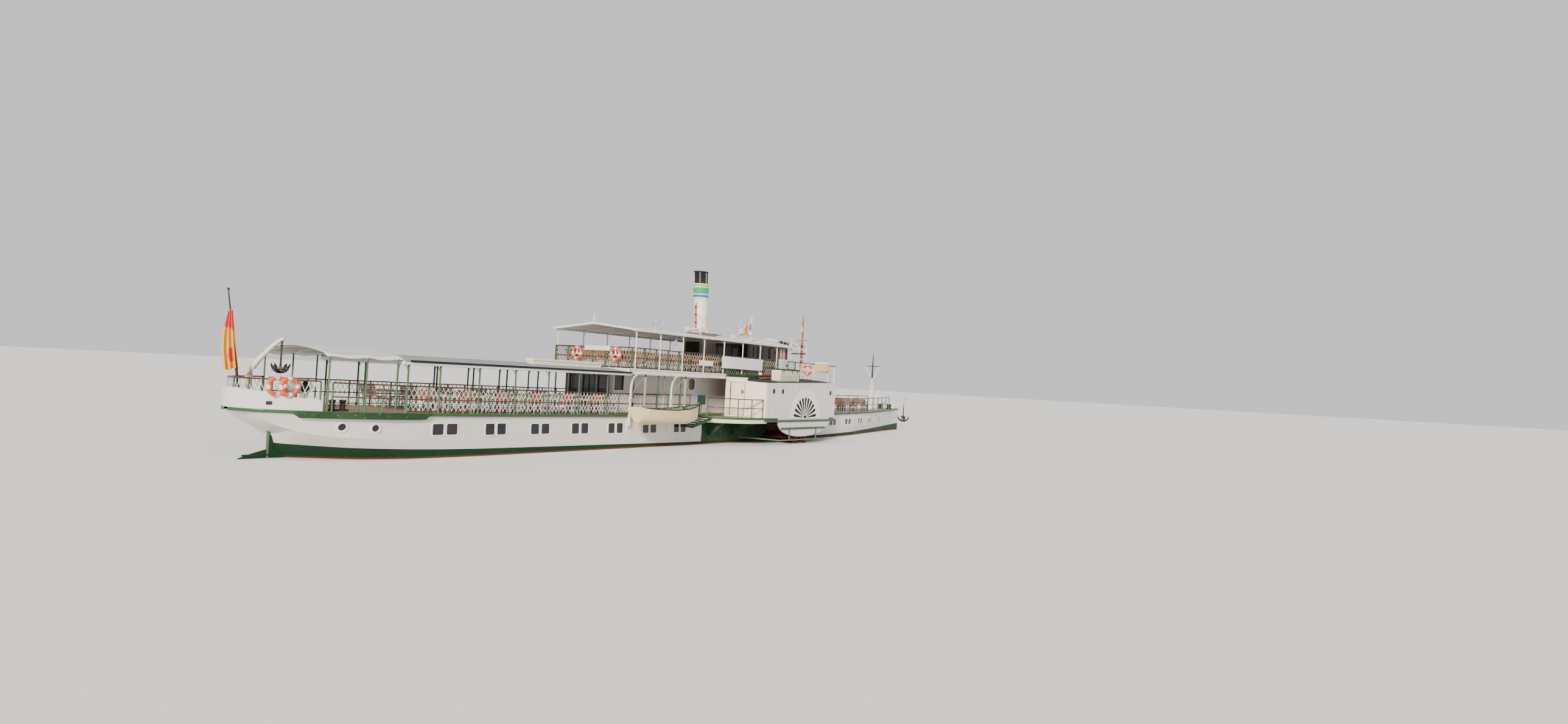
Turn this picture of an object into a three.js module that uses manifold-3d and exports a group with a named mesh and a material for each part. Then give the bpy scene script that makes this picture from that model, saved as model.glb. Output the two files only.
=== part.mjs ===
// Side-wheel river passenger steamer, a 1:2 scale model.
// Sizes are metres of the full-size vessel; modelScale turns them into millimetres of the model.
// X runs from the stern to the bow with 0 at midship, Y to port, Z up from the waterline.
import * as THREE from 'three';
import Module from 'manifold-3d';
import { mergeVertices } from 'three/addons/utils/BufferGeometryUtils.js';

const wasm = await Module();
wasm.setup();

// Driving dimensions
const modelScale = 500;
const gap = 0.0008;
const deckHeight = 1.70;
const sheerRise = 0.106;
const sheerLength = 20;
const flatReach = 11;
const deckThick = 0.12;
const draft = 0.78;
const postSpacing = 1.89;
const firstPost = -21.10;
const postRow = 2.88;
const sundeckTop = 4.06;
const sundeckThick = 0.20;
const houseHalf = 1.75;
const houseAft = -10.1;
const houseFore = 7.25;
const wallThick = 0.06;
const boxOuter = 5.20;
const boxInner = 2.99;
const boxAft = -0.95;
const boxFore = 7.14;
const boxTopOuter = 3.68;
const boxTopInner = 3.84;
const boxRise = 0.026;
const bridgeX = 7.05;
const wheelX = 3.50;
const wheelZ = 1.42;
const shaftRadius = 0.13;
const shaftBore = 0.1335;
const wheelIn = 3.16;
const wheelOut = 5.00;
const floatCount = 9;
const floatReach = 1.93;
const canopyEdge = 6.10;
const canopyRidge = 6.44;
const canopyAft = -10.0;
const canopyFore = 3.62;
const canopyHalf = 2.98;
const railHeight = 1.08;
const sundeckRail = 1.12;
const funnelRadius = 0.42;
const funnelHinge = { x: -1.50, z: 6.74 };
const rudderX = -26.14;
const stockRadius = 0.06;
const stockTop = 1.20;
const craneFoot = { x: -26.75, y: 0.45 };
const boomFoot = 27.35;
const bowMast = { x: 22.9, pin: 3.78 };
const mainMast = { x: 11.2, pin: 3.50 };
const benchInner = 1.50;
const benchOuter = 2.60;
const bench = { deep: 0.42, seat: 0.45, back: 0.95, lean: 0.08, thick: 0.035, leg: 0.05, inset: 0.035 };
const table = { half: 0.25, top: 0.735, thick: 0.05 };
const rays = { count: 11, inner: 0.24, outer: 1.36, hub: 0.16, fill: 0.56, proud: 0.02 };
const fan = { x: 3.43, z: 1.61, radius: 1.93, rise: 0.955 };

// Deck edge: distance along the ship and half breadth
const deckEdge = [
  { x: -27.65, half: 0.12 }, { x: -27.58, half: 0.50 }, { x: -27.38, half: 0.90 },
  { x: -26.95, half: 1.40 }, { x: -26.25, half: 1.92 }, { x: -25.4, half: 2.32 },
  { x: -24.1, half: 2.70 }, { x: -22.5, half: 2.92 }, { x: -18.0, half: 2.97 },
  { x: -8.0, half: 2.97 }, { x: 4.0, half: 2.97 }, { x: 11.0, half: 2.96 },
  { x: 14.0, half: 2.84 }, { x: 17.0, half: 2.54 }, { x: 20.0, half: 2.06 },
  { x: 22.5, half: 1.54 }, { x: 24.5, half: 1.08 }, { x: 26.3, half: 0.62 },
  { x: 27.6, half: 0.26 }, { x: 28.2, half: 0.10 },
];

// Hull frames: breadths and heights at the top, the knuckle, the bilge and the floor
const frames = [
  { x: -27.58, top: 0.40, knee: 0.30, kneeZ: 1.86, bilge: 0.20, bilgeZ: 1.84, floor: 0.10, floorZ: 1.82 },
  { x: -27.0, top: 1.26, knee: 0.95, kneeZ: 1.55, bilge: 0.62, bilgeZ: 1.45, floor: 0.10, floorZ: 1.40 },
  { x: -26.3, top: 1.80, knee: 1.45, kneeZ: 1.22, bilge: 0.80, bilgeZ: 1.08, floor: 0.10, floorZ: 1.02 },
  { x: -26.07, top: 1.91, knee: 1.58, kneeZ: 1.15, bilge: 0.70, bilgeZ: 0.99, floor: 0.08, floorZ: 0.95 },
  { x: -25.9, top: 2.00, knee: 1.68, kneeZ: 1.08, bilge: 0.50, bilgeZ: 0.62, floor: 0.05, floorZ: 0.30 },
  { x: -25.0, top: 2.36, knee: 2.10, kneeZ: 0.92, bilge: 0.95, bilgeZ: 0.20, floor: 0.06, floorZ: -0.25 },
  { x: -23.6, top: 2.68, knee: 2.58, kneeZ: 0.84, bilge: 1.85, bilgeZ: -0.12, floor: 0.30, floorZ: -0.60 },
  { x: -21.5, top: 2.84, knee: 2.84, kneeZ: 0.80, bilge: 2.48, bilgeZ: -0.30, floor: 1.20, floorZ: -0.76 },
  { x: -18.0, top: 2.86, knee: 2.90, kneeZ: 0.77, bilge: 2.78, bilgeZ: -0.36, floor: 2.10, floorZ: -draft },
  { x: -8.0, top: 2.86, knee: 2.90, kneeZ: 0.70, bilge: 2.84, bilgeZ: -0.40, floor: 2.40, floorZ: -draft },
  { x: 8.0, top: 2.86, knee: 2.90, kneeZ: 0.70, bilge: 2.84, bilgeZ: -0.40, floor: 2.40, floorZ: -draft },
  { x: 14.0, top: 2.76, knee: 2.70, kneeZ: 0.75, bilge: 2.40, bilgeZ: -0.38, floor: 1.70, floorZ: -draft },
  { x: 18.0, top: 2.30, knee: 2.12, kneeZ: 0.81, bilge: 1.62, bilgeZ: -0.34, floor: 0.90, floorZ: -0.76 },
  { x: 22.0, top: 1.56, knee: 1.34, kneeZ: 0.88, bilge: 0.88, bilgeZ: -0.30, floor: 0.36, floorZ: -0.74 },
  { x: 25.0, top: 0.86, knee: 0.68, kneeZ: 0.94, bilge: 0.40, bilgeZ: -0.28, floor: 0.12, floorZ: -0.70 },
  { x: 27.2, top: 0.32, knee: 0.24, kneeZ: 0.98, bilge: 0.14, bilgeZ: -0.24, floor: 0.06, floorZ: -0.62 },
  { x: 28.22, top: 0.08, knee: 0.07, kneeZ: 1.00, bilge: 0.05, bilgeZ: -0.20, floor: 0.03, floorZ: -0.50 },
];

// Stations shared by the hull and the deck, so that their faces meet
const stations = [...new Set([...deckEdge, ...frames].map((row) => row.x))].sort((a, b) => a - b);

const ship = new THREE.Group();
ship.name = 'paddle_steamer';

// Row of a table at any x, read between its two neighbours
function rowAt(table, x) {
  const found = table.findIndex((row) => row.x >= x);
  const next = found < 0 ? table.length - 1 : Math.max(found, 1);
  const [a, b] = [table[next - 1], table[next]];
  const share = THREE.MathUtils.clamp((x - a.x) / (b.x - a.x), 0, 1);
  return Object.fromEntries(Object.keys(a).map((key) => [key, a[key] + (b[key] - a[key]) * share]));
}

function deckHalf(x) {
  return rowAt(deckEdge, x).half;
}

// Deck height, flat amidships and straight between stations
const sheerLine = stations.map((x) => {
  const reach = Math.max(Math.abs(x), flatReach);
  return { x, z: deckHeight + sheerRise * (reach / sheerLength) ** 2 };
});
function deckZ(x) {
  return rowAt(sheerLine, x).z;
}

// Height at which a piece between two x values stands on the deck
function standOn(x0, x1) {
  return Math.max(deckZ(x0), deckZ((x0 + x1) / 2), deckZ(x1)) + gap;
}

function toSolid(geometry) {
  geometry.deleteAttribute('normal');
  geometry.deleteAttribute('uv');
  const welded = mergeVertices(geometry, 1e-5);
  return new wasm.Manifold(new wasm.Mesh({
    numProp: 3,
    vertProperties: new Float32Array(welded.attributes.position.array),
    triVerts: new Uint32Array(welded.index.array),
  }));
}

function block(x0, x1, y0, y1, z0, z1) {
  const shape = new THREE.BoxGeometry(x1 - x0, y1 - y0, z1 - z0);
  shape.translate((x0 + x1) / 2, (y0 + y1) / 2, (z0 + z1) / 2);
  return toSolid(shape);
}

// Block whose y values are measured outboard from the centreline on one side
function sideBlock(x0, x1, side, y0, y1, z0, z1) {
  return side > 0 ? block(x0, x1, y0, y1, z0, z1) : block(x0, x1, -y1, -y0, z0, z1);
}

// An outline pushed straight: plane 'xy' rises along Z, 'xz' runs along Y, 'yz' runs along X
function prism(points, plane, from, to) {
  const outline = new THREE.Shape(points.map(([u, v]) => new THREE.Vector2(u, v)));
  const body = new THREE.ExtrudeGeometry(outline, { depth: to - from, bevelEnabled: false });
  const turn = new THREE.Matrix4();
  if (plane === 'xy') turn.makeTranslation(0, 0, from);
  if (plane === 'xz') turn.set(1, 0, 0, 0, 0, 0, -1, to, 0, 1, 0, 0, 0, 0, 0, 1);
  if (plane === 'yz') turn.set(0, 0, 1, from, 1, 0, 0, 0, 0, 1, 0, 0, 0, 0, 0, 1);
  body.applyMatrix4(turn);
  return toSolid(body);
}

// Closed skin through a row of equal outlines, each a flat ring of points.
// An even outline is closed across from its first half to its second.
function loft(rings) {
  const count = rings[0].length;
  const points = rings.flat();
  const faces = [];
  for (let r = 0; r + 1 < rings.length; r += 1) {
    for (let i = 0; i < count; i += 1) {
      const j = (i + 1) % count;
      const a = r * count;
      const b = a + count;
      faces.push(a + i, a + j, b + j, a + i, b + j, b + i);
    }
  }
  const last = (rings.length - 1) * count;
  if (count % 2) {
    for (let i = 1; i + 1 < count; i += 1) {
      faces.push(0, i + 1, i, last, last + i, last + i + 1);
    }
  } else {
    for (let i = 0, j = count - 1; i + 1 < j; i += 1, j -= 1) {
      faces.push(i, j, j - 1, last + i, last + j - 1, last + j);
      faces.push(i, j - 1, i + 1, last + i, last + i + 1, last + j - 1);
    }
  }
  let volume = 0;
  for (let f = 0; f < faces.length; f += 3) {
    const [a, b, c] = [faces[f], faces[f + 1], faces[f + 2]].map((k) => new THREE.Vector3(...points[k]));
    volume += a.dot(b.cross(c));
  }
  if (volume < 0) {
    for (let f = 0; f < faces.length; f += 3) [faces[f], faces[f + 1]] = [faces[f + 1], faces[f]];
  }
  const body = new THREE.BufferGeometry();
  body.setAttribute('position', new THREE.Float32BufferAttribute(points.flat(), 3));
  body.setIndex(faces);
  return toSolid(body);
}

// Round bar along a row of points; radius may be one number or one per point
function bar(points, radius, sides = 6) {
  const spots = points.map((p) => new THREE.Vector3(...p));
  const rings = spots.map((spot, i) => {
    const before = spots[Math.max(i - 1, 0)];
    const after = spots[Math.min(i + 1, spots.length - 1)];
    const along = after.clone().sub(before).normalize();
    const up = Math.abs(along.z) > 0.9 ? new THREE.Vector3(1, 0, 0) : new THREE.Vector3(0, 0, 1);
    const side = new THREE.Vector3().crossVectors(along, up).normalize();
    const top = new THREE.Vector3().crossVectors(side, along);
    const r = Array.isArray(radius) ? radius[i] : radius;
    return Array.from({ length: sides }, (_, k) => {
      const turn = 2 * Math.PI * (k + 0.5) / sides;
      const at = spot.clone().addScaledVector(side, r * Math.cos(turn)).addScaledVector(top,
        r * Math.sin(turn));
      return at.toArray();
    });
  });
  return loft(rings);
}

// Turned body about an upright axis from rows of radius and height
function turned(profile, x, y, sides = 16) {
  const rings = profile.map(([r, z]) => Array.from({ length: sides }, (_, k) => {
    const turn = 2 * Math.PI * k / sides;
    return [x + r * Math.cos(turn), y + r * Math.sin(turn), z];
  }));
  return loft(rings);
}

// Disc or roller lying along Y
function disc(x, z, radius, y0, y1, sides = 16) {
  const rings = [y0, y1].map((y) => Array.from({ length: sides }, (_, k) => {
    const turn = 2 * Math.PI * k / sides;
    return [x + radius * Math.cos(turn), y, z + radius * Math.sin(turn)];
  }));
  return loft(rings);
}

// Straight-sided strip whose height follows the line base(x)
function strip(xs, y0, y1, low, high, base) {
  return loft(xs.map((x) => [[x, y0, base(x) + low], [x, y1, base(x) + low], [x, y1, base(x) + high],
    [x, y0, base(x) + high]]));
}

function join(list) {
  return list.reduce((whole, one) => whole.add(one));
}

// Cross bench on end panels between two y values, x at the foot of its back, facing forward (1) or aft (-1)
function crossBench(x, y0, y1, floor, faces) {
  const at = (out, up) => [x + faces * out, floor + up];
  const profile = [at(0, bench.seat - bench.thick), at(-bench.lean, bench.back),
    at(bench.thick - bench.lean, bench.back),
    at(bench.thick, bench.seat), at(bench.deep, bench.seat), at(bench.deep, bench.seat - bench.thick)];
  const parts = [prism(profile, 'xz', y0, y1)];
  const ends = [x + faces * bench.inset, x + faces * (bench.deep - bench.inset)].sort((a, b) => a - b);
  for (const y of [y0 + bench.inset, y1 - bench.inset - bench.leg]) {
    parts.push(block(...ends, y, y + bench.leg, floor, floor + bench.seat - bench.thick / 2));
  }
  return parts;
}

// Table between two benches, on one leg at each end
function deckTable(x, y0, y1, floor) {
  const parts = [block(x - table.half, x + table.half, y0, y1, floor + table.top - table.thick,
    floor + table.top)];
  for (const y of [y0 + bench.inset, y1 - bench.inset - bench.leg]) {
    parts.push(block(x - 0.05, x + 0.05, y, y + bench.leg, floor, floor + table.top - table.thick / 2));
  }
  return parts;
}

// Floor strips that the legs of a row of benches stand on
function footStrips(xs, y0, y1, base) {
  const rows = [y0 + bench.inset, y1 - bench.inset - bench.leg];
  return rows.map((y) => strip(xs, y, y + bench.leg, gap, 0.02, base));
}

function mirror(points) {
  return points.map(([x, y]) => [x, -y]).reverse();
}

function place(name, solid, color, roughness = 0.6, metalness = 0) {
  const mesh = solid.getMesh();
  const body = new THREE.BufferGeometry();
  body.setAttribute('position', new THREE.BufferAttribute(new Float32Array(mesh.vertProperties), 3));
  body.setIndex(new THREE.BufferAttribute(new Uint32Array(mesh.triVerts), 1));
  body.scale(modelScale, modelScale, modelScale);
  body.computeVertexNormals();
  const piece = new THREE.Mesh(body, new THREE.MeshStandardMaterial({ color, roughness, metalness }));
  piece.name = name;
  ship.add(piece);
}

const white = '#dcdad6';
const cream = '#efe6cf';
const green = '#2f6b42';
const paleGreen = '#7fb58c';
const brown = '#5a3a30';
const black = '#1c1c1e';
const steel = '#8d9194';
const wood = '#8a6546';
const red = '#b3262c';

// Hull
function hullRing(f) {
  const top = deckZ(f.x) - deckThick - gap;
  const half = [[f.top, top], [f.knee, f.kneeZ], [f.bilge, f.bilgeZ], [f.floor, f.floorZ]];
  const port = half.map(([y, z]) => [f.x, y, z]);
  const starboard = half.map(([y, z]) => [f.x, -y, z]).reverse();
  return [...port, ...starboard];
}

const sternPost = block(-26.06, -22.0, -0.07, 0.07, -0.74, 1.02);
const keel = block(-24.0, 26.5, -0.06, 0.06, -0.80, -0.5);
const engineWell = block(-2.6, 6.2, -1.45, 1.45, -0.35, 2);
const shaftSlot = block(wheelX - shaftBore, wheelX + shaftBore, -4, 4, wheelZ, 2)
  .add(disc(wheelX, wheelZ, shaftBore, -4, 4));
const stockBore = turned([[stockRadius + 0.0025, 0.5], [stockRadius + 0.0025, stockTop + gap]], rudderX, 0);
const hullStations = stations.filter((x) => x >= frames[0].x && x <= frames[frames.length - 1].x);
const hullBody = loft(hullStations.map((x) => hullRing(rowAt(frames, x))));
const hullCuts = join([engineWell, shaftSlot, stockBore]);
place('hull', join([hullBody, sternPost, keel]).subtract(hullCuts), white, 0.45);

// Deck in three lengths with its overhanging edge, the middle one with the sponsons round the wheels
function deckRing(x) {
  const half = deckHalf(x);
  const top = deckZ(x);
  return [[x, half, top], [x, half, top - deckThick], [x, -half, top - deckThick], [x, -half, top]];
}

const sponsonAft = [[-4.15, 2.9], [-3.95, 3.55], [-3.45, 4.25], [-2.65, 4.82], [-1.75, 5.12],
  [boxAft, boxOuter - 0.01]];
const sponsonFore = [[boxFore, boxOuter - 0.01], [8.3, 4.45], [9.4, 3.7], [10.5, 2.9]];
const sponsonTop = 1.625;
const braceReach = [{ x: -3.3, reach: 4.1 }, { x: -1.2, reach: 4.85 }, { x: 6.3, reach: 4.85 },
  { x: 8.2, reach: 4.1 }];

function sponson(side) {
  const rim = [...sponsonAft, ...sponsonFore];
  const plate = prism(side > 0 ? rim.slice().reverse() : mirror(rim).reverse(), 'xy', 1.48, sponsonTop);
  const skirt = sponsonAft.concat([[boxAft + 0.3, boxOuter - 0.01], [boxAft + 0.3, boxOuter - 0.10],
    [boxAft, boxOuter - 0.10], [-1.75, 5.02], [-2.58, 4.74], [-3.35, 4.2], [-3.85, 3.52], [-4.05, 2.9]]);
  const apron = prism(side > 0 ? skirt.slice().reverse() : mirror(skirt).reverse(), 'xy', 1.28, 1.5);
  const braces = braceReach.map(({ x, reach }) => {
    const foot = 2.92;
    const knee = [[foot, 1.5], [foot, 0.5], [foot + 0.12, 0.5], [reach, 1.38], [reach, 1.5]];
    const outline = side > 0 ? knee.slice().reverse() : knee.map(([y, z]) => [-y, z]);
    return prism(outline, 'yz', x, x + 0.08);
  });
  const well = block(1.42, 5.58, side > 0 ? 3.06 : -5.11, side > 0 ? 5.11 : -3.06, 0, 2);
  const shaftGap = block(wheelX - 0.22, wheelX + 0.22, side > 0 ? 2.8 : -3.2, side > 0 ? 3.2 : -2.8, 0, 1.60);
  return join([plate, apron, ...braces]).subtract(well.add(shaftGap));
}

const bandStations = [-26.25, -25.4, -24.1, -22.5, -21.45];
// Rubbing band along the quarter
function sideBand(side) {
  return loft(bandStations.map((x) => {
    const inner = side * (deckHalf(x) - 0.04);
    const outer = side * (deckHalf(x) + 0.05);
    const top = deckZ(x) - 0.02;
    return [[x, inner, top], [x, outer, top], [x, outer, top - 0.24], [x, inner, top - 0.24]];
  }));
}

// Double bollard standing on the deck
function bollard(x, y) {
  const z = deckZ(x);
  const base = block(x - 0.33, x + 0.33, y - 0.12, y + 0.12, z - 0.04, z + 0.06);
  const heads = [-0.2, 0.2].map((d) => turned([[0.09, z + 0.02], [0.09, z + 0.36], [0.12, z + 0.36],
    [0.12, z + 0.41]],
    x + d, y, 10));
  return join([base, ...heads]);
}

function deckLength(from, to) {
  return loft(stations.filter((x) => x >= from && x <= to).map(deckRing));
}
const hatch = block(-2.4, 6.0, -1.3, 1.3, 1, 2);
const aftBollards = [bollard(-24.75, -2.0), bollard(-24.75, 2.0)];
const foreBollards = [bollard(25.6, -0.42), bollard(25.6, 0.42)];
const deckJoints = [-8.0, 11.0];
const deckTip = deckEdge[deckEdge.length - 1].x;
const drum = { x: -25.15, z: 2.68, radius: 0.27, half: 0.50 };
const drumStand = [-0.42, 0.34].map((y) => prism([[drum.x - 0.24, deckZ(drum.x) - 0.03],
  [drum.x + 0.24, deckZ(drum.x) - 0.03],
  [drum.x + 0.07, drum.z], [drum.x - 0.07, drum.z]], 'xz', y, y + 0.08));
const hawserDrum = disc(drum.x, drum.z, drum.radius, -drum.half, drum.half).subtract(
  disc(drum.x, drum.z, drum.radius - 0.04, -drum.half - 1, 0.06 - drum.half));
const aftDeck = join([deckLength(deckEdge[0].x, deckJoints[0]), sideBand(-1), sideBand(1), ...aftBollards,
  hawserDrum, ...drumStand]);
place('aft_deck', aftDeck.subtract(block(deckJoints[0] - gap, 0, -4, 4, 0, 3)), green, 0.7);
place('main_deck', join([deckLength(...deckJoints), sponson(-1), sponson(1)]).subtract(hatch), green, 0.7);
const foreBenches = [12.92, 14.81, 16.70, 18.59].flatMap((x) => [-1, 1].flatMap((side) => {
  const [y0, y1] = side > 0 ? [0.55, 1.65] : [-1.65, -0.55];
  return [-1, 1].flatMap((faces) => {
    const foot = x + faces * 0.10;
    return crossBench(foot, y0, y1, deckZ(foot) - 0.02, faces);
  });
}));
const swanNeck = bar([[23.0, -0.5, deckZ(23) - 0.02], [23.0, -0.5, 3.35], [23.05, -0.5, 3.50],
  [23.18, -0.5, 3.56],
  [23.30, -0.5, 3.48], [23.32, -0.5, 3.38]], [0.05, 0.05, 0.05, 0.05, 0.055, 0.08], 8);
const foreDeck = join([deckLength(deckJoints[1], deckTip), ...foreBollards, ...foreBenches, swanNeck]);
place('fore_deck', foreDeck.subtract(block(0, deckJoints[1] + gap, -4, 4, 0, 3)), green, 0.7);

// Bulwark round the stern
const bulwarkFore = -25.4;
const bulwarkRise = [{ x: -27.65, up: 0.72 }, { x: -26.90, up: 0.60 }, { x: -26.80, up: 0.50 },
  { x: bulwarkFore, up: 0.42 }];
function bulwarkTop(x) {
  return deckZ(x) + rowAt(bulwarkRise, x).up;
}
function bulwarkRing(x, side) {
  const outer = deckHalf(x) - 0.02;
  const inner = Math.max(outer - 0.08, 0.02);
  const low = deckZ(x) + gap;
  const aft = x < -27.3 ? 0.05 : 0;
  return [[x, side * outer, low], [x, side * outer, bulwarkTop(x)],
    [x + aft, side * inner, bulwarkTop(x)], [x + aft, side * inner, low]];
}
const bulwarkStations = [...new Set([...stations, ...bulwarkRise.map((row) => row.x)])]
  .filter((x) => x <= bulwarkFore).sort((a, b) => a - b);
const bulwark = join([
  loft(bulwarkStations.map((x) => bulwarkRing(x, -1))),
  loft(bulwarkStations.map((x) => bulwarkRing(x, 1))),
  block(-27.645, -27.56, -0.14, 0.14, deckZ(-27.65) + gap, deckZ(-27.6) + 0.72),
]);
place('stern_bulwark', bulwark, white, 0.5);

// Engine and boiler as plain masses in the well
const wellFloor = -0.35 + gap;
const engineBed = block(1.7, 5.3, -1.1, 1.1, wellFloor, 1.95);
const crankGap = block(wheelX - 0.3, wheelX + 0.3, -2, 2, wheelZ - 0.24, 3);
place('engine_block', engineBed.subtract(crankGap), '#8a7440', 0.4, 0.6);
place('boiler_block', block(-2.3, 1.5, -1.15, 1.15, wellFloor, 2.1), '#6f7376', 0.5, 0.5);

// Deckhouse: hollow walls with windows and doorways
const houseLow = standOn(houseAft, houseFore);
const houseTop = sundeckTop - sundeckThick - gap;
const sideOpenings = [
  { x0: -9.96, x1: -9.35, z0: 2.95, z1: 3.70 },
  { x0: -6.05, x1: -5.30, z0: 1.80, z1: 3.66 },
  { x0: -4.00, x1: -3.35, z0: 2.98, z1: 3.72 },
  { x0: 5.60, x1: 6.40, z0: 2.55, z1: 3.55 },
];
const aftOpenings = [
  { y0: -1.45, y1: -0.65, z0: 2.60, z1: 3.66 },
  { y0: -0.45, y1: 0.45, z0: 1.80, z1: 3.66 },
  { y0: 0.65, y1: 1.45, z0: 2.60, z1: 3.66 },
];
let house = block(houseAft, houseFore, -houseHalf, houseHalf, houseLow, houseTop).subtract(
  block(houseAft + wallThick, houseFore - wallThick, -houseHalf + wallThick, houseHalf - wallThick, 1, 5));
const sideCuts = sideOpenings.map((o) => block(o.x0, o.x1, -2.5, 2.5, o.z0, o.z1));
const aftCuts = aftOpenings.map((o) => block(houseAft - 1, houseAft + 1, o.y0, o.y1, o.z0, o.z1));
const foreCut = block(houseFore - 1, houseFore + 1, -0.42, 0.42, 1.80, 3.66);
house = house.subtract(join([...sideCuts, ...aftCuts, foreCut]));
place('deckhouse', house, white, 0.5);

// Pivot pin of a door, from its sill to its head
const pinRadius = 0.015;
const doorThick = 0.04;
function pivot(x, y, sill, head) {
  return turned([[pinRadius, sill + gap], [pinRadius, head - gap]], x, y, 8);
}

// Two side doors hung on the forward edge of their openings
const doorX = { aft: -6.03, fore: -5.32 };
for (const [label, side] of [['starboard', -1], ['port', 1]]) {
  const y = houseHalf - 0.05;
  const leaf = sideBlock(doorX.aft, doorX.fore, side, y, y + doorThick, 1.82, 3.64);
  const handle = sideBlock(doorX.aft + 0.05, doorX.aft + 0.08, side, y, y + 0.09, 2.7, 2.9);
  const pin = pivot(doorX.fore, side * (y + doorThick), 1.80, 3.66);
  place(`side_door_${label}`, join([leaf, handle, pin]), white, 0.5);
}

// Sundeck slab
const sundeckFore = 7.3;
place('sundeck', block(houseAft - 0.02, sundeckFore, -2.95, 2.95, sundeckTop - sundeckThick, sundeckTop),
  white, 0.6);

// Posts and beams carrying the fixed awning and the aft part of the sundeck
const awningAft = -22.75;
const awningFore = houseAft - 0.02 - gap;
const awningUnder = 3.80;
const postRadius = 0.035;
const mainPosts = Array.from({ length: 10 }, (_, i) => firstPost + i * postSpacing);
const awningPosts = [-22.52, ...mainPosts].filter((x) => x < awningFore - 0.1);
const awningParts = [];
for (const y of [-postRow, 0, postRow]) {
  awningParts.push(block(awningAft + 0.1, awningFore - 0.03, y - 0.04, y + 0.04, awningUnder - 0.09,
    awningUnder));
  for (const x of awningPosts) {
    awningParts.push(block(x - postRadius, x + postRadius, y - postRadius, y + postRadius, deckZ(x) + gap,
      awningUnder));
  }
}
for (const x of mainPosts.filter((p) => p < awningFore - 0.1)) {
  awningParts.push(block(x - 0.03, x + 0.03, -postRow, postRow, awningUnder - 0.07, awningUnder));
}
awningParts.push(block(awningAft + 0.1, awningAft + 0.17, -postRow, postRow, awningUnder - 0.08,
  awningUnder));
place('awning_frame', join(awningParts), green, 0.5);

// Fixed awning roof, cambered
const roofCrown = 0.22;
const roofRing = (x) => {
  const low = awningUnder + gap;
  const outer = [[2.98, low], [2.98, low + 0.07], [1.5, low + 0.07 + roofCrown * 0.75],
    [0, low + 0.07 + roofCrown],
    [-1.5, low + 0.07 + roofCrown * 0.75], [-2.98, low + 0.07], [-2.98, low]];
  return outer.map(([y, z]) => [x, y, z]);
};
const roofEdge = loft([awningAft, awningFore].map(roofRing));
const planks = block(-15.3, -10.9, -1.62, -1.08, 3.95, 4.30);
place('awning_roof', roofEdge.add(planks), '#8f9296', 0.7);

// Sundeck posts on the main deck, joined by a side beam
for (const [label, side] of [['starboard', -1], ['port', 1]]) {
  const y = side * postRow;
  const posts = mainPosts.filter((p) => p > houseAft).map((x) => block(x - postRadius, x + postRadius,
    y - postRadius, y + postRadius, deckZ(x) + gap, houseTop));
  const beam = block(houseAft + 0.1, -3.9, y - 0.04, y + 0.04, houseTop - 0.08, houseTop);
  const postBox = side < 0 ? [block(-4.33, -3.84, y - 0.11, y + 0.11, 2.27, 2.79)] : [];
  place(`sundeck_posts_${label}`, join([...posts, beam, ...postBox]), green, 0.5);
}

// Canvas awning frame over the aft deck, and the canvas
const hoops = [{ x: -25.2, half: 2.30 }, { x: -24.0, half: 2.62 }, { x: -22.95, half: 2.84 }];
const hoopParts = [];
for (const hoop of hoops) {
  const top = 3.93;
  const arch = [-1, -0.5, 0, 0.5, 1].map((k) => [hoop.x, k * hoop.half, top + 0.28 * (1 - k * k)]);
  hoopParts.push(bar(arch, 0.025, 6));
  for (const side of [-1, 1]) {
    hoopParts.push(bar([[hoop.x, side * hoop.half, deckZ(hoop.x) + gap],
      [hoop.x, side * hoop.half, top + 0.02]], 0.028, 6));
  }
}
hoopParts.push(bar([[-25.3, 0, 4.21], [-22.9, 0, 4.21]], 0.025, 6));
place('canvas_frame', join(hoopParts), white, 0.4, 0.4);
const canvasRing = (x, half) => {
  const rows = [1, 0.5, 0, -0.5, -1].map((k) => [k * (half + 0.06), 3.955 + gap + 0.28 * (1 - k * k)]);
  const over = rows.map(([y, z]) => [x, y, z + 0.02]);
  const under = rows.map(([y, z]) => [x, y, z]).reverse();
  return [...over, ...under];
};
const canvas = loft([canvasRing(-25.45, 2.30), canvasRing(-24.0, 2.62), canvasRing(-22.80, 2.86)]);
place('canvas_awning', canvas, cream, 0.9);

// Paddle boxes: outer wall with a curved skirt, end walls, wheel case and top
const skirtCurve = [[0.45, 1.0], [1.1, 0.72], [2.0, 0.52], [2.9, 0.46], [3.9, 0.48], [5.0, 0.62],
  [5.9, 0.86], [6.45, 1.12]];
const portholes = [-0.24, 0.74, 6.53];
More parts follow.
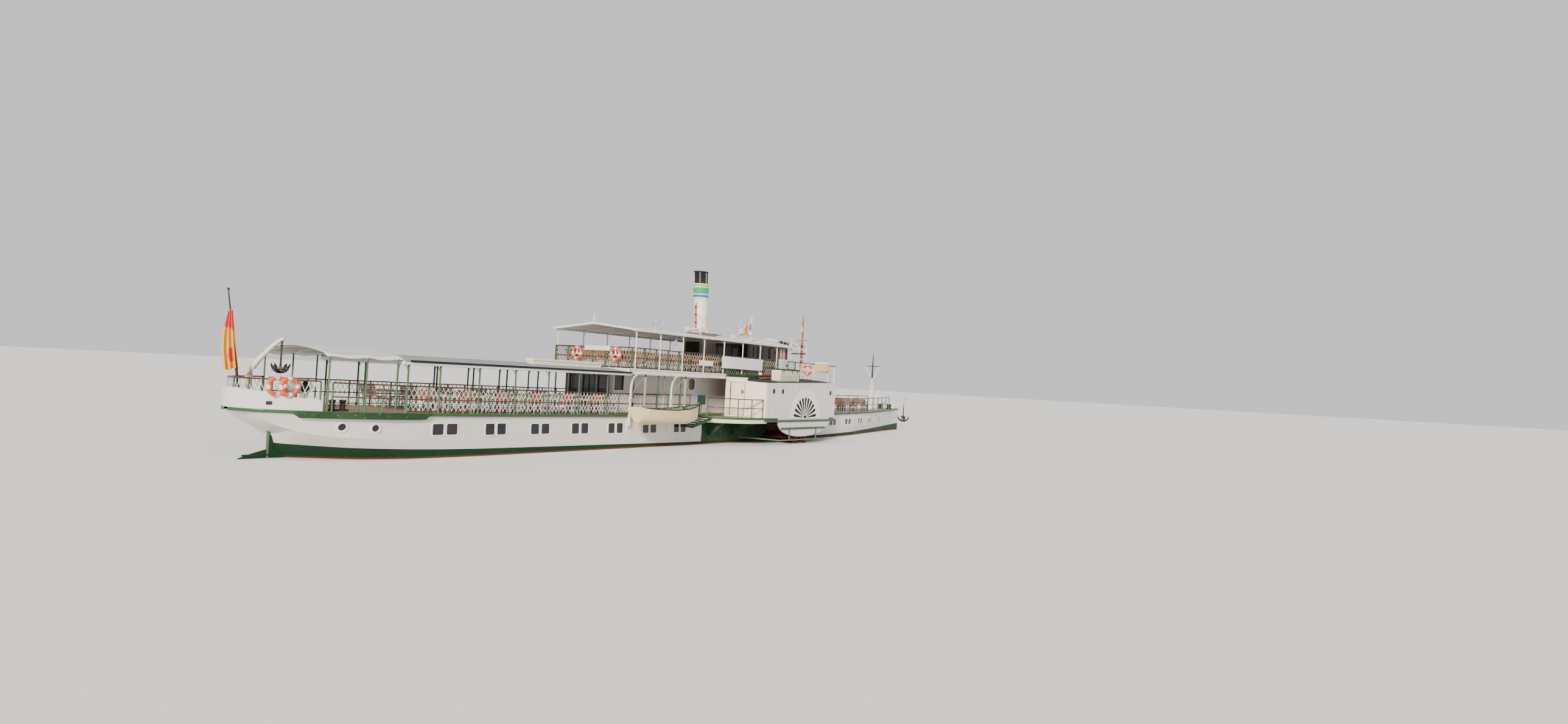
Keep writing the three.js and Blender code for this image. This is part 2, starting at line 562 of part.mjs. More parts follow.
// Height of the box top, which slopes outward and rises forward
function boxTopZ(y, x) {
  return boxTopInner - (boxTopInner - boxTopOuter) / (boxOuter - boxInner) * (y - boxInner)
    + boxRise * (x - boxAft);
}
function paddleBox(side) {
  const flip = (points) => (side > 0 ? points.slice().reverse() : points.map(([x, y]) => [x, -y]));
  const wall = 0.05;
  const low = sponsonTop + gap;
  const edgeZ = (x) => boxTopZ(boxOuter, x);
  const face = [[boxAft, low], [boxAft, edgeZ(boxAft)], [boxFore, edgeZ(boxFore)], [boxFore, low]];
  const faceOuter = [...face, [6.50, low], ...skirtCurve.slice().reverse().map(([x, z]) => [x, z]),
    [0.40, low]];
  const y0 = side > 0 ? boxOuter : -boxOuter - wall;
  let outer = prism(faceOuter.slice().reverse(), 'xz', y0, y0 + wall);
  for (const x of portholes) outer = outer.subtract(disc(x, 3.21, 0.17, y0 - 0.2, y0 + 0.3, 12));
  const fanAt = (r, turn) => [fan.x + r * Math.cos(turn), fan.z + r * fan.rise * Math.sin(turn)];
  const halfDisc = (r, steps) => Array.from({ length: steps + 1 }, (_, k) => fanAt(r, Math.PI * k / steps));
  const onFace = (outline, proud) => prism(outline, 'xz', side > 0 ? y0 + wall - 0.01 : y0 - proud,
    side > 0 ? y0 + wall + proud : y0 + 0.01);
  const spread = Math.PI / rays.count * rays.fill / 2;
  const fanRays = Array.from({ length: rays.count }, (_, k) => {
    const turn = Math.PI * (k + 0.5) / rays.count;
    return onFace([fanAt(rays.inner, turn - spread / 2), fanAt(rays.outer - 0.08, turn - spread),
      fanAt(rays.outer, turn),
      fanAt(rays.outer - 0.08, turn + spread), fanAt(rays.inner, turn + spread / 2)], 0.03 + rays.proud);
  });
  const fanParts = [onFace(halfDisc(fan.radius, 12), 0.03),
    onFace(halfDisc(rays.hub, 4), 0.03 + rays.proud), ...fanRays];
  const strake = (x0, x1, z0, z1) => block(x0, x1, side > 0 ? y0 + wall - 0.01 : y0 - 0.08,
    side > 0 ? y0 + wall + 0.08 : y0 + 0.01, z0, z1);
  const plan = [[-2.0, boxInner], [boxAft, boxOuter + wall / 2], [boxFore, boxOuter + wall / 2],
    [boxFore, boxInner]];
  const planIn = [[-2.0 + wall * 1.2, boxInner + wall], [boxAft + wall * 0.6, boxOuter - wall / 2],
    [boxFore - wall, boxOuter - wall / 2], [boxFore - wall, boxInner + wall]];
  const above = prism([[-3, edgeZ(-3) + 0.01], [9, edgeZ(9) + 0.01], [9, 9], [-3, 9]], 'xz', -7, 7);
  const shell = prism(flip(plan).reverse(), 'xy', low, 4).subtract(
    prism(flip(planIn).reverse(), 'xy', low - 1, 5)).subtract(above);
  const ys = side > 0 ? [boxInner + 0.02, boxOuter + 0.02] : [-boxOuter - 0.02, -boxInner - 0.02];
  const bulkheads = [1.36, 5.58].map((x) => block(x, x + 0.05, ys[0], ys[1], low,
    edgeZ(x) - 0.02));
  const topRing = (x, yIn, yOut) => [[x, side * yIn, boxTopZ(yIn, x)], [x, side * yOut, boxTopZ(yOut, x)],
    [x, side * yOut, boxTopZ(yOut, x) - 0.06], [x, side * yIn, boxTopZ(yIn, x) - 0.2]];
  const top = loft([topRing(-2.0, boxInner, boxInner + 0.04), topRing(boxAft, boxInner, boxOuter + wall),
    topRing(boxFore, boxInner, boxOuter + wall)]);
  const doorCut = block(-2.4, boxAft - 0.42, side > 0 ? 3.25 : -4.05, side > 0 ? 4.05 : -3.25, 1.72, 3.62);
  const box = join([outer, ...fanParts, shell, top, ...bulkheads, strake(-1.07, 7.3, 1.38, 1.50),
    strake(0.71, 5.92, 0.92, 1.03)]).subtract(doorCut);
  return join([box, ...bridgeRail(side)]);
}

// Bridge rail athwart the fore end of the box top, with a rack, a locker and a cabinet on starboard
function bridgeRail(side) {
  const reach = [1.70, 5.20];
  const levels = [{ inner: 5.21, outer: 4.99, radius: 0.035 }, { inner: 4.80, outer: 4.52, radius: 0.018 },
    { inner: 4.42, outer: 4.16, radius: 0.018 }];
  const hand = levels[0];
  const handZ = (y) => hand.inner + (hand.outer - hand.inner) * (y - reach[0]) / (reach[1] - reach[0]);
  const parts = levels.map(({ inner, outer, radius }) => bar([[bridgeX, side * reach[0], inner],
    [bridgeX, side * reach[1], outer]], radius, 4));
  for (const y of [reach[0], 2.57, 3.62, 4.68, 5.16]) {
    const foot = y < boxInner ? sundeckTop + gap : boxTopZ(y, bridgeX) - 0.03;
    parts.push(sideBlock(bridgeX - 0.03, bridgeX + 0.03, side, y - 0.03, y + 0.03, foot, handZ(y)));
  }
  if (side < 0) {
    const across = (y0, z0, y1, z1) => bar([[bridgeX, side * y0, z0], [bridgeX, side * y1, z1]], 0.028, 4);
    parts.push(across(reach[0], hand.inner - 0.05, reach[0], 6.84), across(2.92, 5.10, 2.92, 6.35));
    for (const z of [5.39, 5.745, 6.045]) parts.push(across(reach[0], z, 2.92, z));
    parts.push(across(reach[0], 6.55, 2.34, 6.22), across(2.34, 6.23, 2.34, 5.74));
    parts.push(sideBlock(3.35, 3.95, side, 3.15, 3.45, boxTopZ(3.3, 3.35) - 0.04, 5.18));
    parts.push(sideBlock(6.55, 7.03, side, 3.98, 4.82, 4.62, 5.22));
  }
  return parts;
}
place('paddle_box_starboard', paddleBox(-1), white, 0.45);
place('paddle_box_port', paddleBox(1), white, 0.45);

// Guard bars outside the wheels
const guardRadius = 0.045;
for (const [label, side] of [['starboard', -1], ['port', 1]]) {
  const y = side * 5.29;
  const guard = join([
    bar([[5.95, y, 0.27], [0.6, y, 0.27]], guardRadius, 6),
    bar([[0.62, y, 0.27], [-0.45, side * 2.903, 0.34]], guardRadius, 6),
    ...[1.65, 4.83].map((x) => sideBlock(x - 0.04, x + 0.04, side, 5.25, 5.31, 0.25, 0.92 - gap)),
  ]);
  place(`wheel_guard_${label}`, guard, paleGreen, 0.5);
}

// Both wheels on their shaft, one turning body
const wheelFrames = [3.40, 4.78];
const wheelParts = [disc(wheelX, wheelZ, shaftRadius, -4.90, 4.90, floatCount)];
for (const side of [-1, 1]) {
  for (const y of wheelFrames) {
    wheelParts.push(disc(wheelX, wheelZ, 0.42, side * y - 0.05, side * y + 0.05, floatCount));
    const ring = disc(wheelX, wheelZ, 1.44, side * y - 0.02, side * y + 0.02, floatCount * 2)
      .subtract(disc(wheelX, wheelZ, 1.35, side * y - 0.1, side * y + 0.1, floatCount * 2));
    wheelParts.push(ring);
  }
}
for (let i = 0; i < floatCount; i += 1) {
  const turn = 2 * Math.PI * i / floatCount + Math.PI / 2;
  const out = [Math.cos(turn), Math.sin(turn)];
  const side = [-Math.sin(turn), Math.cos(turn)];
  const corner = (r, w) => [wheelX + out[0] * r + side[0] * w, wheelZ + out[1] * r + side[1] * w];
  const arm = [corner(0.35, -0.045), corner(0.35, 0.045), corner(1.75, 0.035), corner(1.75, -0.035)];
  const float = [corner(1.33, 0.02), corner(1.33, 0.075), corner(floatReach, 0.075),
    corner(floatReach, 0.02)];
  for (const s of [-1, 1]) {
    for (const y of wheelFrames) wheelParts.push(prism(arm, 'xz', s * y - 0.03, s * y + 0.03));
    wheelParts.push(prism(float, 'xz', s > 0 ? wheelIn : -wheelOut, s > 0 ? wheelOut : -wheelIn));
  }
}
place('paddle_wheels', join(wheelParts), red, 0.5);

// Sponson house doors on the slanted aft wall, hung at the outer edge
for (const [label, side] of [['starboard', -1], ['port', 1]]) {
  const a = [-1.86, 3.30];
  const b = [-1.515, 4.03];
  const across = [(b[1] - a[1]), -(b[0] - a[0])];
  const size = Math.hypot(...across);
  const n = [across[0] / size * 0.04, across[1] / size * 0.04];
  const leaf = [a, b, [b[0] + n[0], b[1] + n[1]], [a[0] + n[0], a[1] + n[1]]];
  const panel = prism(side > 0 ? leaf.slice().reverse() : leaf.map(([x, y]) => [x, -y]), 'xy', 1.74, 3.60);
  place(`sponson_door_${label}`, panel.add(pivot(b[0], side * b[1], 1.72, 3.62)), cream, 0.5);
}

// Rails: uprights, a handrail and two lower bars following a row of points
function rail(points, base, height, postStep, color, name) {
  const parts = [];
  for (const level of [height, height * 0.5]) {
    parts.push(bar(points.map(([x, y]) => [x, y, base(x) + level]), level === height ? 0.035 : 0.018, 4));
  }
  for (let i = 0; i + 1 < points.length; i += 1) {
    const [ax, ay] = points[i];
    const [bx, by] = points[i + 1];
    const steps = Math.max(1, Math.round(Math.hypot(bx - ax, by - ay) / postStep));
    for (let k = i === 0 ? 0 : 1; k <= steps; k += 1) {
      const x = ax + (bx - ax) * k / steps;
      const y = ay + (by - ay) * k / steps;
      parts.push(block(x - 0.025, x + 0.025, y - 0.025, y + 0.025,
        Math.max(base(x - 0.025), base(x + 0.025)) + gap,
        base(x) + height));
    }
  }
  place(name, join(parts), color, 0.5);
}

const sponsonFloor = () => sponsonTop;
for (const [label, side] of [['starboard', -1], ['port', 1]]) {
  const edge = [[-25.1, 2.26], [-24.1, 2.54], [-22.5, 2.76]];
  edge.push([-20.15, 2.80], [-5.03, 2.80]);
  rail(edge.map(([x, y]) => [x, side * y]), deckZ, railHeight, 1.9, brown, `main_rail_${label}`);
  const aft = [[-3.9, 3.2], [-3.75, 3.6], [-3.3, 4.18], [-2.55, 4.72], [-1.75, 5.0], [-1.1, 5.1]];
  rail(aft.map(([x, y]) => [x, side * y]), sponsonFloor, railHeight, 1.2, brown, `sponson_rail_${label}`);
  const bow = [[11.3, 2.84], [14.0, 2.74], [17.0, 2.44], [20.0, 1.96], [22.5, 1.44], [24.3, 1.02]];
  rail(bow.map(([x, y]) => [x, side * y]), deckZ, railHeight, 1.5, green, `bow_rail_${label}`);
}
const sternLine = [...[-25.45, -26.25, -26.9, -27.2].map((x) => [x, deckHalf(x) - 0.22]),
  [-27.40, 0.42], [-27.43, 0]];
const sternPoints = [...sternLine.map(([x, y]) => [x, -y]), ...sternLine.slice(0, -1).reverse()];
const sternHand = 2.98;
const sternRailParts = [bar(sternPoints.map(([x, y]) => [x, y, sternHand]), 0.04, 4)];
for (const [x, y] of sternPoints) {
  sternRailParts.push(block(x - 0.025, x + 0.025, y - 0.025, y + 0.025, standOn(x - 0.025, x + 0.025),
    sternHand));
}
place('stern_rail', join(sternRailParts), brown, 0.5);

// Sundeck rail with the canopy posts, canopy above
const sundeckBase = () => sundeckTop;
const rafterEdge = canopyEdge - 0.03;
const rafterRidge = canopyRidge - 0.07;
const canopyPosts = Array.from({ length: 8 }, (_, i) => firstPost + (i + 6) * postSpacing);
const canopyParts = [];
for (const y of [-postRow, postRow]) {
  canopyParts.push(bar([[canopyAft + 0.04, y, rafterEdge - 0.006],
    [canopyFore - 0.04, y, rafterEdge - 0.006]], 0.028, 4));
  for (const x of canopyPosts) canopyParts.push(bar([[x, y, sundeckTop + gap], [x, y, rafterEdge + 0.01]],
    0.03, 4));
}
for (const x of canopyPosts) {
  canopyParts.push(bar([[x, -postRow, rafterEdge], [x, 0, rafterRidge], [x, postRow, rafterEdge]], 0.025, 4));
}
const canopyFrame = join(canopyParts).subtract(block(-2.0, 0.1, -0.85, 0.85, 5.5, 7));
place('canopy_frame', canopyFrame, white, 0.4, 0.3);
const canopyUnder = (y) => rafterRidge + 0.0187 - (rafterRidge - rafterEdge) / postRow * y;
const canopyRing = (x) => [
  ...[canopyHalf, 0, -canopyHalf].map((y) => [x, y, canopyUnder(Math.abs(y)) + 0.05]),
  ...[-canopyHalf, 0, canopyHalf].map((y) => [x, y, canopyUnder(Math.abs(y))]),
];
const canopyHole = block(-1.75, 0.0, -0.80, 0.80, 5, 8);
const ridgePole = turned([[0.03, canopyUnder(0) + 0.02], [0.02, 6.97]], -9.9, 0, 8);
place('canopy', loft([canopyAft, canopyFore].map(canopyRing)).subtract(canopyHole).add(ridgePole), white,
  0.8);

const railAft = -9.93;
const railFore = 5.9;
const railSide = 2.80;
const sundeckRailParts = [];
for (const [level, radius] of [[sundeckRail, 0.035], [0.58, 0.018]]) {
  const z = sundeckTop + level;
  sundeckRailParts.push(bar([[railFore, -railSide, z], [railAft, -railSide, z], [railAft, railSide, z],
    [railFore, railSide, z]], radius, 4));
}
function railPost(x, y) {
  return block(x - 0.025, x + 0.025, y - 0.025, y + 0.025, sundeckTop + gap, sundeckTop + sundeckRail);
}
for (let k = 0; k <= 8; k += 1) {
  const x = railAft + k * (railFore - railAft) / 8;
  sundeckRailParts.push(railPost(x, -railSide), railPost(x, railSide));
}
for (const y of [-1.4, 0, 1.4]) sundeckRailParts.push(railPost(railAft, y));
place('sundeck_rail', join(sundeckRailParts), brown, 0.5);

// Bare board and two lifebuoys hung on the aft rail
const buoy = { radius: 0.29, tube: 0.07 };
const handOuter = railAft - 0.025 - gap;
function lifebuoy(y, z) {
  const ring = new THREE.TorusGeometry(buoy.radius, buoy.tube, 6, 16);
  ring.rotateY(Math.PI / 2);
  ring.translate(handOuter - buoy.tube, y, z);
  return toSolid(ring);
}
place('name_board', join([block(handOuter - 0.05, handOuter, -1.50, 0.80, 4.95, 5.18), lifebuoy(-1.75, 4.78),
  lifebuoy(1.05, 4.78)]), cream, 0.6);

// Funnel casing below the canopy, funnel folding aft about its hinge
place('funnel_casing', join([
  block(-1.60, -0.15, -0.66, 0.66, sundeckTop + gap, 6.52),
  block(funnelHinge.x - 0.14, funnelHinge.x + 0.14, -0.62, -0.53 - gap, 6.4, 6.88),
  block(funnelHinge.x - 0.14, funnelHinge.x + 0.14, 0.53 + gap, 0.62, 6.4, 6.88),
]), '#b9bcc0', 0.5, 0.2);
const funnelFoot = { x: -0.88, z: 6.55 };
const funnelTop = { x: -1.16, z: 10.30 };
function funnelAt(z) {
  return funnelFoot.x + (funnelTop.x - funnelFoot.x) * (z - funnelFoot.z) / (funnelTop.z - funnelFoot.z);
}
const funnelProfile = [[0.55, 6.55], [0.50, 6.62], [funnelRadius, 6.80], [funnelRadius, 8.66], [0.47, 8.66],
  [0.47, 9.56],
  [funnelRadius, 9.56], [funnelRadius, 10.24], [0.45, 10.24], [0.45, 10.32]];
const funnelRings = funnelProfile.map(([r, z]) => Array.from({ length: 20 }, (_, k) => {
  const turn = 2 * Math.PI * k / 20;
  return [funnelAt(z) + r * Math.cos(turn), r * Math.sin(turn), z];
}));
const funnelPipe = bar([[-1.42, 0, 6.75], [funnelAt(8.3) - 0.50, 0, 8.3]], 0.05, 6);
const pipeTop = bar([[funnelAt(8.28) - 0.50, 0, 8.26], [funnelAt(8.28) - 0.3, 0, 8.26]], 0.05, 6);
const hingeArms = [-0.46, 0.46].map((y) => block(funnelHinge.x - 0.1, -1.1, y - 0.04, y + 0.04, 6.62, 6.86));
const hingePin = disc(funnelHinge.x, funnelHinge.z, 0.05, -0.53, 0.53, 12);
const foldingFunnel = loft(funnelRings).subtract(turned([[0.34, 9.9], [0.34, 11]], funnelTop.x, 0, 16));
place('funnel', join([foldingFunnel, funnelPipe, pipeTop, ...hingeArms, hingePin]), '#e6e2d2', 0.5, 0.2);

// Wheelhouse with windows all round, its roof and the side doors
const wheelhouse = { aft: 2.0, fore: 6.7, half: 1.60, top: 6.08 };
const cabinGlass = { low: 5.22, top: 6.0 };
let cabin = block(wheelhouse.aft, wheelhouse.fore, -wheelhouse.half, wheelhouse.half, sundeckTop + gap,
  wheelhouse.top)
  .subtract(block(wheelhouse.aft + wallThick, wheelhouse.fore - wallThick, -wheelhouse.half + wallThick,
    wheelhouse.half - wallThick, sundeckTop - 1, 8));
const cabinWindows = [{ x0: 2.2, x1: 3.2 }, { x0: 3.75, x1: 4.55 }, { x0: 5.75, x1: 6.5 }];
for (const w of cabinWindows) cabin = cabin.subtract(block(w.x0, w.x1, -2, 2, cabinGlass.low,
  cabinGlass.top));
cabin = cabin.subtract(block(4.75, 5.55, -2, 2, 4.14, 6.04));
for (const y of [-1.05, 0, 1.05]) {
  cabin = cabin.subtract(block(wheelhouse.fore - 0.2, wheelhouse.fore + 0.2, y - 0.42, y + 0.42,
    cabinGlass.low, cabinGlass.top));
}
for (const y of [-0.85, 0.85]) {
  cabin = cabin.subtract(block(wheelhouse.aft - 0.2, wheelhouse.aft + 0.2, y - 0.5, y + 0.5,
    cabinGlass.low, cabinGlass.top));
}
place('wheelhouse', cabin, brown, 0.4);
for (const [label, side] of [['starboard', -1], ['port', 1]]) {
  const y = wheelhouse.half - 0.05;
  const leaf = sideBlock(4.77, 5.53, side, y, y + doorThick, 4.16, 6.02)
    .subtract(sideBlock(4.87, 5.43, side, y - 0.2, y + 0.2, cabinGlass.low, 5.93));
  const pin = pivot(5.53, side * (y + doorThick), 4.14, 6.04);
  place(`wheelhouse_door_${label}`, leaf.add(pin), brown, 0.4);
}
const roofLow = wheelhouse.top + gap;
const cabinRoofRing = (x) => [[x, 1.72, roofLow], [x, 1.72, 6.12], [x, 0, 6.19], [x, -1.72, 6.12],
  [x, -1.72, roofLow]];
// Ridged cover ahead of the canopy, with a rolled dodger along its fore edge
const coverRing = ([x, ridge]) => [[x, 1.86, 6.13], [x, 1.86, 6.25], [x, 0, ridge], [x, -1.86, 6.25],
  [x, -1.86, 6.13]];
const cover = loft([[canopyFore + 0.04, 6.48], [5.0, 6.65], [6.95, 6.64]].map(coverRing));
const roofRoll = bar([[6.85, -1.74, 6.33], [6.85, 0, 6.70], [6.85, 1.74, 6.33]], 0.08, 8);
place('wheelhouse_roof', join([loft([1.9, 6.95].map(cabinRoofRing)), cover, roofRoll]), white, 0.6);

// Boarding platform, mooring bollards, chest and other deck fittings
const platformZ = (x) => 1.60 + (x + 4.30) * 0.26;
const platformEnds = [-5.95, -4.30];
const platform = join([
  strip(platformEnds, -3.86, -3.79, -0.16, 0.02, platformZ),
  strip(platformEnds, -3.06, -2.985, -0.16, 0.02, platformZ),
  ...[-5.95, -4.37].map((x) => strip([x, x + 0.07], -3.86, -2.985, -0.14, 0, platformZ)),
  ...Array.from({ length: 5 }, (_, i) => -5.72 + i * 0.27).map((x) => strip([x, x + 0.13], -3.83, -3.02,
    -0.06, 0, platformZ)),
  ...[-5.93, -4.42].map((x) => block(x, x + 0.07, -3.06, -2.985, platformZ(x) - 0.1, 1.69)),
  ...[-5.93, -4.42].map((x) => block(x, x + 0.07, -3.06, -2.97 - gap, 1.60, 1.69)),
]);
place('boarding_platform', platform, green, 0.6);
const chest = { aft: 1.70, fore: 3.90, out: 4.40, in: 3.75, top: 4.52, lidTop: 4.60 };
const chestRing = (x) => [[x, -chest.out, boxTopZ(chest.out, x) + gap], [x, -chest.in,
  boxTopZ(chest.in, x) + gap], [x, -chest.in, chest.top], [x, -chest.out, chest.top]];
place('deck_chest', loft([chest.aft, chest.fore].map(chestRing)), '#c9c9b8', 0.6);
place('chest_lid', block(chest.aft - 0.04, chest.fore + 0.04, -chest.out - 0.04, -chest.in + 0.04,
  chest.top + gap, chest.lidTop), green, 0.6);

// Lifeboat on its davits, starboard side
const boatRings = [
  { x: -10.55, half: 0.52, gun: 2.17, turn: 1.72, low: 1.42 },
  { x: -9.6, half: 0.66, gun: 2.10, turn: 1.55, low: 1.36 },
  { x: -8.3, half: 0.70, gun: 2.07, turn: 1.50, low: 1.33 },
  { x: -7.2, half: 0.60, gun: 2.12, turn: 1.54, low: 1.34 },
  { x: -6.3, half: 0.34, gun: 2.24, turn: 1.62, low: 1.38 },
  { x: -5.75, half: 0.05, gun: 2.36, turn: 1.80, low: 1.60 },
];
const boatY = -3.98;
const boatRing = (b, inset, lift) => {
  const h = Math.max(b.half - inset, 0.01);
  return [[b.x, boatY + h, b.gun + (lift ? 0.2 : 0)], [b.x, boatY + h * 0.92, b.turn + lift],
    [b.x, boatY + h * 0.35, b.low + lift],
    [b.x, boatY - h * 0.35, b.low + lift], [b.x, boatY - h * 0.92, b.turn + lift],
      [b.x, boatY - h, b.gun + (lift ? 0.2 : 0)]];
};
const boatOut = loft(boatRings.map((b) => boatRing(b, 0, 0)));
const boatIn = loft(boatRings.slice(0, 5).map((b) => boatRing({ ...b, x: b.x + (b.x < -10 ? 0.06 : 0) },
  0.05, 0.06)));
const skeg = block(-10.57, -6.4, boatY - 0.03, boatY + 0.03, 1.27, 1.5);
const thwarts = boatRings.slice(1, 4).map((b) => block(b.x - 0.12, b.x + 0.12, boatY - b.half + 0.035,
  boatY + b.half - 0.035, 1.86, 1.90));
const davitSpots = [['aft', -10.13], ['fore', -6.96]];
const lugTop = 1.95;
const lugs = davitSpots.map(([, x]) => block(x - 0.04, x + 0.04, boatY - 0.04, boatY + 0.04, 1.40, lugTop));
place('lifeboat', join([boatOut, skeg]).subtract(boatIn).add(join([...thwarts, ...lugs])), cream, 0.5);
for (const [label, x] of davitSpots) {
  const arm = [[x, -3.04, 1.2], [x, -3.04, 3.1], [x, -3.12, 3.5], [x, -3.32, 3.78], [x, -3.6, 3.90],
    [x, -4.0, 3.93]];
  const fall = bar([[x, boatY, 3.90], [x, boatY, lugTop + gap]], 0.025, 4);
  const bracket = block(x - 0.05, x + 0.05, -3.07, -deckHalf(x) - gap, 1.60, 1.69);
  const davit = join([bar(arm, [0.06, 0.06, 0.055, 0.05, 0.045, 0.04], 6), fall, bracket]);
  place(`davit_${label}`, davit, white, 0.4);
}

// Rudder
const blade = [[rudderX - 0.05, 0.32], [-27.15, 0.02], [-27.22, -0.66], [rudderX - 0.05, -0.72]];
place('rudder', join([
  prism(blade, 'xz', -0.05, 0.05),
  turned([[stockRadius, -0.74], [stockRadius, stockTop]], rudderX, 0),
]), '#1f3b2b', 0.6);

// Stern anchor crane, slewing, with its hanging anchor
const craneDir = [0.54, -0.84];
const craneAt = (r, z) => [craneFoot.x + craneDir[0] * r, craneFoot.y + craneDir[1] * r, z];
const craneArm = bar([craneAt(0, standOn(-26.9, -26.6)), craneAt(0, 3.15), craneAt(0.3, 3.55),
  craneAt(0.75, 4.1), craneAt(1.22, 4.46)],
  [0.13, 0.11, 0.09, 0.08, 0.06], 8);
function anchor(cx, cy, top, size, dir) {
  const fluke = [[-0.42, -0.62], [-0.30, -0.88], [0, -1.0], [0.30, -0.88], [0.42, -0.62]];
  const radii = [0.01, 0.05, 0.06, 0.05, 0.01].map((r) => r * size + 0.01);
  const crossed = [dir, [-dir[1], dir[0]]];
  const pairs = crossed.map(([dx, dy]) => bar(
    fluke.map(([r, z]) => [cx + dx * r * size, cy + dy * r * size, top + z * size]), radii, 6));
  const shank = bar([[cx, cy, top], [cx, cy, top - size]], 0.035 * size + 0.01, 6);
  return join([shank, ...pairs]);
}
const sternFall = bar([craneAt(1.15, 4.44), craneAt(1.15, 3.98)], 0.025, 6);
const tipSpot = craneAt(1.15, 4.0);
place('stern_crane', join([craneArm, sternFall, anchor(tipSpot[0], tipSpot[1], 4.02, 0.82, craneDir)]),
  white, 0.4);

// Bow anchor boom, slewing, with its hanging anchor
const boomBase = standOn(boomFoot - 0.17, boomFoot + 0.17);
place('bow_boom', join([
  turned([[0.16, boomBase], [0.12, boomBase + 0.30]], boomFoot, 0, 10),
  bar([[boomFoot, 0, boomBase + 0.2], [boomFoot + 0.9, 0, 2.26], [30.05, 0, 2.70]], [0.11, 0.10, 0.08], 8),
  bar([[29.6, 0, 2.60], [29.6, 0, 1.95]], 0.025, 6),
  anchor(29.6, 0, 2.0, 1.25, [0.6, -0.8]),
]), white, 0.4);

// Bow mast with yard on its tabernacle
const bowDeck = standOn(bowMast.x - 0.14, bowMast.x + 0.14);
place('bow_tabernacle', join([
  block(bowMast.x - 0.14, bowMast.x + 0.14, -0.14, 0.14, bowDeck, 3.50),
  block(bowMast.x - 0.12, bowMast.x + 0.12, -0.15, -0.105 - gap, 3.4, 3.95),
  block(bowMast.x - 0.12, bowMast.x + 0.12, 0.105 + gap, 0.15, 3.4, 3.95),
]), white, 0.5);
place('bow_mast', join([
  bar([[bowMast.x, 0, 3.56], [bowMast.x, 0, 5.5], [bowMast.x, 0, 6.55]], [0.075, 0.055, 0.02], 8),
  disc(bowMast.x, bowMast.pin, 0.035, -0.105, 0.105, 10),
  bar([[bowMast.x, -0.74, 5.48], [bowMast.x, 0, 5.48], [bowMast.x, 0.74, 5.48]], 0.03, 6),
  bar([[bowMast.x, -0.68, 5.47], [bowMast.x, 0, 4.35]], 0.03, 4),
  bar([[bowMast.x, 0.68, 5.47], [bowMast.x, 0, 4.35]], 0.03, 4),
]), wood, 0.6);

// Main mast forward of the bridge
const mastDeck = standOn(mainMast.x - 0.16, mainMast.x + 0.16);
place('mast_tabernacle', join([
  block(mainMast.x - 0.16, mainMast.x + 0.16, -0.16, 0.16, mastDeck, 3.20),
  block(mainMast.x - 0.13, mainMast.x + 0.13, -0.18, -0.125 - gap, 3.1, 3.70),
  block(mainMast.x - 0.13, mainMast.x + 0.13, 0.125 + gap, 0.18, 3.1, 3.70),
]), wood, 0.6);
place('main_mast', join([
  bar([[mainMast.x, 0, 3.27], [mainMast.x, 0, 6.4], [mainMast.x, 0, 8.6]], [0.10, 0.09, 0.03], 8),
  disc(mainMast.x, mainMast.pin, 0.04, -0.125, 0.125, 10),
  bar([[mainMast.x, -0.5, 6.9], [mainMast.x, 0.5, 6.9]], 0.025, 6),
]), wood, 0.6);

// Flagpole leaning aft from the stern, with its flag hanging in folds
const poleLow = { x: -27.45, z: 3.6, radius: 0.045 };
const poleTip = { x: -27.82, z: 6.05, radius: 0.02 };
place('flagpole', bar([[-27.20, 0, standOn(-27.26, -27.1)], [-27.20, 0, 2.1], [poleLow.x, 0, poleLow.z],
  [poleTip.x, 0, poleTip.z]], [0.05, 0.05, poleLow.radius, poleTip.radius], 8), brown, 0.5);
const flagSections = [{ z: 5.45, wide: 0.16, thick: 0.03 }, { z: 4.6, wide: 0.36, thick: 0.06 },
  { z: 3.7, wide: 0.34, thick: 0.05 }];
const flagRing = ({ z, wide, thick }) => {
  const share = (z - poleLow.z) / (poleTip.z - poleLow.z);
  const radius = poleLow.radius + (poleTip.radius - poleLow.radius) * share;
  const x = poleLow.x + (poleTip.x - poleLow.x) * share - radius * Math.cos(Math.PI / 8) - gap;
  return [[x - wide, -thick, z], [x, -thick * 0.5, z], [x, thick, z], [x - wide, thick * 1.5, z]];
};
place('stern_flag', loft(flagSections.map(flagRing)), red, 0.9);

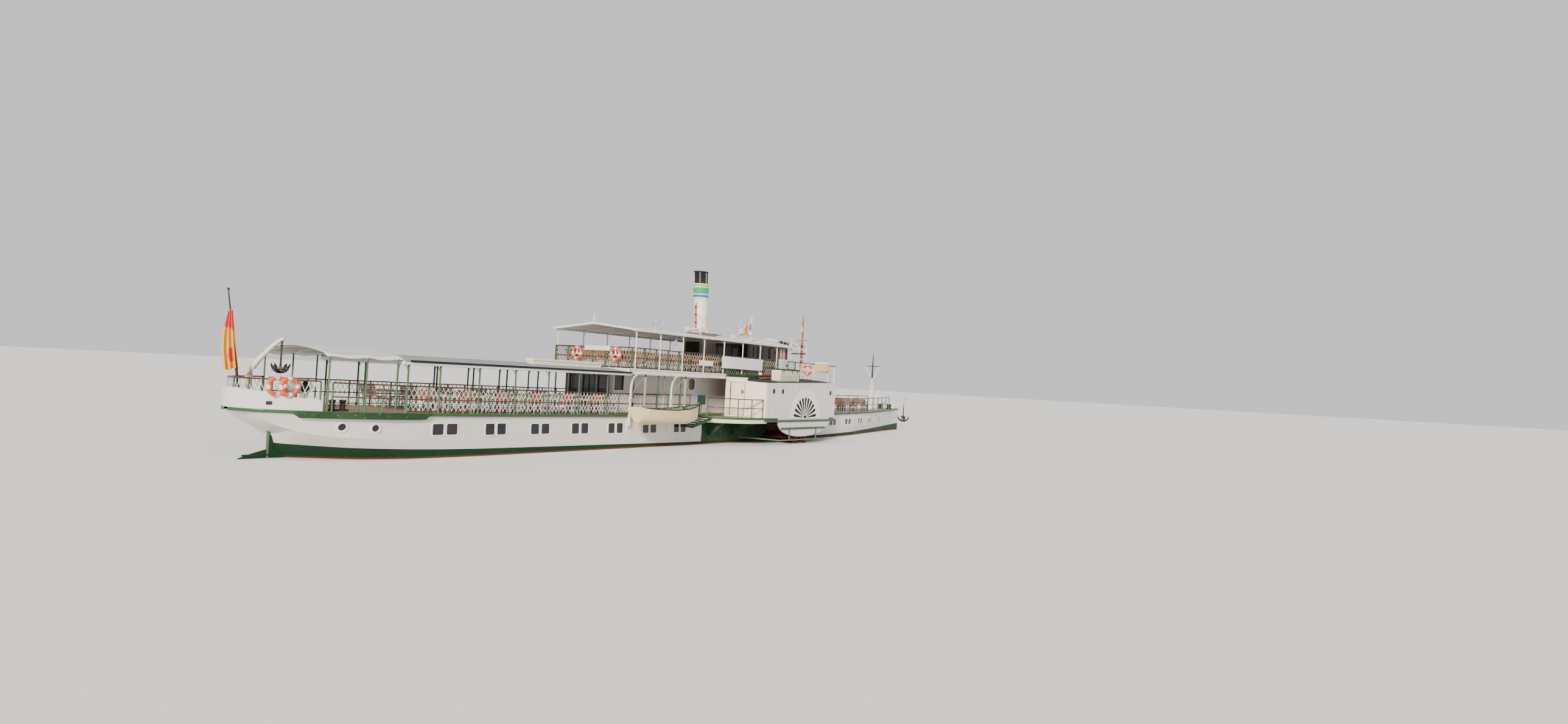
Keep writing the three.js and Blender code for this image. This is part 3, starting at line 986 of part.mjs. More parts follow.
// Cross benches in pairs at the awning posts with tables between, and one bench a half bay on the sundeck
const pairPosts = mainPosts.slice(0, 6);
const benchShift = 0.10;
const aftSeatEnds = [pairPosts[0] + benchShift, pairPosts[5] + benchShift + bench.deep];
const aftSeatStations = [aftSeatEnds[0],
  ...stations.filter((x) => x > aftSeatEnds[0] && x < aftSeatEnds[1]), aftSeatEnds[1]];
const sundeckBenches = Array.from({ length: 9 }, (_, i) => -9.38 + i * postSpacing / 2);
for (const [label, side] of [['starboard', -1], ['port', 1]]) {
  const [y0, y1] = side > 0 ? [benchInner, benchOuter] : [-benchOuter, -benchInner];
  const aft = footStrips(aftSeatStations, y0, y1, deckZ);
  pairPosts.forEach((post, i) => {
    aft.push(...crossBench(post + benchShift, y0, y1,
      standOn(post + benchShift, post + benchShift + bench.deep), 1));
    if (i === 0) return;
    aft.push(...crossBench(post - benchShift, y0, y1,
      standOn(post - benchShift - bench.deep, post - benchShift), -1));
    aft.push(...deckTable(post - postSpacing / 2, y0, y1,
      standOn(post - postSpacing / 2 - 0.1, post - postSpacing / 2 + 0.1)));
  });
  place(`aft_seat_${label}`, join(aft), wood, 0.7);
  const upper = footStrips([sundeckBenches[0], sundeckBenches[8] + bench.deep], y0, y1, sundeckBase);
  for (const x of sundeckBenches) upper.push(...crossBench(x, y0, y1, sundeckTop + gap, 1));
  place(`sundeck_seat_${label}`, join(upper), wood, 0.7);
}

export default ship;
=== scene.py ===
import bpy
import bmesh
import math
from mathutils import Matrix, Vector


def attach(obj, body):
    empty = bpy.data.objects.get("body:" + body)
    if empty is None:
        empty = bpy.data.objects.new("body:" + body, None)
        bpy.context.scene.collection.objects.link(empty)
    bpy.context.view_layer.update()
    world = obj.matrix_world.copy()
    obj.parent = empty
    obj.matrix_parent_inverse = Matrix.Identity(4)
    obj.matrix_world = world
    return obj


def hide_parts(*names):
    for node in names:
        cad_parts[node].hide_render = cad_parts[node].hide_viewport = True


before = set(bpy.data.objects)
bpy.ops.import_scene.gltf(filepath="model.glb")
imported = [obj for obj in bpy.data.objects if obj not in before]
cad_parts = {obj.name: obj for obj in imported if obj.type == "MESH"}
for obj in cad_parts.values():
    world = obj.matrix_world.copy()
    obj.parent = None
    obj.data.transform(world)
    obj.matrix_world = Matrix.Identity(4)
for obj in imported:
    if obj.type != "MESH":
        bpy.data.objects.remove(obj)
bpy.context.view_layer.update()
print("frame loaded,", len(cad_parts), "nodes")

# Lengths below are metres of the full-size vessel, the model is half of that
shipScale = 0.5

# Shapes: each adds faces to a bmesh, look is the number of its finish


def addBox(shape, x0, x1, y0, y1, z0, z1, look=0):
    corners = [shape.verts.new((x, y, z)) for x in (x0, x1) for y in (y0, y1) for z in (z0, z1)]
    for ring in ((0, 1, 3, 2), (4, 6, 7, 5), (0, 4, 5, 1), (2, 3, 7, 6), (0, 2, 6, 4), (1, 5, 7, 3)):
        shape.faces.new([corners[i] for i in ring]).material_index = look
    return corners


def addBlock(shape, corners, look=0):
    # six faces on eight corners, four of one end and then four of the other
    verts = [shape.verts.new(p) for p in corners]
    for ring in ((0, 1, 2, 3), (4, 7, 6, 5), (0, 4, 5, 1), (1, 5, 6, 2), (2, 6, 7, 3), (3, 7, 4, 0)):
        shape.faces.new([verts[i] for i in ring]).material_index = look


def addRings(shape, rings, look=0, closed=True, caps=True, looksByRow=None):
    # skin through equal rows of points; closed joins each row's ends
    rows = [[shape.verts.new(p) for p in ring] for ring in rings]
    count = len(rows[0])
    for r in range(len(rows) - 1):
        for i in range(count if closed else count - 1):
            j = (i + 1) % count
            face = shape.faces.new((rows[r][i], rows[r][j], rows[r + 1][j], rows[r + 1][i]))
            face.material_index = looksByRow(r, i) if looksByRow else look
    if caps and closed:
        shape.faces.new(rows[0]).material_index = look
        shape.faces.new(rows[-1][::-1]).material_index = look
    return rows


def addBar(shape, points, radius, sides=6, look=0, closed=False):
    spots = [Vector(p) for p in points]
    rings = []
    for i, spot in enumerate(spots):
        if closed:
            along = spots[(i + 1) % len(spots)] - spots[i - 1]
        else:
            along = spots[min(i + 1, len(spots) - 1)] - spots[max(i - 1, 0)]
        along.normalize()
        up = Vector((1, 0, 0)) if abs(along.z) > 0.9 else Vector((0, 0, 1))
        side = along.cross(up).normalized()
        top = side.cross(along)
        r = radius[i] if isinstance(radius, (list, tuple)) else radius
        rings.append([spot + side * r * math.cos(2 * math.pi * (k + 0.5) / sides)
            + top * r * math.sin(2 * math.pi * (k + 0.5) / sides) for k in range(sides)])
    if closed:
        rings.append(rings[0])
    addRings(shape, rings, look, caps=not closed)


def onAxis(spot, axis, u, v, w):
    # point beside spot: w runs along the axis, u and v across it
    x, y, z = {"x": (w, u, v), "y": (u, w, v), "z": (u, v, w)}[axis]
    return spot[0] + x, spot[1] + y, spot[2] + z


def addTurned(shape, profile, spot, axis="z", sides=20, look=0, looksByRow=None):
    rings = []
    for r, h in profile:
        ring = []
        for k in range(sides):
            turn = 2 * math.pi * k / sides
            ring.append(onAxis(spot, axis, r * math.cos(turn), r * math.sin(turn), h))
        rings.append(ring)
    addRings(shape, rings, look, looksByRow=looksByRow)


def addPlate(shape, outline, plane, low, high, look=0):
    # flat outline pushed along the third axis, as in the frame's own pieces
    def lift(u, v, w):
        return {"xy": (u, v, w), "xz": (u, w, v), "yz": (w, u, v)}[plane]
    addRings(shape, [[lift(u, v, w) for u, v in outline] for w in (low, high)], look)


def addTorus(shape, centre, big, small, axis="y", looks=(0, 1), parts=4, sides=32, rounds=10, tape=0.16):
    # ring with bands of the second look at equal places
    rings = []
    for k in range(sides):
        turn = 2 * math.pi * k / sides
        ring = []
        for m in range(rounds):
            roll = 2 * math.pi * m / rounds
            r = big + small * math.cos(roll)
            ring.append(onAxis(centre, axis, r * math.cos(turn), r * math.sin(turn), small * math.sin(roll)))
        rings.append(ring)
    rings.append(rings[0])

    def banded(row, _):
        share = (row / sides * parts + 0.5) % 1
        return looks[1] if abs(share - 0.5) < tape else looks[0]
    addRings(shape, rings, caps=False, looksByRow=banded)


def finishPiece(name, shape, looks, body="ship", smooth=32, bevel=0.0, stands=()):
    bmesh.ops.remove_doubles(shape, verts=shape.verts, dist=1e-5)
    bmesh.ops.recalc_face_normals(shape, faces=shape.faces)
    bmesh.ops.scale(shape, vec=(shipScale,) * 3, verts=shape.verts)
    mesh = bpy.data.meshes.new(name)
    shape.to_mesh(mesh)
    shape.free()
    for look in looks:
        mesh.materials.append(look)
    if smooth:
        mesh.shade_smooth()
        mesh.set_sharp_from_angle(angle=math.radians(smooth))
    piece = bpy.data.objects.new(name, mesh)
    bpy.context.scene.collection.objects.link(piece)
    if bevel:
        edge = piece.modifiers.new("edge", "BEVEL")
        edge.width = bevel * shipScale
        edge.segments = 2
        edge.limit_method = "ANGLE"
        edge.angle_limit = math.radians(40)
    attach(piece, body)
    if stands:
        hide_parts(*stands)
    return piece


def rowAt(table, x, smooth=True):
    # row of a table at any x: rows are tuples starting with x
    if x <= table[0][0]:
        return table[0][1:]
    if x >= table[-1][0]:
        return table[-1][1:]
    i = next(k for k in range(len(table) - 1) if table[k + 1][0] >= x)
    a, b = table[i], table[i + 1]
    span = b[0] - a[0]
    t = (x - a[0]) / span
    out = []
    for c in range(1, len(a)):
        rise = (b[c] - a[c]) / span
        if not smooth:
            out.append(a[c] + (b[c] - a[c]) * t)
            continue

        def slope(k):
            if k <= 0 or k >= len(table) - 1:
                return rise
            before = (table[k][c] - table[k - 1][c]) / (table[k][0] - table[k - 1][0])
            after = (table[k + 1][c] - table[k][c]) / (table[k + 1][0] - table[k][0])
            return 0 if before * after <= 0 else 2 * before * after / (before + after)
        m0, m1 = slope(i), slope(i + 1)
        out.append((2 * t**3 - 3 * t**2 + 1) * a[c] + (t**3 - 2 * t**2 + t) * span * m0
            + (3 * t**2 - 2 * t**3) * b[c] + (t**3 - t**2) * span * m1)
    return out


def span(low, high, step):
    count = max(1, round((high - low) / step))
    return [low + (high - low) * k / count for k in range(count + 1)]


def sideSpan(side, near, far):
    # lowest and highest y of a stretch on one side of the ship
    return sorted((side * near, side * far))


# Finishes, all of them procedural


def finish(name, color, second=None, rough=0.45, metal=0.0, patch=1.6, patchAmount=0.5, grit=90, bump=0.12,
        dirt=None, dirtAmount=0.0, streak=0.0, wear=None, wearAmount=0.0, coat=0.0, sheen=0.0, boards=None,
        weave=0.0, shine=0.5):
    # color and second are mixed in soft patches; dirt runs down in streaks; wear shows in small chips
    material = bpy.data.materials.new(name)
    material.use_nodes = True
    tree = material.node_tree
    nodes, links = tree.nodes, tree.links
    shader = nodes["Principled BSDF"]
    shader.inputs["Specular IOR Level"].default_value = shine
    place = nodes.new("ShaderNodeTexCoord").outputs["Object"]

    def noise(scale, detail=5.0, source=None, stretch=None):
        node = nodes.new("ShaderNodeTexNoise")
        node.inputs["Scale"].default_value = scale
        node.inputs["Detail"].default_value = detail
        if stretch:
            move = nodes.new("ShaderNodeMapping")
            move.inputs["Scale"].default_value = stretch
            links.new(source or place, move.inputs["Vector"])
            links.new(move.outputs["Vector"], node.inputs["Vector"])
        else:
            links.new(source or place, node.inputs["Vector"])
        return node.outputs["Fac"]

    def ramp(value, low, high, top=1.0):
        node = nodes.new("ShaderNodeMapRange")
        node.inputs["From Min"].default_value = low
        node.inputs["From Max"].default_value = high
        node.inputs["To Max"].default_value = top
        links.new(value, node.inputs["Value"])
        return node.outputs["Result"]

    def mix(factor, a, b):
        node = nodes.new("ShaderNodeMix")
        node.data_type = "RGBA"
        if isinstance(factor, (int, float)):
            node.inputs["Factor"].default_value = factor
        else:
            links.new(factor, node.inputs["Factor"])
        for socket, value in ((node.inputs[6], a), (node.inputs[7], b)):
            if isinstance(value, (tuple, list)):
                socket.default_value = (*value[:3], 1)
            else:
                links.new(value, socket)
        return node.outputs[2]

    tone = mix(ramp(noise(patch), 0.35, 0.68, patchAmount), color, second or tuple(c * 0.82 for c in color))
    height = noise(grit, 3.0)
    if boards:
        # planks along one axis: width, axis, and how dark the seam is
        cut = nodes.new("ShaderNodeTexWave")
        cut.wave_type = "BANDS"
        cut.bands_direction = boards["across"]
        cut.inputs["Scale"].default_value = math.pi / 10 / (boards["width"] * shipScale)
        cut.inputs["Distortion"].default_value = 0.0
        links.new(place, cut.inputs["Vector"])
        seam = ramp(cut.outputs["Fac"], 0.0, boards.get("thin", 0.06), 1.0)
        tone = mix(seam, tuple(c * boards.get("dark", 0.45) for c in color), tone)
        grain = noise(18, 6.0, stretch=boards.get("grain", (0.15, 3, 3)))
        tone = mix(ramp(grain, 0.35, 0.75, boards.get("grainAmount", 0.35)), tone,
            tuple(c * 0.6 for c in color))
        height = seam
    if streak:
        runs = noise(7, 5.0, stretch=(2.2, 2.2, 0.12))
        tone = mix(ramp(runs, 0.55, 0.8, streak), tone, dirt or (0.25, 0.2, 0.14))
    if dirtAmount:
        tone = mix(ramp(noise(3.4, 8.0), 0.5, 0.78, dirtAmount), tone, dirt or (0.25, 0.2, 0.14))
    if wear:
        tone = mix(ramp(noise(26, 6.0), 0.66, 0.7, wearAmount), tone, wear)
    links.new(tone, shader.inputs["Base Color"])
    spread = nodes.new("ShaderNodeMapRange")
    links.new(noise(5.0, 6.0), spread.inputs["Value"])
    spread.inputs["From Min"].default_value = 0.25
    spread.inputs["From Max"].default_value = 0.75
    spread.inputs["To Min"].default_value = max(rough - 0.1, 0.02)
    spread.inputs["To Max"].default_value = min(rough + 0.12, 1.0)
    links.new(spread.outputs["Result"], shader.inputs["Roughness"])
    shader.inputs["Metallic"].default_value = metal
    if coat:
        shader.inputs["Coat Weight"].default_value = coat
        shader.inputs["Coat Roughness"].default_value = 0.12
    if sheen:
        shader.inputs["Sheen Weight"].default_value = sheen
    if weave:
        threads = nodes.new("ShaderNodeTexWave")
        threads.inputs["Scale"].default_value = 60
        threads.inputs["Distortion"].default_value = 1.5
        links.new(place, threads.inputs["Vector"])
        height = threads.outputs["Fac"]
    raised = nodes.new("ShaderNodeBump")
    raised.inputs["Strength"].default_value = max(bump, weave)
    raised.inputs["Distance"].default_value = 0.004
    links.new(height, raised.inputs["Height"])
    links.new(raised.outputs["Normal"], shader.inputs["Normal"])
    return material


finishMakeup = {
    "hullWhite": dict(color=(0.7, 0.68, 0.67), second=(0.62, 0.59, 0.57), rough=0.38, streak=0.22,
        dirtAmount=0.12, dirt=(0.33, 0.28, 0.22), patch=0.7),
    "creamPaint": dict(color=(0.84, 0.76, 0.62), second=(0.78, 0.69, 0.55), rough=0.45, streak=0.12,
        dirt=(0.45, 0.36, 0.22)),
    "white": dict(color=(0.76, 0.75, 0.73), second=(0.68, 0.66, 0.63), rough=0.42, streak=0.14,
        dirt=(0.35, 0.3, 0.24)),
    "trimWhite": dict(color=(0.82, 0.8, 0.76), second=(0.73, 0.7, 0.65), rough=0.4, dirtAmount=0.18,
        dirt=(0.38, 0.31, 0.22)),
    "darkGreen": dict(color=(0.016, 0.05, 0.02), second=(0.026, 0.07, 0.028), rough=0.42, shine=0.2,
        dirtAmount=0.35, dirt=(0.1, 0.13, 0.09), wear=(0.32, 0.34, 0.28), wearAmount=0.55),
    "edgeGreen": dict(color=(0.03, 0.088, 0.036), second=(0.042, 0.112, 0.048), rough=0.4, shine=0.25,
        dirtAmount=0.2, dirt=(0.08, 0.1, 0.06), wear=(0.3, 0.34, 0.27), wearAmount=0.3),
    "postGreen": dict(color=(0.07, 0.125, 0.065), second=(0.048, 0.095, 0.045), rough=0.38, shine=0.3,
        dirtAmount=0.15, dirt=(0.1, 0.12, 0.08)),
    "bootGreen": dict(color=(0.01, 0.042, 0.017), second=(0.014, 0.028, 0.015), rough=0.5, shine=0.1,
        streak=0.3, dirt=(0.05, 0.06, 0.04), patch=1.2),
    "bottomRed": dict(color=(0.17, 0.035, 0.022), second=(0.1, 0.022, 0.016), rough=0.6, shine=0.2,
        dirtAmount=0.5, dirt=(0.06, 0.05, 0.03)),
    "handrail": dict(color=(0.085, 0.022, 0.017), second=(0.045, 0.014, 0.012), rough=0.35, shine=0.2,
        bump=0.2, coat=0.4, patch=4),
    "slats": dict(color=(0.33, 0.135, 0.075), second=(0.22, 0.085, 0.05), rough=0.42, patch=5, bump=0.25,
        coat=0.25, wear=(0.5, 0.3, 0.18), wearAmount=0.25),
    # slats of the forward sundeck seats: the darker red is painted shade under the canopy
    "slatsInShade": dict(color=(0.23, 0.045, 0.03), second=(0.14, 0.03, 0.022), rough=0.42, patch=5,
        bump=0.25, coat=0.25),
    "iron": dict(color=(0.028, 0.028, 0.03), second=(0.055, 0.05, 0.047), rough=0.5, shine=0.2,
        metal=0.4, dirtAmount=0.3, dirt=(0.1, 0.06, 0.035), bump=0.3),
    "gutterBlack": dict(color=(0.012, 0.012, 0.013), second=(0.03, 0.03, 0.03), rough=0.4, shine=0.15),
    "canvas": dict(color=(0.43, 0.43, 0.39), second=(0.35, 0.35, 0.31), rough=0.85, sheen=0.3,
        weave=0.25, patch=1.2, dirtAmount=0.2, dirt=(0.28, 0.27, 0.22)),
    "canopyWhite": dict(color=(0.66, 0.66, 0.66), second=(0.55, 0.55, 0.56), rough=0.7, patch=0.9,
        dirtAmount=0.2, dirt=(0.36, 0.34, 0.29)),
    "roofGrey": dict(color=(0.27, 0.285, 0.3), second=(0.2, 0.21, 0.22), rough=0.7, dirtAmount=0.4,
        dirt=(0.2, 0.18, 0.14), bump=0.3),
    "casingGrey": dict(color=(0.26, 0.225, 0.185), second=(0.21, 0.18, 0.15), rough=0.5, streak=0.25,
        dirt=(0.16, 0.13, 0.09)),
    "glass": dict(color=(0.01, 0.011, 0.013), second=(0.022, 0.023, 0.026), rough=0.08, bump=0.02,
        patch=2.5),
    "darkWood": dict(color=(0.04, 0.02, 0.016), second=(0.065, 0.032, 0.025), rough=0.32, shine=0.25,
        bump=0.2, coat=0.5, patch=5),
    "redWood": dict(color=(0.16, 0.018, 0.016), second=(0.1, 0.014, 0.012), rough=0.32, bump=0.2,
        coat=0.4, patch=5),
    "mastWood": dict(color=(0.27, 0.075, 0.035), second=(0.16, 0.045, 0.024), rough=0.38, shine=0.25,
        bump=0.25, coat=0.4, patch=3),
    "buoyOrange": dict(color=(0.8, 0.095, 0.035), second=(0.7, 0.07, 0.03), rough=0.5, dirtAmount=0.2,
        dirt=(0.4, 0.09, 0.05)),
    "buoyWhite": dict(color=(0.78, 0.77, 0.74), second=(0.66, 0.65, 0.62), rough=0.5),
    "boatCream": dict(color=(0.72, 0.6, 0.37), second=(0.64, 0.52, 0.31), rough=0.42, dirtAmount=0.3,
        dirt=(0.42, 0.33, 0.16), streak=0.15),
    "wheelRed": dict(color=(0.3, 0.016, 0.018), second=(0.18, 0.014, 0.014), rough=0.35, shine=0.3,
        dirtAmount=0.4, dirt=(0.06, 0.04, 0.03), bump=0.3),
    "pipeRed": dict(color=(0.46, 0.12, 0.1), second=(0.38, 0.09, 0.075), rough=0.45, dirtAmount=0.2,
        dirt=(0.2, 0.1, 0.08)),
    "funnelCream": dict(color=(0.8, 0.75, 0.66), second=(0.74, 0.68, 0.58), rough=0.42, streak=0.16,
        dirt=(0.42, 0.33, 0.22)),
    "sootBlack": dict(color=(0.012, 0.012, 0.012), second=(0.035, 0.032, 0.03), rough=0.6, shine=0.12,
        streak=0.25, dirt=(0.08, 0.06, 0.045)),
    "bandLime": dict(color=(0.19, 0.58, 0.05), second=(0.17, 0.52, 0.05), rough=0.35),
    "bandGreen": dict(color=(0.02, 0.36, 0.13), second=(0.018, 0.32, 0.11), rough=0.35),
    "bandBlue": dict(color=(0.008, 0.15, 0.5), second=(0.008, 0.13, 0.44), rough=0.35),
    "deckPlanks": dict(color=(0.36, 0.27, 0.19), second=(0.27, 0.2, 0.145), rough=0.7,
        boards={"across": "Y", "width": 0.14, "grain": (0.12, 3, 3)}),
    "boxBoards": dict(color=(0.66, 0.635, 0.635), second=(0.6, 0.575, 0.575), rough=0.48, streak=0.2,
        patch=0.9, dirt=(0.36, 0.32, 0.27),
        boards={"across": "X", "width": 0.62, "thin": 0.012, "dark": 0.62, "grain": (3, 3, 0.2),
            "grainAmount": 0.1}),
    "wallBoards": dict(color=(0.6, 0.585, 0.565), second=(0.53, 0.51, 0.49), rough=0.5, streak=0.15,
        patch=0.9, dirt=(0.36, 0.32, 0.27),
        boards={"across": "X", "width": 0.18, "thin": 0.05, "dark": 0.72, "grain": (3, 3, 0.2),
            "grainAmount": 0.1}),
    "chestPaint": dict(color=(0.55, 0.57, 0.46), second=(0.48, 0.5, 0.4), rough=0.5, dirtAmount=0.2,
        dirt=(0.3, 0.28, 0.2)),
    "brass": dict(color=(0.55, 0.36, 0.12), second=(0.42, 0.27, 0.1), rough=0.3, metal=0.9),
    "machineGrey": dict(color=(0.22, 0.21, 0.19), second=(0.15, 0.14, 0.12), rough=0.45, metal=0.6),
    "flagRed": dict(color=(0.78, 0.045, 0.025), second=(0.62, 0.03, 0.02), rough=0.8, sheen=0.3,
        weave=0.2),
    "flagGold": dict(color=(0.88, 0.42, 0.02), second=(0.74, 0.31, 0.015), rough=0.8, sheen=0.3,
        weave=0.2),
    "clothBlue": dict(color=(0.1, 0.22, 0.62), second=(0.08, 0.18, 0.5), rough=0.8, sheen=0.3, weave=0.2),
    "clothWhite": dict(color=(0.74, 0.76, 0.8), second=(0.62, 0.64, 0.7), rough=0.8, sheen=0.3,
        weave=0.2),
    "clothYellow": dict(color=(0.78, 0.5, 0.06), second=(0.66, 0.38, 0.05), rough=0.8, sheen=0.3,
        weave=0.2),
    "rope": dict(color=(0.52, 0.46, 0.33), second=(0.4, 0.34, 0.23), rough=0.85, bump=0.5, grit=160),
    "deckDark": dict(color=(0.03, 0.034, 0.034), second=(0.05, 0.05, 0.045), rough=0.75, shine=0.15,
        patch=2),
    "brownSlats": dict(color=(0.13, 0.055, 0.045), second=(0.2, 0.09, 0.07), rough=0.5, patch=5),
    "rollRed": dict(color=(0.42, 0.05, 0.05), second=(0.3, 0.03, 0.035), rough=0.85, patch=8),
    "guardGreen": dict(color=(0.075, 0.145, 0.08), second=(0.1, 0.13, 0.08), rough=0.45, shine=0.2,
        patch=3),
    "wheelWood": dict(color=(0.1, 0.012, 0.012), second=(0.05, 0.01, 0.01), rough=0.6, shine=0.2,
        patch=4),
    "drumGreen": dict(color=(0.26, 0.5, 0.38), second=(0.2, 0.42, 0.31), rough=0.4, patch=3),
    "boatGreen": dict(color=(0.16, 0.3, 0.15), second=(0.12, 0.24, 0.12), rough=0.5, patch=3),
    "latticeGrey": dict(color=(0.36, 0.37, 0.31), second=(0.28, 0.3, 0.24), rough=0.45, patch=3),
    "signBlue": dict(color=(0.34, 0.43, 0.58), second=(0.28, 0.36, 0.5), rough=0.45, patch=3),
    "boxBlue": dict(color=(0.012, 0.035, 0.12), second=(0.02, 0.05, 0.15), rough=0.45, shine=0.3,
        patch=3),
    "lockerYellow": dict(color=(0.72, 0.5, 0.2), second=(0.62, 0.42, 0.16), rough=0.5, patch=3),
    "cabinetGrey": dict(color=(0.5, 0.53, 0.55), second=(0.42, 0.45, 0.47), rough=0.4, patch=3),
    "curtain": dict(color=(0.42, 0.42, 0.41), second=(0.33, 0.33, 0.33), rough=0.3, patch=3),
    "lamp": dict(color=(0.82, 0.8, 0.72), second=(0.7, 0.68, 0.6), rough=0.3, coat=0.4),
    "woodTable": dict(color=(0.6, 0.47, 0.31), second=(0.5, 0.37, 0.23), rough=0.5, patch=4, coat=0.2),
    "floor": dict(color=(0.8, 0.8, 0.79), second=(0.78, 0.78, 0.77), rough=0.8, bump=0.0, patch=0.05),
}
looks = {name: finish(name, **made) for name, made in finishMakeup.items()}
print("finishes ready,", len(looks))


def pick(*names):
    return [looks[n] for n in names]


# Camera at the photograph's own angle

cameraMakeup = {
    "spot": (-21.31, -16.52, 1.95), "yaw": 32.69, "pitch": 1.22, "roll": 3.09, "focal": 1405.3,
    "imageWidth": 2576, "sensor": 36, "farthest": 500,
}


def setCamera(made):
    yaw, pitch, roll = (math.radians(made[k]) for k in ("yaw", "pitch", "roll"))
    ahead = Vector((math.cos(yaw) * math.cos(pitch), math.sin(yaw) * math.cos(pitch), math.sin(pitch)))
    level = Vector((math.sin(yaw), -math.cos(yaw), 0))
    top = level.cross(ahead)
    right = math.cos(roll) * level + math.sin(roll) * top
    up = -math.sin(roll) * level + math.cos(roll) * top
    lens = bpy.data.cameras.new("cameraLens")
    lens.sensor_width = made["sensor"]
    lens.lens = made["sensor"] * made["focal"] / made["imageWidth"]
    lens.clip_end = made["farthest"]
    camera = bpy.data.objects.new("camera", lens)
    turn = Matrix((right, up, -ahead)).transposed().to_4x4()
    camera.matrix_world = Matrix.Translation(made["spot"]) @ turn
    bpy.context.scene.collection.objects.link(camera)
    bpy.context.scene.camera = camera


setCamera(cameraMakeup)

# Hull skin

hullMakeup = {
    "deckEdge": [
        (-27.65, 0.12), (-27.58, 0.50), (-27.38, 0.90), (-26.95, 1.40), (-26.25, 1.92), (-25.4, 2.32),
        (-24.1, 2.70), (-22.5, 2.92), (-18.0, 2.97), (-8.0, 2.97), (4.0, 2.97), (11.0, 2.96),
        (14.0, 2.84), (17.0, 2.54), (20.0, 2.06), (22.5, 1.54), (24.5, 1.08), (26.3, 0.62), (27.6, 0.26),
        (28.2, 0.10)],
    # x, half breadth at the top, knuckle and its height, bilge and its height, floor and its height
    "frames": [
        (-27.58, 0.40, 0.30, 1.86, 0.20, 1.84, 0.10, 1.82),
        (-27.0, 1.26, 0.95, 1.55, 0.62, 1.45, 0.10, 1.40),
        (-26.3, 1.80, 1.45, 1.22, 0.80, 1.08, 0.10, 1.02),
        (-26.07, 1.91, 1.58, 1.15, 0.70, 0.99, 0.08, 0.95),
        (-25.9, 2.00, 1.68, 1.08, 0.50, 0.62, 0.05, 0.30),
        (-25.0, 2.36, 2.10, 0.92, 0.95, 0.20, 0.06, -0.25),
        (-23.6, 2.68, 2.58, 0.84, 1.85, -0.12, 0.30, -0.60),
        (-21.5, 2.84, 2.84, 0.80, 2.48, -0.30, 1.20, -0.76),
        (-18.0, 2.86, 2.90, 0.77, 2.78, -0.36, 2.10, -0.78),
        (-8.0, 2.86, 2.90, 0.70, 2.84, -0.40, 2.40, -0.78),
        (8.0, 2.86, 2.90, 0.70, 2.84, -0.40, 2.40, -0.78),
        (14.0, 2.76, 2.70, 0.75, 2.40, -0.38, 1.70, -0.78),
        (18.0, 2.30, 2.12, 0.81, 1.62, -0.34, 0.90, -0.76),
        (22.0, 1.56, 1.34, 0.88, 0.88, -0.30, 0.36, -0.74),
        (25.0, 0.86, 0.68, 0.94, 0.40, -0.28, 0.12, -0.70),
        (27.2, 0.32, 0.24, 0.98, 0.14, -0.24, 0.06, -0.62),
        (28.22, 0.08, 0.07, 1.00, 0.05, -0.20, 0.03, -0.50)],
    "bootTop": [
        (-27.6, 0.60), (-26.0, 0.57), (-24.0, 0.47), (-19.8, 0.34), (-12.0, 0.25), (-3.85, 0.17),
        (8.0, 0.20), (18.0, 0.34), (28.3, 0.60)],
    "redLine": 0.07,
    "wheelBay": (-3.95, 7.6),
    "deckThick": 0.12,
    "bottomRows": 9,
    "counter": -26.0,  # no boot top aft of it
}


def deckHalf(x):
    return rowAt(hullMakeup["deckEdge"], x)[0]


def deckZ(x):
    return 1.70 + 0.106 * (max(abs(x), 11) / 20) ** 2


def hullPath(x):
    # section from the deck down to the keel, with a rounded bilge
    top, knee, kneeZ, bilge, bilgeZ, floor, floorZ = rowAt(hullMakeup["frames"], x)
    high = Vector((top, deckZ(x) - hullMakeup["deckThick"]))
    turn, low, end = Vector((knee, kneeZ)), Vector((bilge, bilgeZ)), Vector((floor, floorZ))
    start, stop = turn.lerp(low, 0.5), low.lerp(end, 0.5)
    path = [high, turn]
    for k in range(7):
        t = k / 6
        path.append(start * (1 - t) ** 2 + low * 2 * t * (1 - t) + stop * t**2)
    return path + [end, Vector((0, floorZ))]


def pathAt(path, z):
    # point of a falling path at height z, and what is left below it
    for i in range(len(path) - 1):
        a, b = path[i], path[i + 1]
        if a.y >= z > b.y:
            spot = a.lerp(b, (a.y - z) / (a.y - b.y))
            return spot, [spot] + path[i + 1:]
    return (path[0], path) if z > path[0].y else (path[-2], path[-2:])


def hullSide(x, z):
    return pathAt(hullPath(x), z)[0].x


def shareOut(path, count):
    # equal steps along a path
    lengths = [0]
    for a, b in zip(path, path[1:]):
        lengths.append(lengths[-1] + (b - a).length)
    out = []
    for k in range(1, count + 1):
        goal = lengths[-1] * k / count
        i = next((j for j in range(len(path) - 1) if lengths[j + 1] >= goal - 1e-9), len(path) - 2)
        step = lengths[i + 1] - lengths[i]
        out.append(path[i].lerp(path[i + 1], (goal - lengths[i]) / step if step > 1e-9 else 1))
    return out


def hullRow(x):
    path = hullPath(x)
    boot = rowAt(hullMakeup["bootTop"], x)[0]
    kneeZ = path[1].y
    heights = [path[0].y, (path[0].y + kneeZ) / 2, kneeZ, (kneeZ + boot) / 2, boot,
        hullMakeup["redLine"], 0.0]
    row, rest = [], path
    for k, z in enumerate(heights):
        z = min(z, heights[k - 1]) if k else z
        spot, rest = pathAt(path, z)
        row.append(spot)
    row += shareOut(rest, hullMakeup["bottomRows"])
    return row


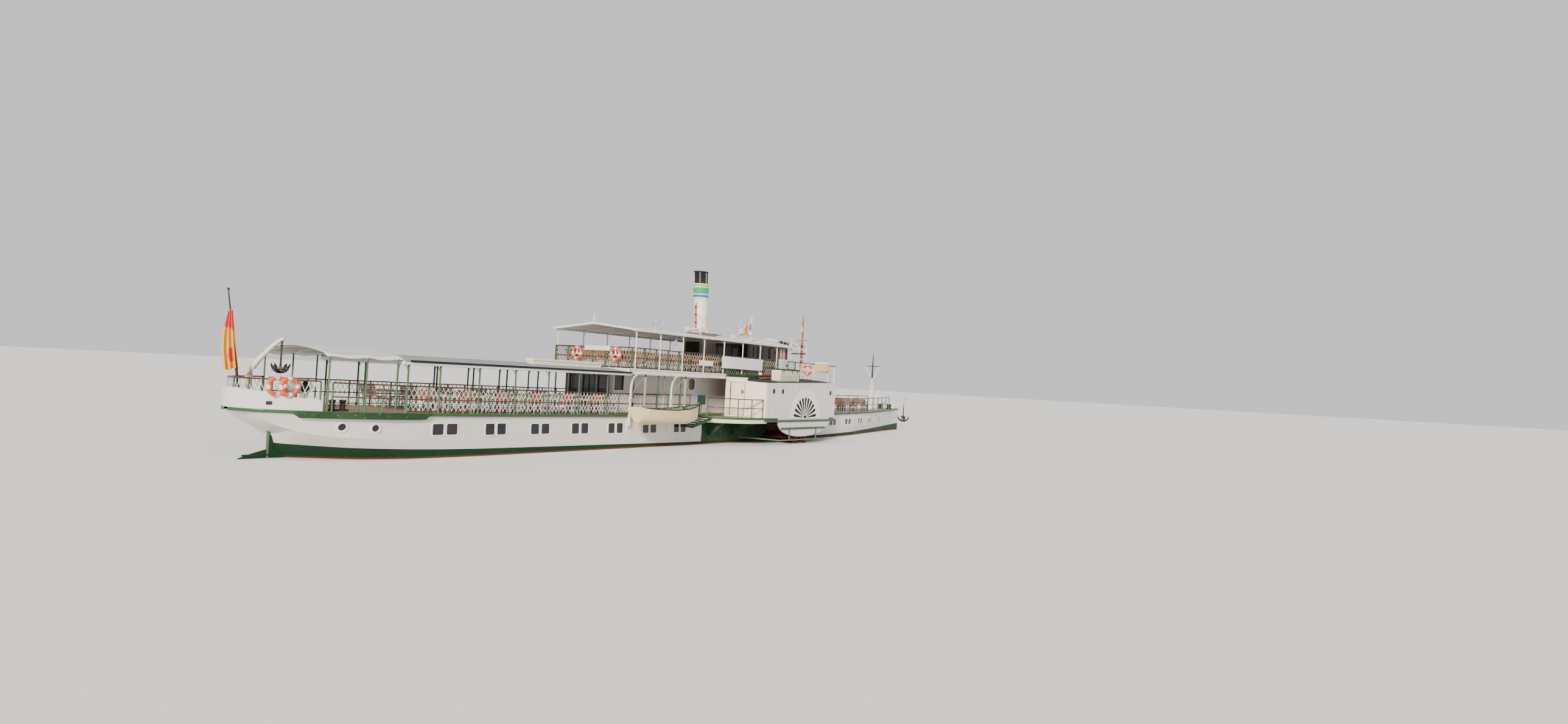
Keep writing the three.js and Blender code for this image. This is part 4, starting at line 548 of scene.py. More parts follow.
hull = bmesh.new()
bayAft, bayFore = hullMakeup["wheelBay"]
hullStations = sorted(set(span(-27.58, -25.6, 0.12) + span(-25.6, bayAft, 0.4) + span(bayAft, bayFore, 0.8)
    + span(bayFore, 28.22, 0.35)))
hullRows = [hullRow(x) for x in hullStations]
perSide = len(hullRows[0])


def hullLook(r, i):
    # white side, green by the wheels, green boot top, red bottom
    i = i if i < perSide - 1 else 2 * perSide - 3 - i
    if i >= 5:
        return 0 if hullStations[r] < hullMakeup["counter"] else 3
    if i == 4:
        return 2
    return 1 if bayAft - 0.01 <= hullStations[r] < bayFore - 0.01 else 0


def acrossShip(x, row):
    return [(x, p.x, p.y) for p in row] + [(x, -p.x, p.y) for p in row[-2::-1]]


addRings(hull, [acrossShip(x, row) for x, row in zip(hullStations, hullRows)], closed=False, caps=False,
    looksByRow=hullLook)
for end, order in ((0, 1), (-1, -1)):
    ring = acrossShip(hullStations[end], hullRows[end])[::order]
    hull.faces.new([hull.verts.new(p) for p in ring]).material_index = 0
addBox(hull, -26.06, -25.0, -0.07, 0.07, -0.74, 1.0, 2)
addBox(hull, -26.06, 26.5, -0.06, 0.06, -0.80, -0.5, 3)
finishPiece("hullSkin", hull, pick("hullWhite", "darkGreen", "bootGreen", "bottomRed"),
    smooth=24, stands=("hull",))

# Windows and portholes in the hull side

hullWindows = {
    "pairs": [(-21.28, -20.14, 0.95, 1.39), (-18.76, -17.70, 0.90, 1.37), (-16.31, -15.24, 0.87, 1.33),
        (-13.86, -12.80, 0.83, 1.32), (-11.43, -10.40, 0.80, 1.29), (-8.92, -7.86, 0.76, 1.22),
        (-6.41, -5.40, 0.74, 1.23), (10.86, 11.86, 0.86, 1.28), (13.35, 14.35, 0.88, 1.29),
        (15.80, 16.80, 0.90, 1.30), (18.20, 19.16, 0.91, 1.30), (20.86, 21.80, 0.93, 1.29)],
    "between": 0.14, "rounding": 0.06, "rim": 0.055, "portholes": [(-24.71, 1.29), (-23.58, 1.25)],
    "portRadius": 0.13, "davitPads": (-10.13, -6.96),
}


def addWindow(shape, spot, u0, u1, v0, v1, rounding=0.06, rim=0.05, proud=0.03, pane=0.006, looks=(0, 1),
        steps=4):
    # raised rim round a dark pane; spot(u, v, out) gives the place in space
    def outline(grow):
        r = max(rounding + grow, 0.004)
        corners = ((u1 - rounding, v1 - rounding, 0), (u0 + rounding, v1 - rounding, 90),
            (u0 + rounding, v0 + rounding, 180), (u1 - rounding, v0 + rounding, 270))
        return [(cu + r * math.cos(math.radians(start + 90 * k / steps)),
            cv + r * math.sin(math.radians(start + 90 * k / steps)))
            for cu, cv, start in corners for k in range(steps + 1)]
    profile = ((rim, -0.01), (rim, proud * 0.7), (rim - 0.01, proud), (0.012, proud), (0, proud * 0.6),
        (-0.002, pane))
    rings = [[spot(u, v, out) for u, v in outline(grow)] for grow, out in profile]
    addRings(shape, rings, looks[0], caps=False)
    shape.faces.new([shape.verts.new(p) for p in rings[-1]]).material_index = looks[1]


def onHull(side):
    return lambda u, v, out: (u, side * (hullSide(u, v) + out), v)


ports = bmesh.new()
for side in (-1, 1):
    for x0, x1, z0, z1 in hullWindows["pairs"]:
        half = (x1 - x0 - hullWindows["between"]) / 2
        for start in (x0, x1 - half):
            addWindow(ports, onHull(side), start, start + half, z0, z1, hullWindows["rounding"],
                hullWindows["rim"])
    for x, z in hullWindows["portholes"]:
        r = hullWindows["portRadius"]
        addWindow(ports, onHull(side), x - r, x + r, z - r, z + r, r - 0.001, 0.075, 0.04, steps=6)
    for x in hullWindows["davitPads"]:
        addBar(ports, [(x, side * 2.90, 1.58), (x, side * 2.925, 0.74)], 0.035, 8)
finishPiece("hullWindows", ports, pick("trimWhite", "glass"), smooth=40)
print("hull skinned")

# Deck with planks, its green edge, the sponsons and the quarter bands

deckMakeup = {
    "green": 0.16, "bandX": (-26.28, -21.45), "bandDeep": 0.25,
    "sponsonAft": [(-4.15, 2.9), (-3.95, 3.55), (-3.45, 4.25), (-2.65, 4.82), (-1.75, 5.12), (-0.95, 5.19)],
    "sponsonFore": [(7.14, 5.19), (8.3, 4.45), (9.4, 3.7), (10.5, 2.9)],
    "sponsonTop": 1.625, "sponsonLow": 1.5, "apronLow": 1.28, "well": (1.42, 5.58, 3.06, 5.11),
    "braces": [(-3.3, 4.1), (-1.2, 4.85), (6.3, 4.85), (8.2, 4.1)],
}


def sponsonHalf(x):
    if x <= 1:
        return rowAt(deckMakeup["sponsonAft"], x)[0]
    return rowAt(deckMakeup["sponsonFore"], x, False)[0]


deck = bmesh.new()
deckStations = span(-27.65, -25.4, 0.1) + span(-25.0, 28.2, 0.4)


def deckRow(x):
    half, z, thick = deckHalf(x), deckZ(x), hullMakeup["deckThick"]
    inner = max(half - deckMakeup["green"], half * 0.4)
    return [(0, z), (inner, z), (half - 0.02, z), (half, z - 0.02), (half, z - thick + 0.02),
        (half - 0.02, z - thick), (max(half - 0.2, 0), z - thick)]


addRings(deck, [[(x, -y, z) for y, z in deckRow(x)[::-1]] + [(x, y, z) for y, z in deckRow(x)[1:]]
    for x in deckStations], closed=False, caps=False, looksByRow=lambda _, i: 0 if i in (5, 6) else 1)
for side in (-1, 1):
    # green band of the quarter, bevelled at its forward end
    a, b = deckMakeup["bandX"]
    rings = []
    for x in span(a, b, 0.2):
        deep = deckMakeup["bandDeep"] * min(1, 0.25 + (b - x) / 0.3, 0.35 + (x - a) / 0.12)
        high = deckZ(x) - 0.015
        inner, outer = deckHalf(x) - 0.10, deckHalf(x) + 0.035
        section = [(inner, high), (outer - 0.02, high), (outer, high - 0.03), (outer, high - deep + 0.02),
            (outer - 0.03, high - deep), (inner, high - deep)]
        rings.append([(x, side * y, z) for y, z in section])
    addRings(deck, rings, 2)
    # sponson plates with a rounded green edge, split round the wheel
    low, top = deckMakeup["sponsonLow"], deckMakeup["sponsonTop"]
    wellAft, wellFore, wellIn, wellOut = deckMakeup["well"]
    for xs in (span(-4.15, wellAft, 0.15), span(wellFore, 10.5, 0.3)):
        rings = []
        for x in xs:
            out = max(sponsonHalf(x), 2.91)
            section = [(2.86, low), (out - 0.05, low), (out + 0.03, low + 0.015), (out + 0.045, 1.56),
                (out + 0.03, top - 0.005), (out - 0.1, top), (2.86, top)]
            rings.append([(x, side * y, z) for y, z in section])
        addRings(deck, rings, 1, looksByRow=lambda _, i: {5: 0, 6: 3, 0: 3}.get(i, 1))
    for near, far in ((2.88, wellIn), (wellOut, 5.19)):
        addBox(deck, wellAft - 0.01, wellFore + 0.01, *sideSpan(side, near, far), low, top, 1)
    # cream apron under the after edge
    rings = []
    apronLow = deckMakeup["apronLow"]
    for x in span(-4.10, -0.65, 0.12):
        out = max(sponsonHalf(x), 2.9)
        section = [(out + 0.01, 1.505), (out - 0.01, 1.40), (out - 0.06, 1.31), (out - 0.13, apronLow),
            (out - 0.2, apronLow + 0.02), (out - 0.2, 1.505)]
        rings.append([(x, side * y, z) for y, z in section])
    addRings(deck, rings, 4)
    for x, reach in deckMakeup["braces"]:
        outline = [(2.9, low), (2.9, 0.5), (3.02, 0.5), (reach, 1.38), (reach, low)]
        addPlate(deck, [(side * y, z) for y, z in outline], "yz", x, x + 0.08, 2)
finishPiece("deckSkin", deck, pick("deckPlanks", "edgeGreen", "darkGreen", "darkGreen", "creamPaint"),
    smooth=35, stands=("aft_deck", "main_deck", "fore_deck"))

bollardMakeup = {
    "spots": [(-24.75, -2.0), (-24.75, 2.0), (25.6, -0.42), (25.6, 0.42)],
    "apart": 0.2,
    "post": [(0.115, 0.05), (0.095, 0.10), (0.09, 0.30), (0.10, 0.33), (0.125, 0.35), (0.125, 0.40),
        (0.10, 0.42), (0.01, 0.425)],
    "foot": [(-0.36, -0.13), (0.36, -0.13), (0.40, 0), (0.36, 0.13), (-0.36, 0.13), (-0.40, 0)],
}
bollards = bmesh.new()
for x, y in bollardMakeup["spots"]:
    z = deckZ(x)
    addPlate(bollards, [(x + u, y + v) for u, v in bollardMakeup["foot"]], "xy", z, z + 0.07)
    for shift in (-bollardMakeup["apart"], bollardMakeup["apart"]):
        addTurned(bollards, bollardMakeup["post"], (x + shift, y, z), sides=18)
        addBar(bollards, [(x + shift - 0.16, y, z + 0.22), (x + shift + 0.16, y, z + 0.22)], 0.022, 8)
finishPiece("bollards", bollards, pick("iron"), smooth=35)

# Stern bulwark with the step in its top edge

bulwarkMakeup = {
    "rise": [(-27.65, 0.72), (-26.86, 0.60), (-26.84, 0.50), (-25.45, 0.42)],
    "thick": 0.07, "setIn": 0.015,
}


def bulwarkTop(x):
    return deckZ(x) + rowAt(bulwarkMakeup["rise"], x, False)[0] - max(0, (x + 25.57) / 0.12) ** 2 * 0.12


bulwark = bmesh.new()
stations = (span(-27.65, -27.3, 0.03) + span(-27.25, -26.9, 0.07) + [-26.86, -26.84]
    + span(-26.78, -25.6, 0.12) + span(-25.57, -25.45, 0.02))
walls = [(x, side * (deckHalf(x) - bulwarkMakeup["setIn"])) for side in (-1, 1) for x in stations[::side]]
rings = []
for k, (x, y) in enumerate(walls):
    before, after = walls[max(k - 1, 0)], walls[min(k + 1, len(walls) - 1)]
    ahead = Vector((after[0] - before[0], after[1] - before[1], 0)).normalized()
    inward = Vector((ahead.y, -ahead.x, 0)) * bulwarkMakeup["thick"]
    low, high = deckZ(x), bulwarkTop(x)
    section = ((0, low), (0, high - 0.02), (0.3, high), (0.7, high), (1, high - 0.02), (1, low))
    rings.append([(x + inward.x * share, y + inward.y * share, z) for share, z in section])
addRings(bulwark, rings)
for side in (-1, 1):
    # mooring port, a small framed square
    addWindow(bulwark, lambda u, v, out: (u, side * (deckHalf(u) - bulwarkMakeup["setIn"] + out), v),
        -26.96, -26.84, 2.06, 2.17, 0.02, 0.018, 0.01, 0.002, looks=(1, 2))
finishPiece("bulwarkSkin", bulwark, pick("hullWhite", "handrail", "glass"), smooth=35,
    stands=("stern_bulwark",))
print("deck and bulwark done")

# Rails: green posts, dark handrail and midrail, white lattice

railMakeup = {
    "height": 1.08, "foot": 0.07, "spacing": 0.945, "postRadius": 0.03, "hand": (0.11, 0.05),
    "diamond": 0.215, "lean": 0.27, "strip": 0.013,
}
postRow = {"first": -21.10, "pitch": 1.89, "y": 2.88}
sides = (("starboard", -1), ("port", 1))


def postX(number):
    # the posts of the awning, the sundeck and the canopy stand in one even row
    return postRow["first"] + postRow["pitch"] * number


def along(path):
    # point on a line of (x, y) at a distance from its start, and the line's length
    lengths = [0]
    for a, b in zip(path, path[1:]):
        lengths.append(lengths[-1] + math.dist(a, b))

    def spot(s):
        s = min(max(s, 0), lengths[-1])
        i = next(j for j in range(len(path) - 1) if lengths[j + 1] >= s - 1e-9)
        t = (s - lengths[i]) / max(lengths[i + 1] - lengths[i], 1e-9)
        return tuple(path[i][k] + (path[i + 1][k] - path[i][k]) * t for k in (0, 1))
    return spot, lengths[-1]


def addBoard(shape, points, wide, deep, look=0):
    # board lying along a line, its top at the given points, edges rounded
    rings = []
    for k, p in enumerate(points):
        a, b = points[max(k - 1, 0)], points[min(k + 1, len(points) - 1)]
        ahead = Vector((b[0] - a[0], b[1] - a[1], 0)).normalized()
        side = Vector((-ahead.y, ahead.x, 0))
        section = ((0.5, -0.3), (0.38, 0), (-0.38, 0), (-0.5, -0.3), (-0.5, -0.75), (-0.38, -1), (0.38, -1),
            (0.5, -0.75))
        rings.append([Vector(p) + side * u * wide + Vector((0, 0, v * deep)) for u, v in section])
    addRings(shape, rings, look)


def addLattice(shape, path, base, low, high, look):
    # crossing strips cut off at both ends of the path
    spot, length = along(path)
    step, lean = railMakeup["diamond"], railMakeup["lean"]
    count = int((length + lean) / step)
    start = (length - (count - 1) * step - lean) / 2
    for k in range(count):
        s = start + k * step
        for a, b in ((s, s + lean), (s + lean, s)):
            ends = []
            for end, share in ((a, 0.0), (b, 1.0)):
                stop = min(max(end, 0), length)
                x, y = spot(stop)
                share = share if stop == end else (stop - a) / (b - a)
                ends.append((x, y, base(x) + low + (high - low) * share))
            addBar(shape, ends, railMakeup["strip"], 4, look)


def addRail(shape, path, base, spacing=railMakeup["spacing"], height=railMakeup["height"], lattice=False,
        bars=1, firstPost=True):
    # looks: posts, handrail, midrail, lattice
    spot, length = along(path)
    count = max(1, round(length / spacing))
    step = length / count
    finer = [spot(length * k / (count * 3)) for k in range(count * 3 + 1)]
    addBoard(shape, [(x, y, base(x) + height) for x, y in finer], *railMakeup["hand"], 1)
    for n in range(1, bars + 1):
        level = height * n / (bars + 1)
        addBoard(shape, [(x, y, base(x) + level + 0.02) for x, y in finer], 0.05, 0.045, 2)
    r = railMakeup["postRadius"]
    for k in range(0 if firstPost else 1, count + 1):
        x, y = spot(step * k)
        addTurned(shape, [(r * 1.7, 0), (r * 1.5, 0.02), (r, 0.05), (r, height - 0.05)], (x, y, base(x)),
            sides=10)
    if lattice:
        foot, middle = railMakeup["foot"], height / 2
        addBoard(shape, [(x, y, base(x) + foot + 0.02) for x, y in finer], 0.05, 0.04, 2)
        for low, high in ((foot, middle - 0.03), (middle + 0.02, height - 0.06)):
            addLattice(shape, path, base, low, high, 3)


def finishRail(name, shape, stands):
    finishPiece(name, shape, pick("postGreen", "handrail", "handrail", "trimWhite"),
        smooth=40, stands=(stands,))


railLines = {
    "quarter": [(-25.1, 2.26), (-24.6, 2.41), (-24.1, 2.54), (-23.3, 2.68), (-22.5, 2.76)],
    "lattice": [(-22.5, 2.76), (-21.2, 2.795), (-20.15, 2.80), (-9.75, 2.80)],
    "plain": [(-9.75, 2.80), (-5.03, 2.80)],
    "sponson": [(-3.9, 3.2), (-3.75, 3.6), (-3.3, 4.18), (-2.55, 4.72), (-1.75, 5.0), (-1.1, 5.1)],
    "bow": [(11.3, 2.84), (14.0, 2.74), (17.0, 2.44), (20.0, 1.96), (22.5, 1.44), (24.3, 1.02)],
    "stern": [(-25.45, 2.08), (-25.85, 1.92), (-26.25, 1.70), (-26.6, 1.46), (-26.9, 1.22), (-27.2, 0.89),
        (-27.36, 0.62), (-27.43, 0.3)],
    "sternFoot": 1.893,
}


def railLine(name, side):
    return [(x, side * y) for x, y in railLines[name]]


for name, side in sides:
    rail = bmesh.new()
    addRail(rail, railLine("quarter", side), deckZ, 0.9)
    addRail(rail, railLine("lattice", side), deckZ, lattice=True, firstPost=False)
    addRail(rail, railLine("plain", side), deckZ, firstPost=False)
    finishRail("mainRail." + name, rail, "main_rail_" + name)
    rail = bmesh.new()
    addRail(rail, railLine("sponson", side), lambda x: deckMakeup["sponsonTop"], 0.85)
    finishRail("sponsonRail." + name, rail, "sponson_rail_" + name)
    rail = bmesh.new()
    addRail(rail, railLine("bow", side), deckZ, 1.3)
    finishRail("bowRail." + name, rail, "bow_rail_" + name)
rail = bmesh.new()
sternPath = railLine("stern", -1) + [(-27.44, 0)] + railLine("stern", 1)[::-1]
addRail(rail, sternPath, lambda x: railLines["sternFoot"], 0.75, 1.09, bars=0)
addLattice(rail, sternPath, lambda x: railLines["sternFoot"], 0.30, 1.03, 3)
finishRail("sternRail", rail, "stern_rail")
print("rails done")

# Fixed awning: posts, beams, grey roof with black gutter and white fascia

awningMakeup = {
    "posts": [-22.52] + [postX(i) for i in range(6)], "under": 3.80, "aft": -22.75, "fore": -10.14,
    "base": 3.885, "crown": 0.22, "half": 2.95, "postRadius": 0.036,
    "bulge": [(1.8, 0), (1.6, 0.03), (1, 0.07)], "wash": (3.725, 3.815), "boards": (0.6, 0.95, 1.3),
    # long case on the roof: side, lid and inner wall
    "case": [(-15.3, -10.9, -1.62, -1.50, 3.97, 4.20), (-15.3, -10.9, -1.62, -1.08, 4.17, 4.30),
        (-15.26, -10.94, -1.50, -1.12, 3.95, 4.20)],
}
frameWork = bmesh.new()
under, awningAft, awningFore = (awningMakeup[k] for k in ("under", "aft", "fore"))
for y in (-postRow["y"], 0, postRow["y"]):
    addBoard(frameWork, [(awningAft + 0.1, y, under), (awningFore - 0.03, y, under)], 0.08, 0.09, 1)
    for x in awningMakeup["posts"]:
        r = awningMakeup["postRadius"]
        profile = [(r * share, h) for share, h in awningMakeup["bulge"]]
        profile += [(r, under - 0.2 - deckZ(x)), (r * 1.3, under - 0.12 - deckZ(x)),
            (r * 1.3, under - 0.05 - deckZ(x))]
        addTurned(frameWork, profile, (x, y, deckZ(x)), sides=12)
        if y:
            # bracket under the beam
            side = 1 if y > 0 else -1
            bracket = ((0, 0.35), (0.12, 0.16), (0.3, 0.07))
            addBar(frameWork, [(x, y - side * inward, under - down) for inward, down in bracket], 0.014, 6)
for x in awningMakeup["posts"]:
    addBoard(frameWork, [(x - 0.03, 0, under - 0.001), (x + 0.03, 0, under - 0.001)], 5.7, 0.07, 1)
finishPiece("awningFrame", frameWork, pick("postGreen", "white"), smooth=40,
    stands=("awning_frame",))

roof = bmesh.new()
rings = []
half = awningMakeup["half"]
for x in span(awningAft, awningFore, 0.45):
    crown = [(x, y, awningMakeup["base"] + awningMakeup["crown"] * math.cos(y / half * math.pi / 2))
        for y in span(-half, half, 0.3)]
    rings.append(crown + [(x, half, under), (x, -half, under)])
addRings(roof, rings)
for side in (-1, 1):
    # white fascia and the black gutter above it, which begins ahead of the first posts
    addBox(roof, awningAft - 0.02, awningFore + 0.06, *sideSpan(side, 2.93, 2.985),
        *awningMakeup["wash"], 1)
    gutter = [(2.93, 3.82), (3.035, 3.825), (3.05, 3.90), (2.94, 3.905)]
    addPlate(roof, [(side * y, z) for y, z in gutter], "yz", -22.5, awningFore + 0.06, 2)
addBox(roof, awningAft - 0.03, awningAft + 0.02, -2.98, 2.98, 3.725, 3.86, 1)
for case in awningMakeup["case"]:
    addBox(roof, *case, 3)
for y in awningMakeup["boards"]:
    addBoard(roof, [(-20.6, y, 4.12), (-11.2, y, 4.12)], 0.2, 0.05, 3)
finishPiece("awningRoof", roof, pick("roofGrey", "white", "gutterBlack", "creamPaint"),
    smooth=30, bevel=0.006, stands=("awning_roof",))

# Canvas at the stern on its hoops

canvasMakeup = {
    "hoops": [(-25.3, 2.30), (-24.05, 2.62), (-22.95, 2.84)], "top": 3.93, "rise": 0.28,
    "steps": 12, "edge": [(-25.45, 2.34), (-24.05, 2.68), (-22.70, 2.90)], "sag": 0.05,
    "flat": (2.83, 1.38),
}
hoops = bmesh.new()
top, rise, steps = (canvasMakeup[k] for k in ("top", "rise", "steps"))
for x, half in canvasMakeup["hoops"]:
    arch = [(x, half * (1 - k / 6), top + rise * (1 - (1 - k / 6) ** 2)) for k in range(13)]
    addBar(hoops, arch, 0.024, 8, 1)
    for side in (-1, 1):
        addTurned(hoops, [(0.055, 0), (0.05, 0.02), (0.03, 0.05), (0.03, top - deckZ(x))],
            (x, side * half, deckZ(x)), sides=10)
        addBar(hoops, [(x - 0.02, side * half, 3.88), (x - 0.05, side * (half + 0.05), 3.90)], 0.03, 8, 1)
addBar(hoops, [(-25.35, 0, 4.205), (-22.9, 0, 4.205)], 0.024, 8, 1)
finishPiece("canvasHoops", hoops, pick("postGreen", "white"), smooth=40,
    stands=("canvas_frame",))


def canvasSag(x):
    # the cloth sinks a little between two hoops
    for (a, _), (b, _) in zip(canvasMakeup["hoops"], canvasMakeup["hoops"][1:]):
        if a < x < b:
            return canvasMakeup["sag"] * math.sin(math.pi * (x - a) / (b - a)) ** 2
    return 0.0


def addCloth(shape, grid, lookOf):
    # one sheet through rows of points; lookOf(row, column) gives each face its finish
    rows = [[shape.verts.new(p) for p in line] for line in grid]
    for r in range(len(rows) - 1):
        for k in range(len(rows[0]) - 1):
            face = shape.faces.new((rows[r][k], rows[r][k + 1], rows[r + 1][k + 1], rows[r + 1][k]))
            face.material_index = lookOf(r, k)


def thicken(cloth, thickness):
    solid = cloth.modifiers.new("cloth", "SOLIDIFY")
    solid.thickness = thickness
    solid.offset = 0


canvas = bmesh.new()
grid = []
for x in span(-25.45, -22.70, 0.11):
    half, sag = rowAt(canvasMakeup["edge"], x)[0], canvasSag(x)
    line = []
    for k in range(2 * steps + 1):
        t = 1 - k / steps
        drop = 0.075 * max(0, abs(t) - 0.93) / 0.07
        line.append((x, half * t, 3.962 + rise * (1 - t * t) - drop - sag * (0.6 + 0.4 * math.cos(6 * t))))
    grid.append(line)
addCloth(canvas, grid, lambda r, k: 1 if k in (0, 2 * steps - 1) or r in (0, len(grid) - 2) else 0)
canvasSheet = finishPiece("canvasAwning", canvas, pick("canvas", "canopyWhite"),
    smooth=60, stands=("canvas_awning",))
thicken(canvasSheet, 0.004)
print("awning done")

# Seats: slatted benches across the deck with tables between them

benchMakeup = {"lean": 0.10, "slat": 0.085}


def addBaluster(shape, x, y, z, high, look, r=0.028):
    profile = [(r * 1.3, 0), (r * 1.3, 0.03), (r * 0.7, 0.06), (r, 0.16), (r * 1.15, high * 0.5),
        (r * 0.7, high - 0.08), (r * 1.1, high - 0.04), (r * 1.1, high)]
    addTurned(shape, profile, (x, y, z), sides=10, look=look)


def addBench(shape, x, y0, y1, z, faces, upright, looks):
    # faces is 1 for a bench that looks forward; looks: frame, slats
    def at(ahead, y, up):
        return (x + faces * ahead, y, z + up)

    lean = benchMakeup["lean"]
    for k in range(4):
        near, far = sorted((x + faces * (0.08 + 0.105 * k), x + faces * (0.08 + 0.105 * k) + faces * 0.085))
        addBox(shape, near, far, y0, y1, z + 0.425, z + 0.45, looks[1])
    if upright:
        count = round((y1 - y0) / benchMakeup["slat"])
        for k in range(count):
            y = y0 + (y1 - y0) * (k + 0.5) / count
            addBar(shape, [at(0, y, 0.46), at(-0.02, y, 0.62), at(-0.06, y, 0.78), at(-lean, y, 0.93)],
                0.032, 4, looks[1])
        addBoard(shape, [at(-lean, y, 0.95) for y in (y0, y1)], 0.04, 0.05, looks[1])
    else:
        for k in range(5):
            low = 0.50 + 0.088 * k
            back = x - faces * lean * (low - 0.46) / 0.47
            top = back - faces * 0.016
            addPlate(shape, [(back, z + low), (back + 0.022, z + low), (top + 0.022, z + low + 0.075),
                (top, z + low + 0.075)], "xz", y0, y1, looks[1])
    for y in (y0 + 0.06, y1 - 0.06):
        for ahead in (0.04, 0.44):
            addBaluster(shape, x + faces * ahead, y, z, 0.425, looks[0])
        addBar(shape, [at(0.04, y, 0.40), at(-0.01, y, 0.55), at(-lean, y, 0.94)], 0.02, 6, looks[0])
        addBar(shape, [at(0.46, y, 0.43), at(0.46, y, 0.60), at(0.36, y, 0.66), at(-0.03, y, 0.68)], 0.018,
            6, looks[0])
        addBoard(shape, [at(0.02, y, 0.42), at(0.50, y, 0.42)], 0.05, 0.05, looks[0])


def addTable(shape, x, y0, y1, z, looks):
    top = [(0.28, 0.06), (0.22, 0)]
    near, far = [(u, y0 + v) for u, v in top], [(u, y1 - v) for u, v in top]
    outline = [(x - u, y) for u, y in near] + [(x + u, y) for u, y in near[::-1] + far]
    outline += [(x - u, y) for u, y in far[::-1]]
    addPlate(shape, outline, "xy", z + 0.70, z + 0.735, looks[1])
    addBox(shape, x - 0.24, x + 0.24, y0 + 0.05, y1 - 0.05, z + 0.64, z + 0.70, looks[0])
    for y in (y0 + 0.16, y1 - 0.16):
        for shift in (-0.2, 0.2):
            addBaluster(shape, x + shift, y, z, 0.65, looks[0], 0.024)
        addBar(shape, [(x - 0.2, y, z + 0.12), (x, y, z + 0.30), (x + 0.2, y, z + 0.12)], 0.014, 6,
            looks[0])


seatMakeup = {"inner": 1.50, "outer": 2.60, "sundeckFirst": -9.5, "sundeckRows": 9, "sunlitSeatRows": 5,
    "floor": 4.062}
for name, side in sides:
    y0, y1 = sideSpan(side, seatMakeup["inner"], seatMakeup["outer"])
    seats = bmesh.new()
    for i in range(6):
        x, z = postX(i), deckZ(postX(i)) + 0.002
        addBench(seats, x + 0.03, y0, y1, z, 1, False, (0, 1))
        if i:
            addBench(seats, x - 0.03, y0, y1, z, -1, False, (0, 1))
        addTable(seats, x + postRow["pitch"] / 2, y0, y1, z, (0, 2))
    finishPiece("aftSeats." + name, seats, pick("trimWhite", "slats", "woodTable"),
        smooth=35, stands=("aft_seat_" + name,))
    seats = bmesh.new()
    # the first rows get the lighter slats; rows further forward get the darker ones, which is painted shade
    # under the canopy
    for i in range(seatMakeup["sundeckRows"]):
        x = seatMakeup["sundeckFirst"] + postRow["pitch"] / 2 * i
        addBench(seats, x + 0.12, y0, y1, seatMakeup["floor"], 1, True,
            (0, 1 if i < seatMakeup["sunlitSeatRows"] else 2))
    finishPiece("sundeckSeats." + name, seats, pick("trimWhite", "slats", "slatsInShade"),
        smooth=35, stands=("sundeck_seat_" + name,))
print("seats done")

# Sundeck with its white fascia

sundeckMakeup = {
    "top": 4.06, "low": 3.86, "aft": -10.12, "fore": 7.3, "half": 2.93, "posts": range(6, 10),
    "fascia": [(2.92, 3.80), (2.985, 3.80), (2.99, 4.00), (3.03, 4.02), (3.035, 4.07), (3.0, 4.09),
        (2.92, 4.085)],
    "greenEdge": [(2.90, 3.93), (2.975, 3.93), (2.975, 4.13), (2.90, 4.13)],
}
slab = bmesh.new()
sundeckTop, sundeckLow, sundeckAft, half = (sundeckMakeup[k] for k in ("top", "low", "aft", "half"))
addBox(slab, sundeckAft, sundeckMakeup["fore"], -half, half, sundeckLow + 0.01, sundeckTop, 0)
addBox(slab, sundeckAft - 0.03, sundeckAft + 0.02, -2.98, 2.98, sundeckLow, sundeckTop + 0.02, 1)
for side in (-1, 1):
    addPlate(slab, [(side * y, z) for y, z in sundeckMakeup["fascia"]], "yz", sundeckAft - 0.03, -2.06, 1)
    addPlate(slab, [(side * y, z) for y, z in sundeckMakeup["greenEdge"]], "yz", -1.9, 1.6, 2)
finishPiece("sundeckSlab", slab, pick("deckPlanks", "white", "edgeGreen"), smooth=30,
    bevel=0.006, stands=("sundeck",))
for name, side in sides:
    posts = bmesh.new()
    for x in [postX(i) for i in sundeckMakeup["posts"]]:
        high = 3.85 - deckZ(x)
        addTurned(posts, [(0.06, 0), (0.055, 0.03), (0.036, 0.07), (0.036, high - 0.15), (0.05, high - 0.1),
            (0.05, high)], (x, side * postRow["y"], deckZ(x)), sides=12)
    addBoard(posts, [(x, side * postRow["y"], sundeckLow) for x in (-10.0, -3.9)], 0.08, 0.09, 1)
    if name == "starboard":
        # post box with its lid, blue edge and door
        addBox(posts, -4.31, -3.85, -2.99, -2.77, 2.27, 2.79, 2)
        addBox(posts, -4.335, -3.825, -3.0, -2.76, 2.76, 2.80, 2)
        addBox(posts, -4.32, -4.305, -2.98, -2.78, 2.30, 2.75, 3)
        addWindow(posts, lambda u, v, out: (u, -2.99 - out, v), -4.26, -3.90, 2.33, 2.70, 0.02, 0.015,
            0.012, 0.003, looks=(2, 2))
    finishPiece("sundeckPosts." + name, posts, pick("postGreen", "white", "darkGreen", "boxBlue"),
        smooth=40, stands=("sundeck_posts_" + name,))

# Deckhouse: boarded walls stay, windows, doors and trim go on

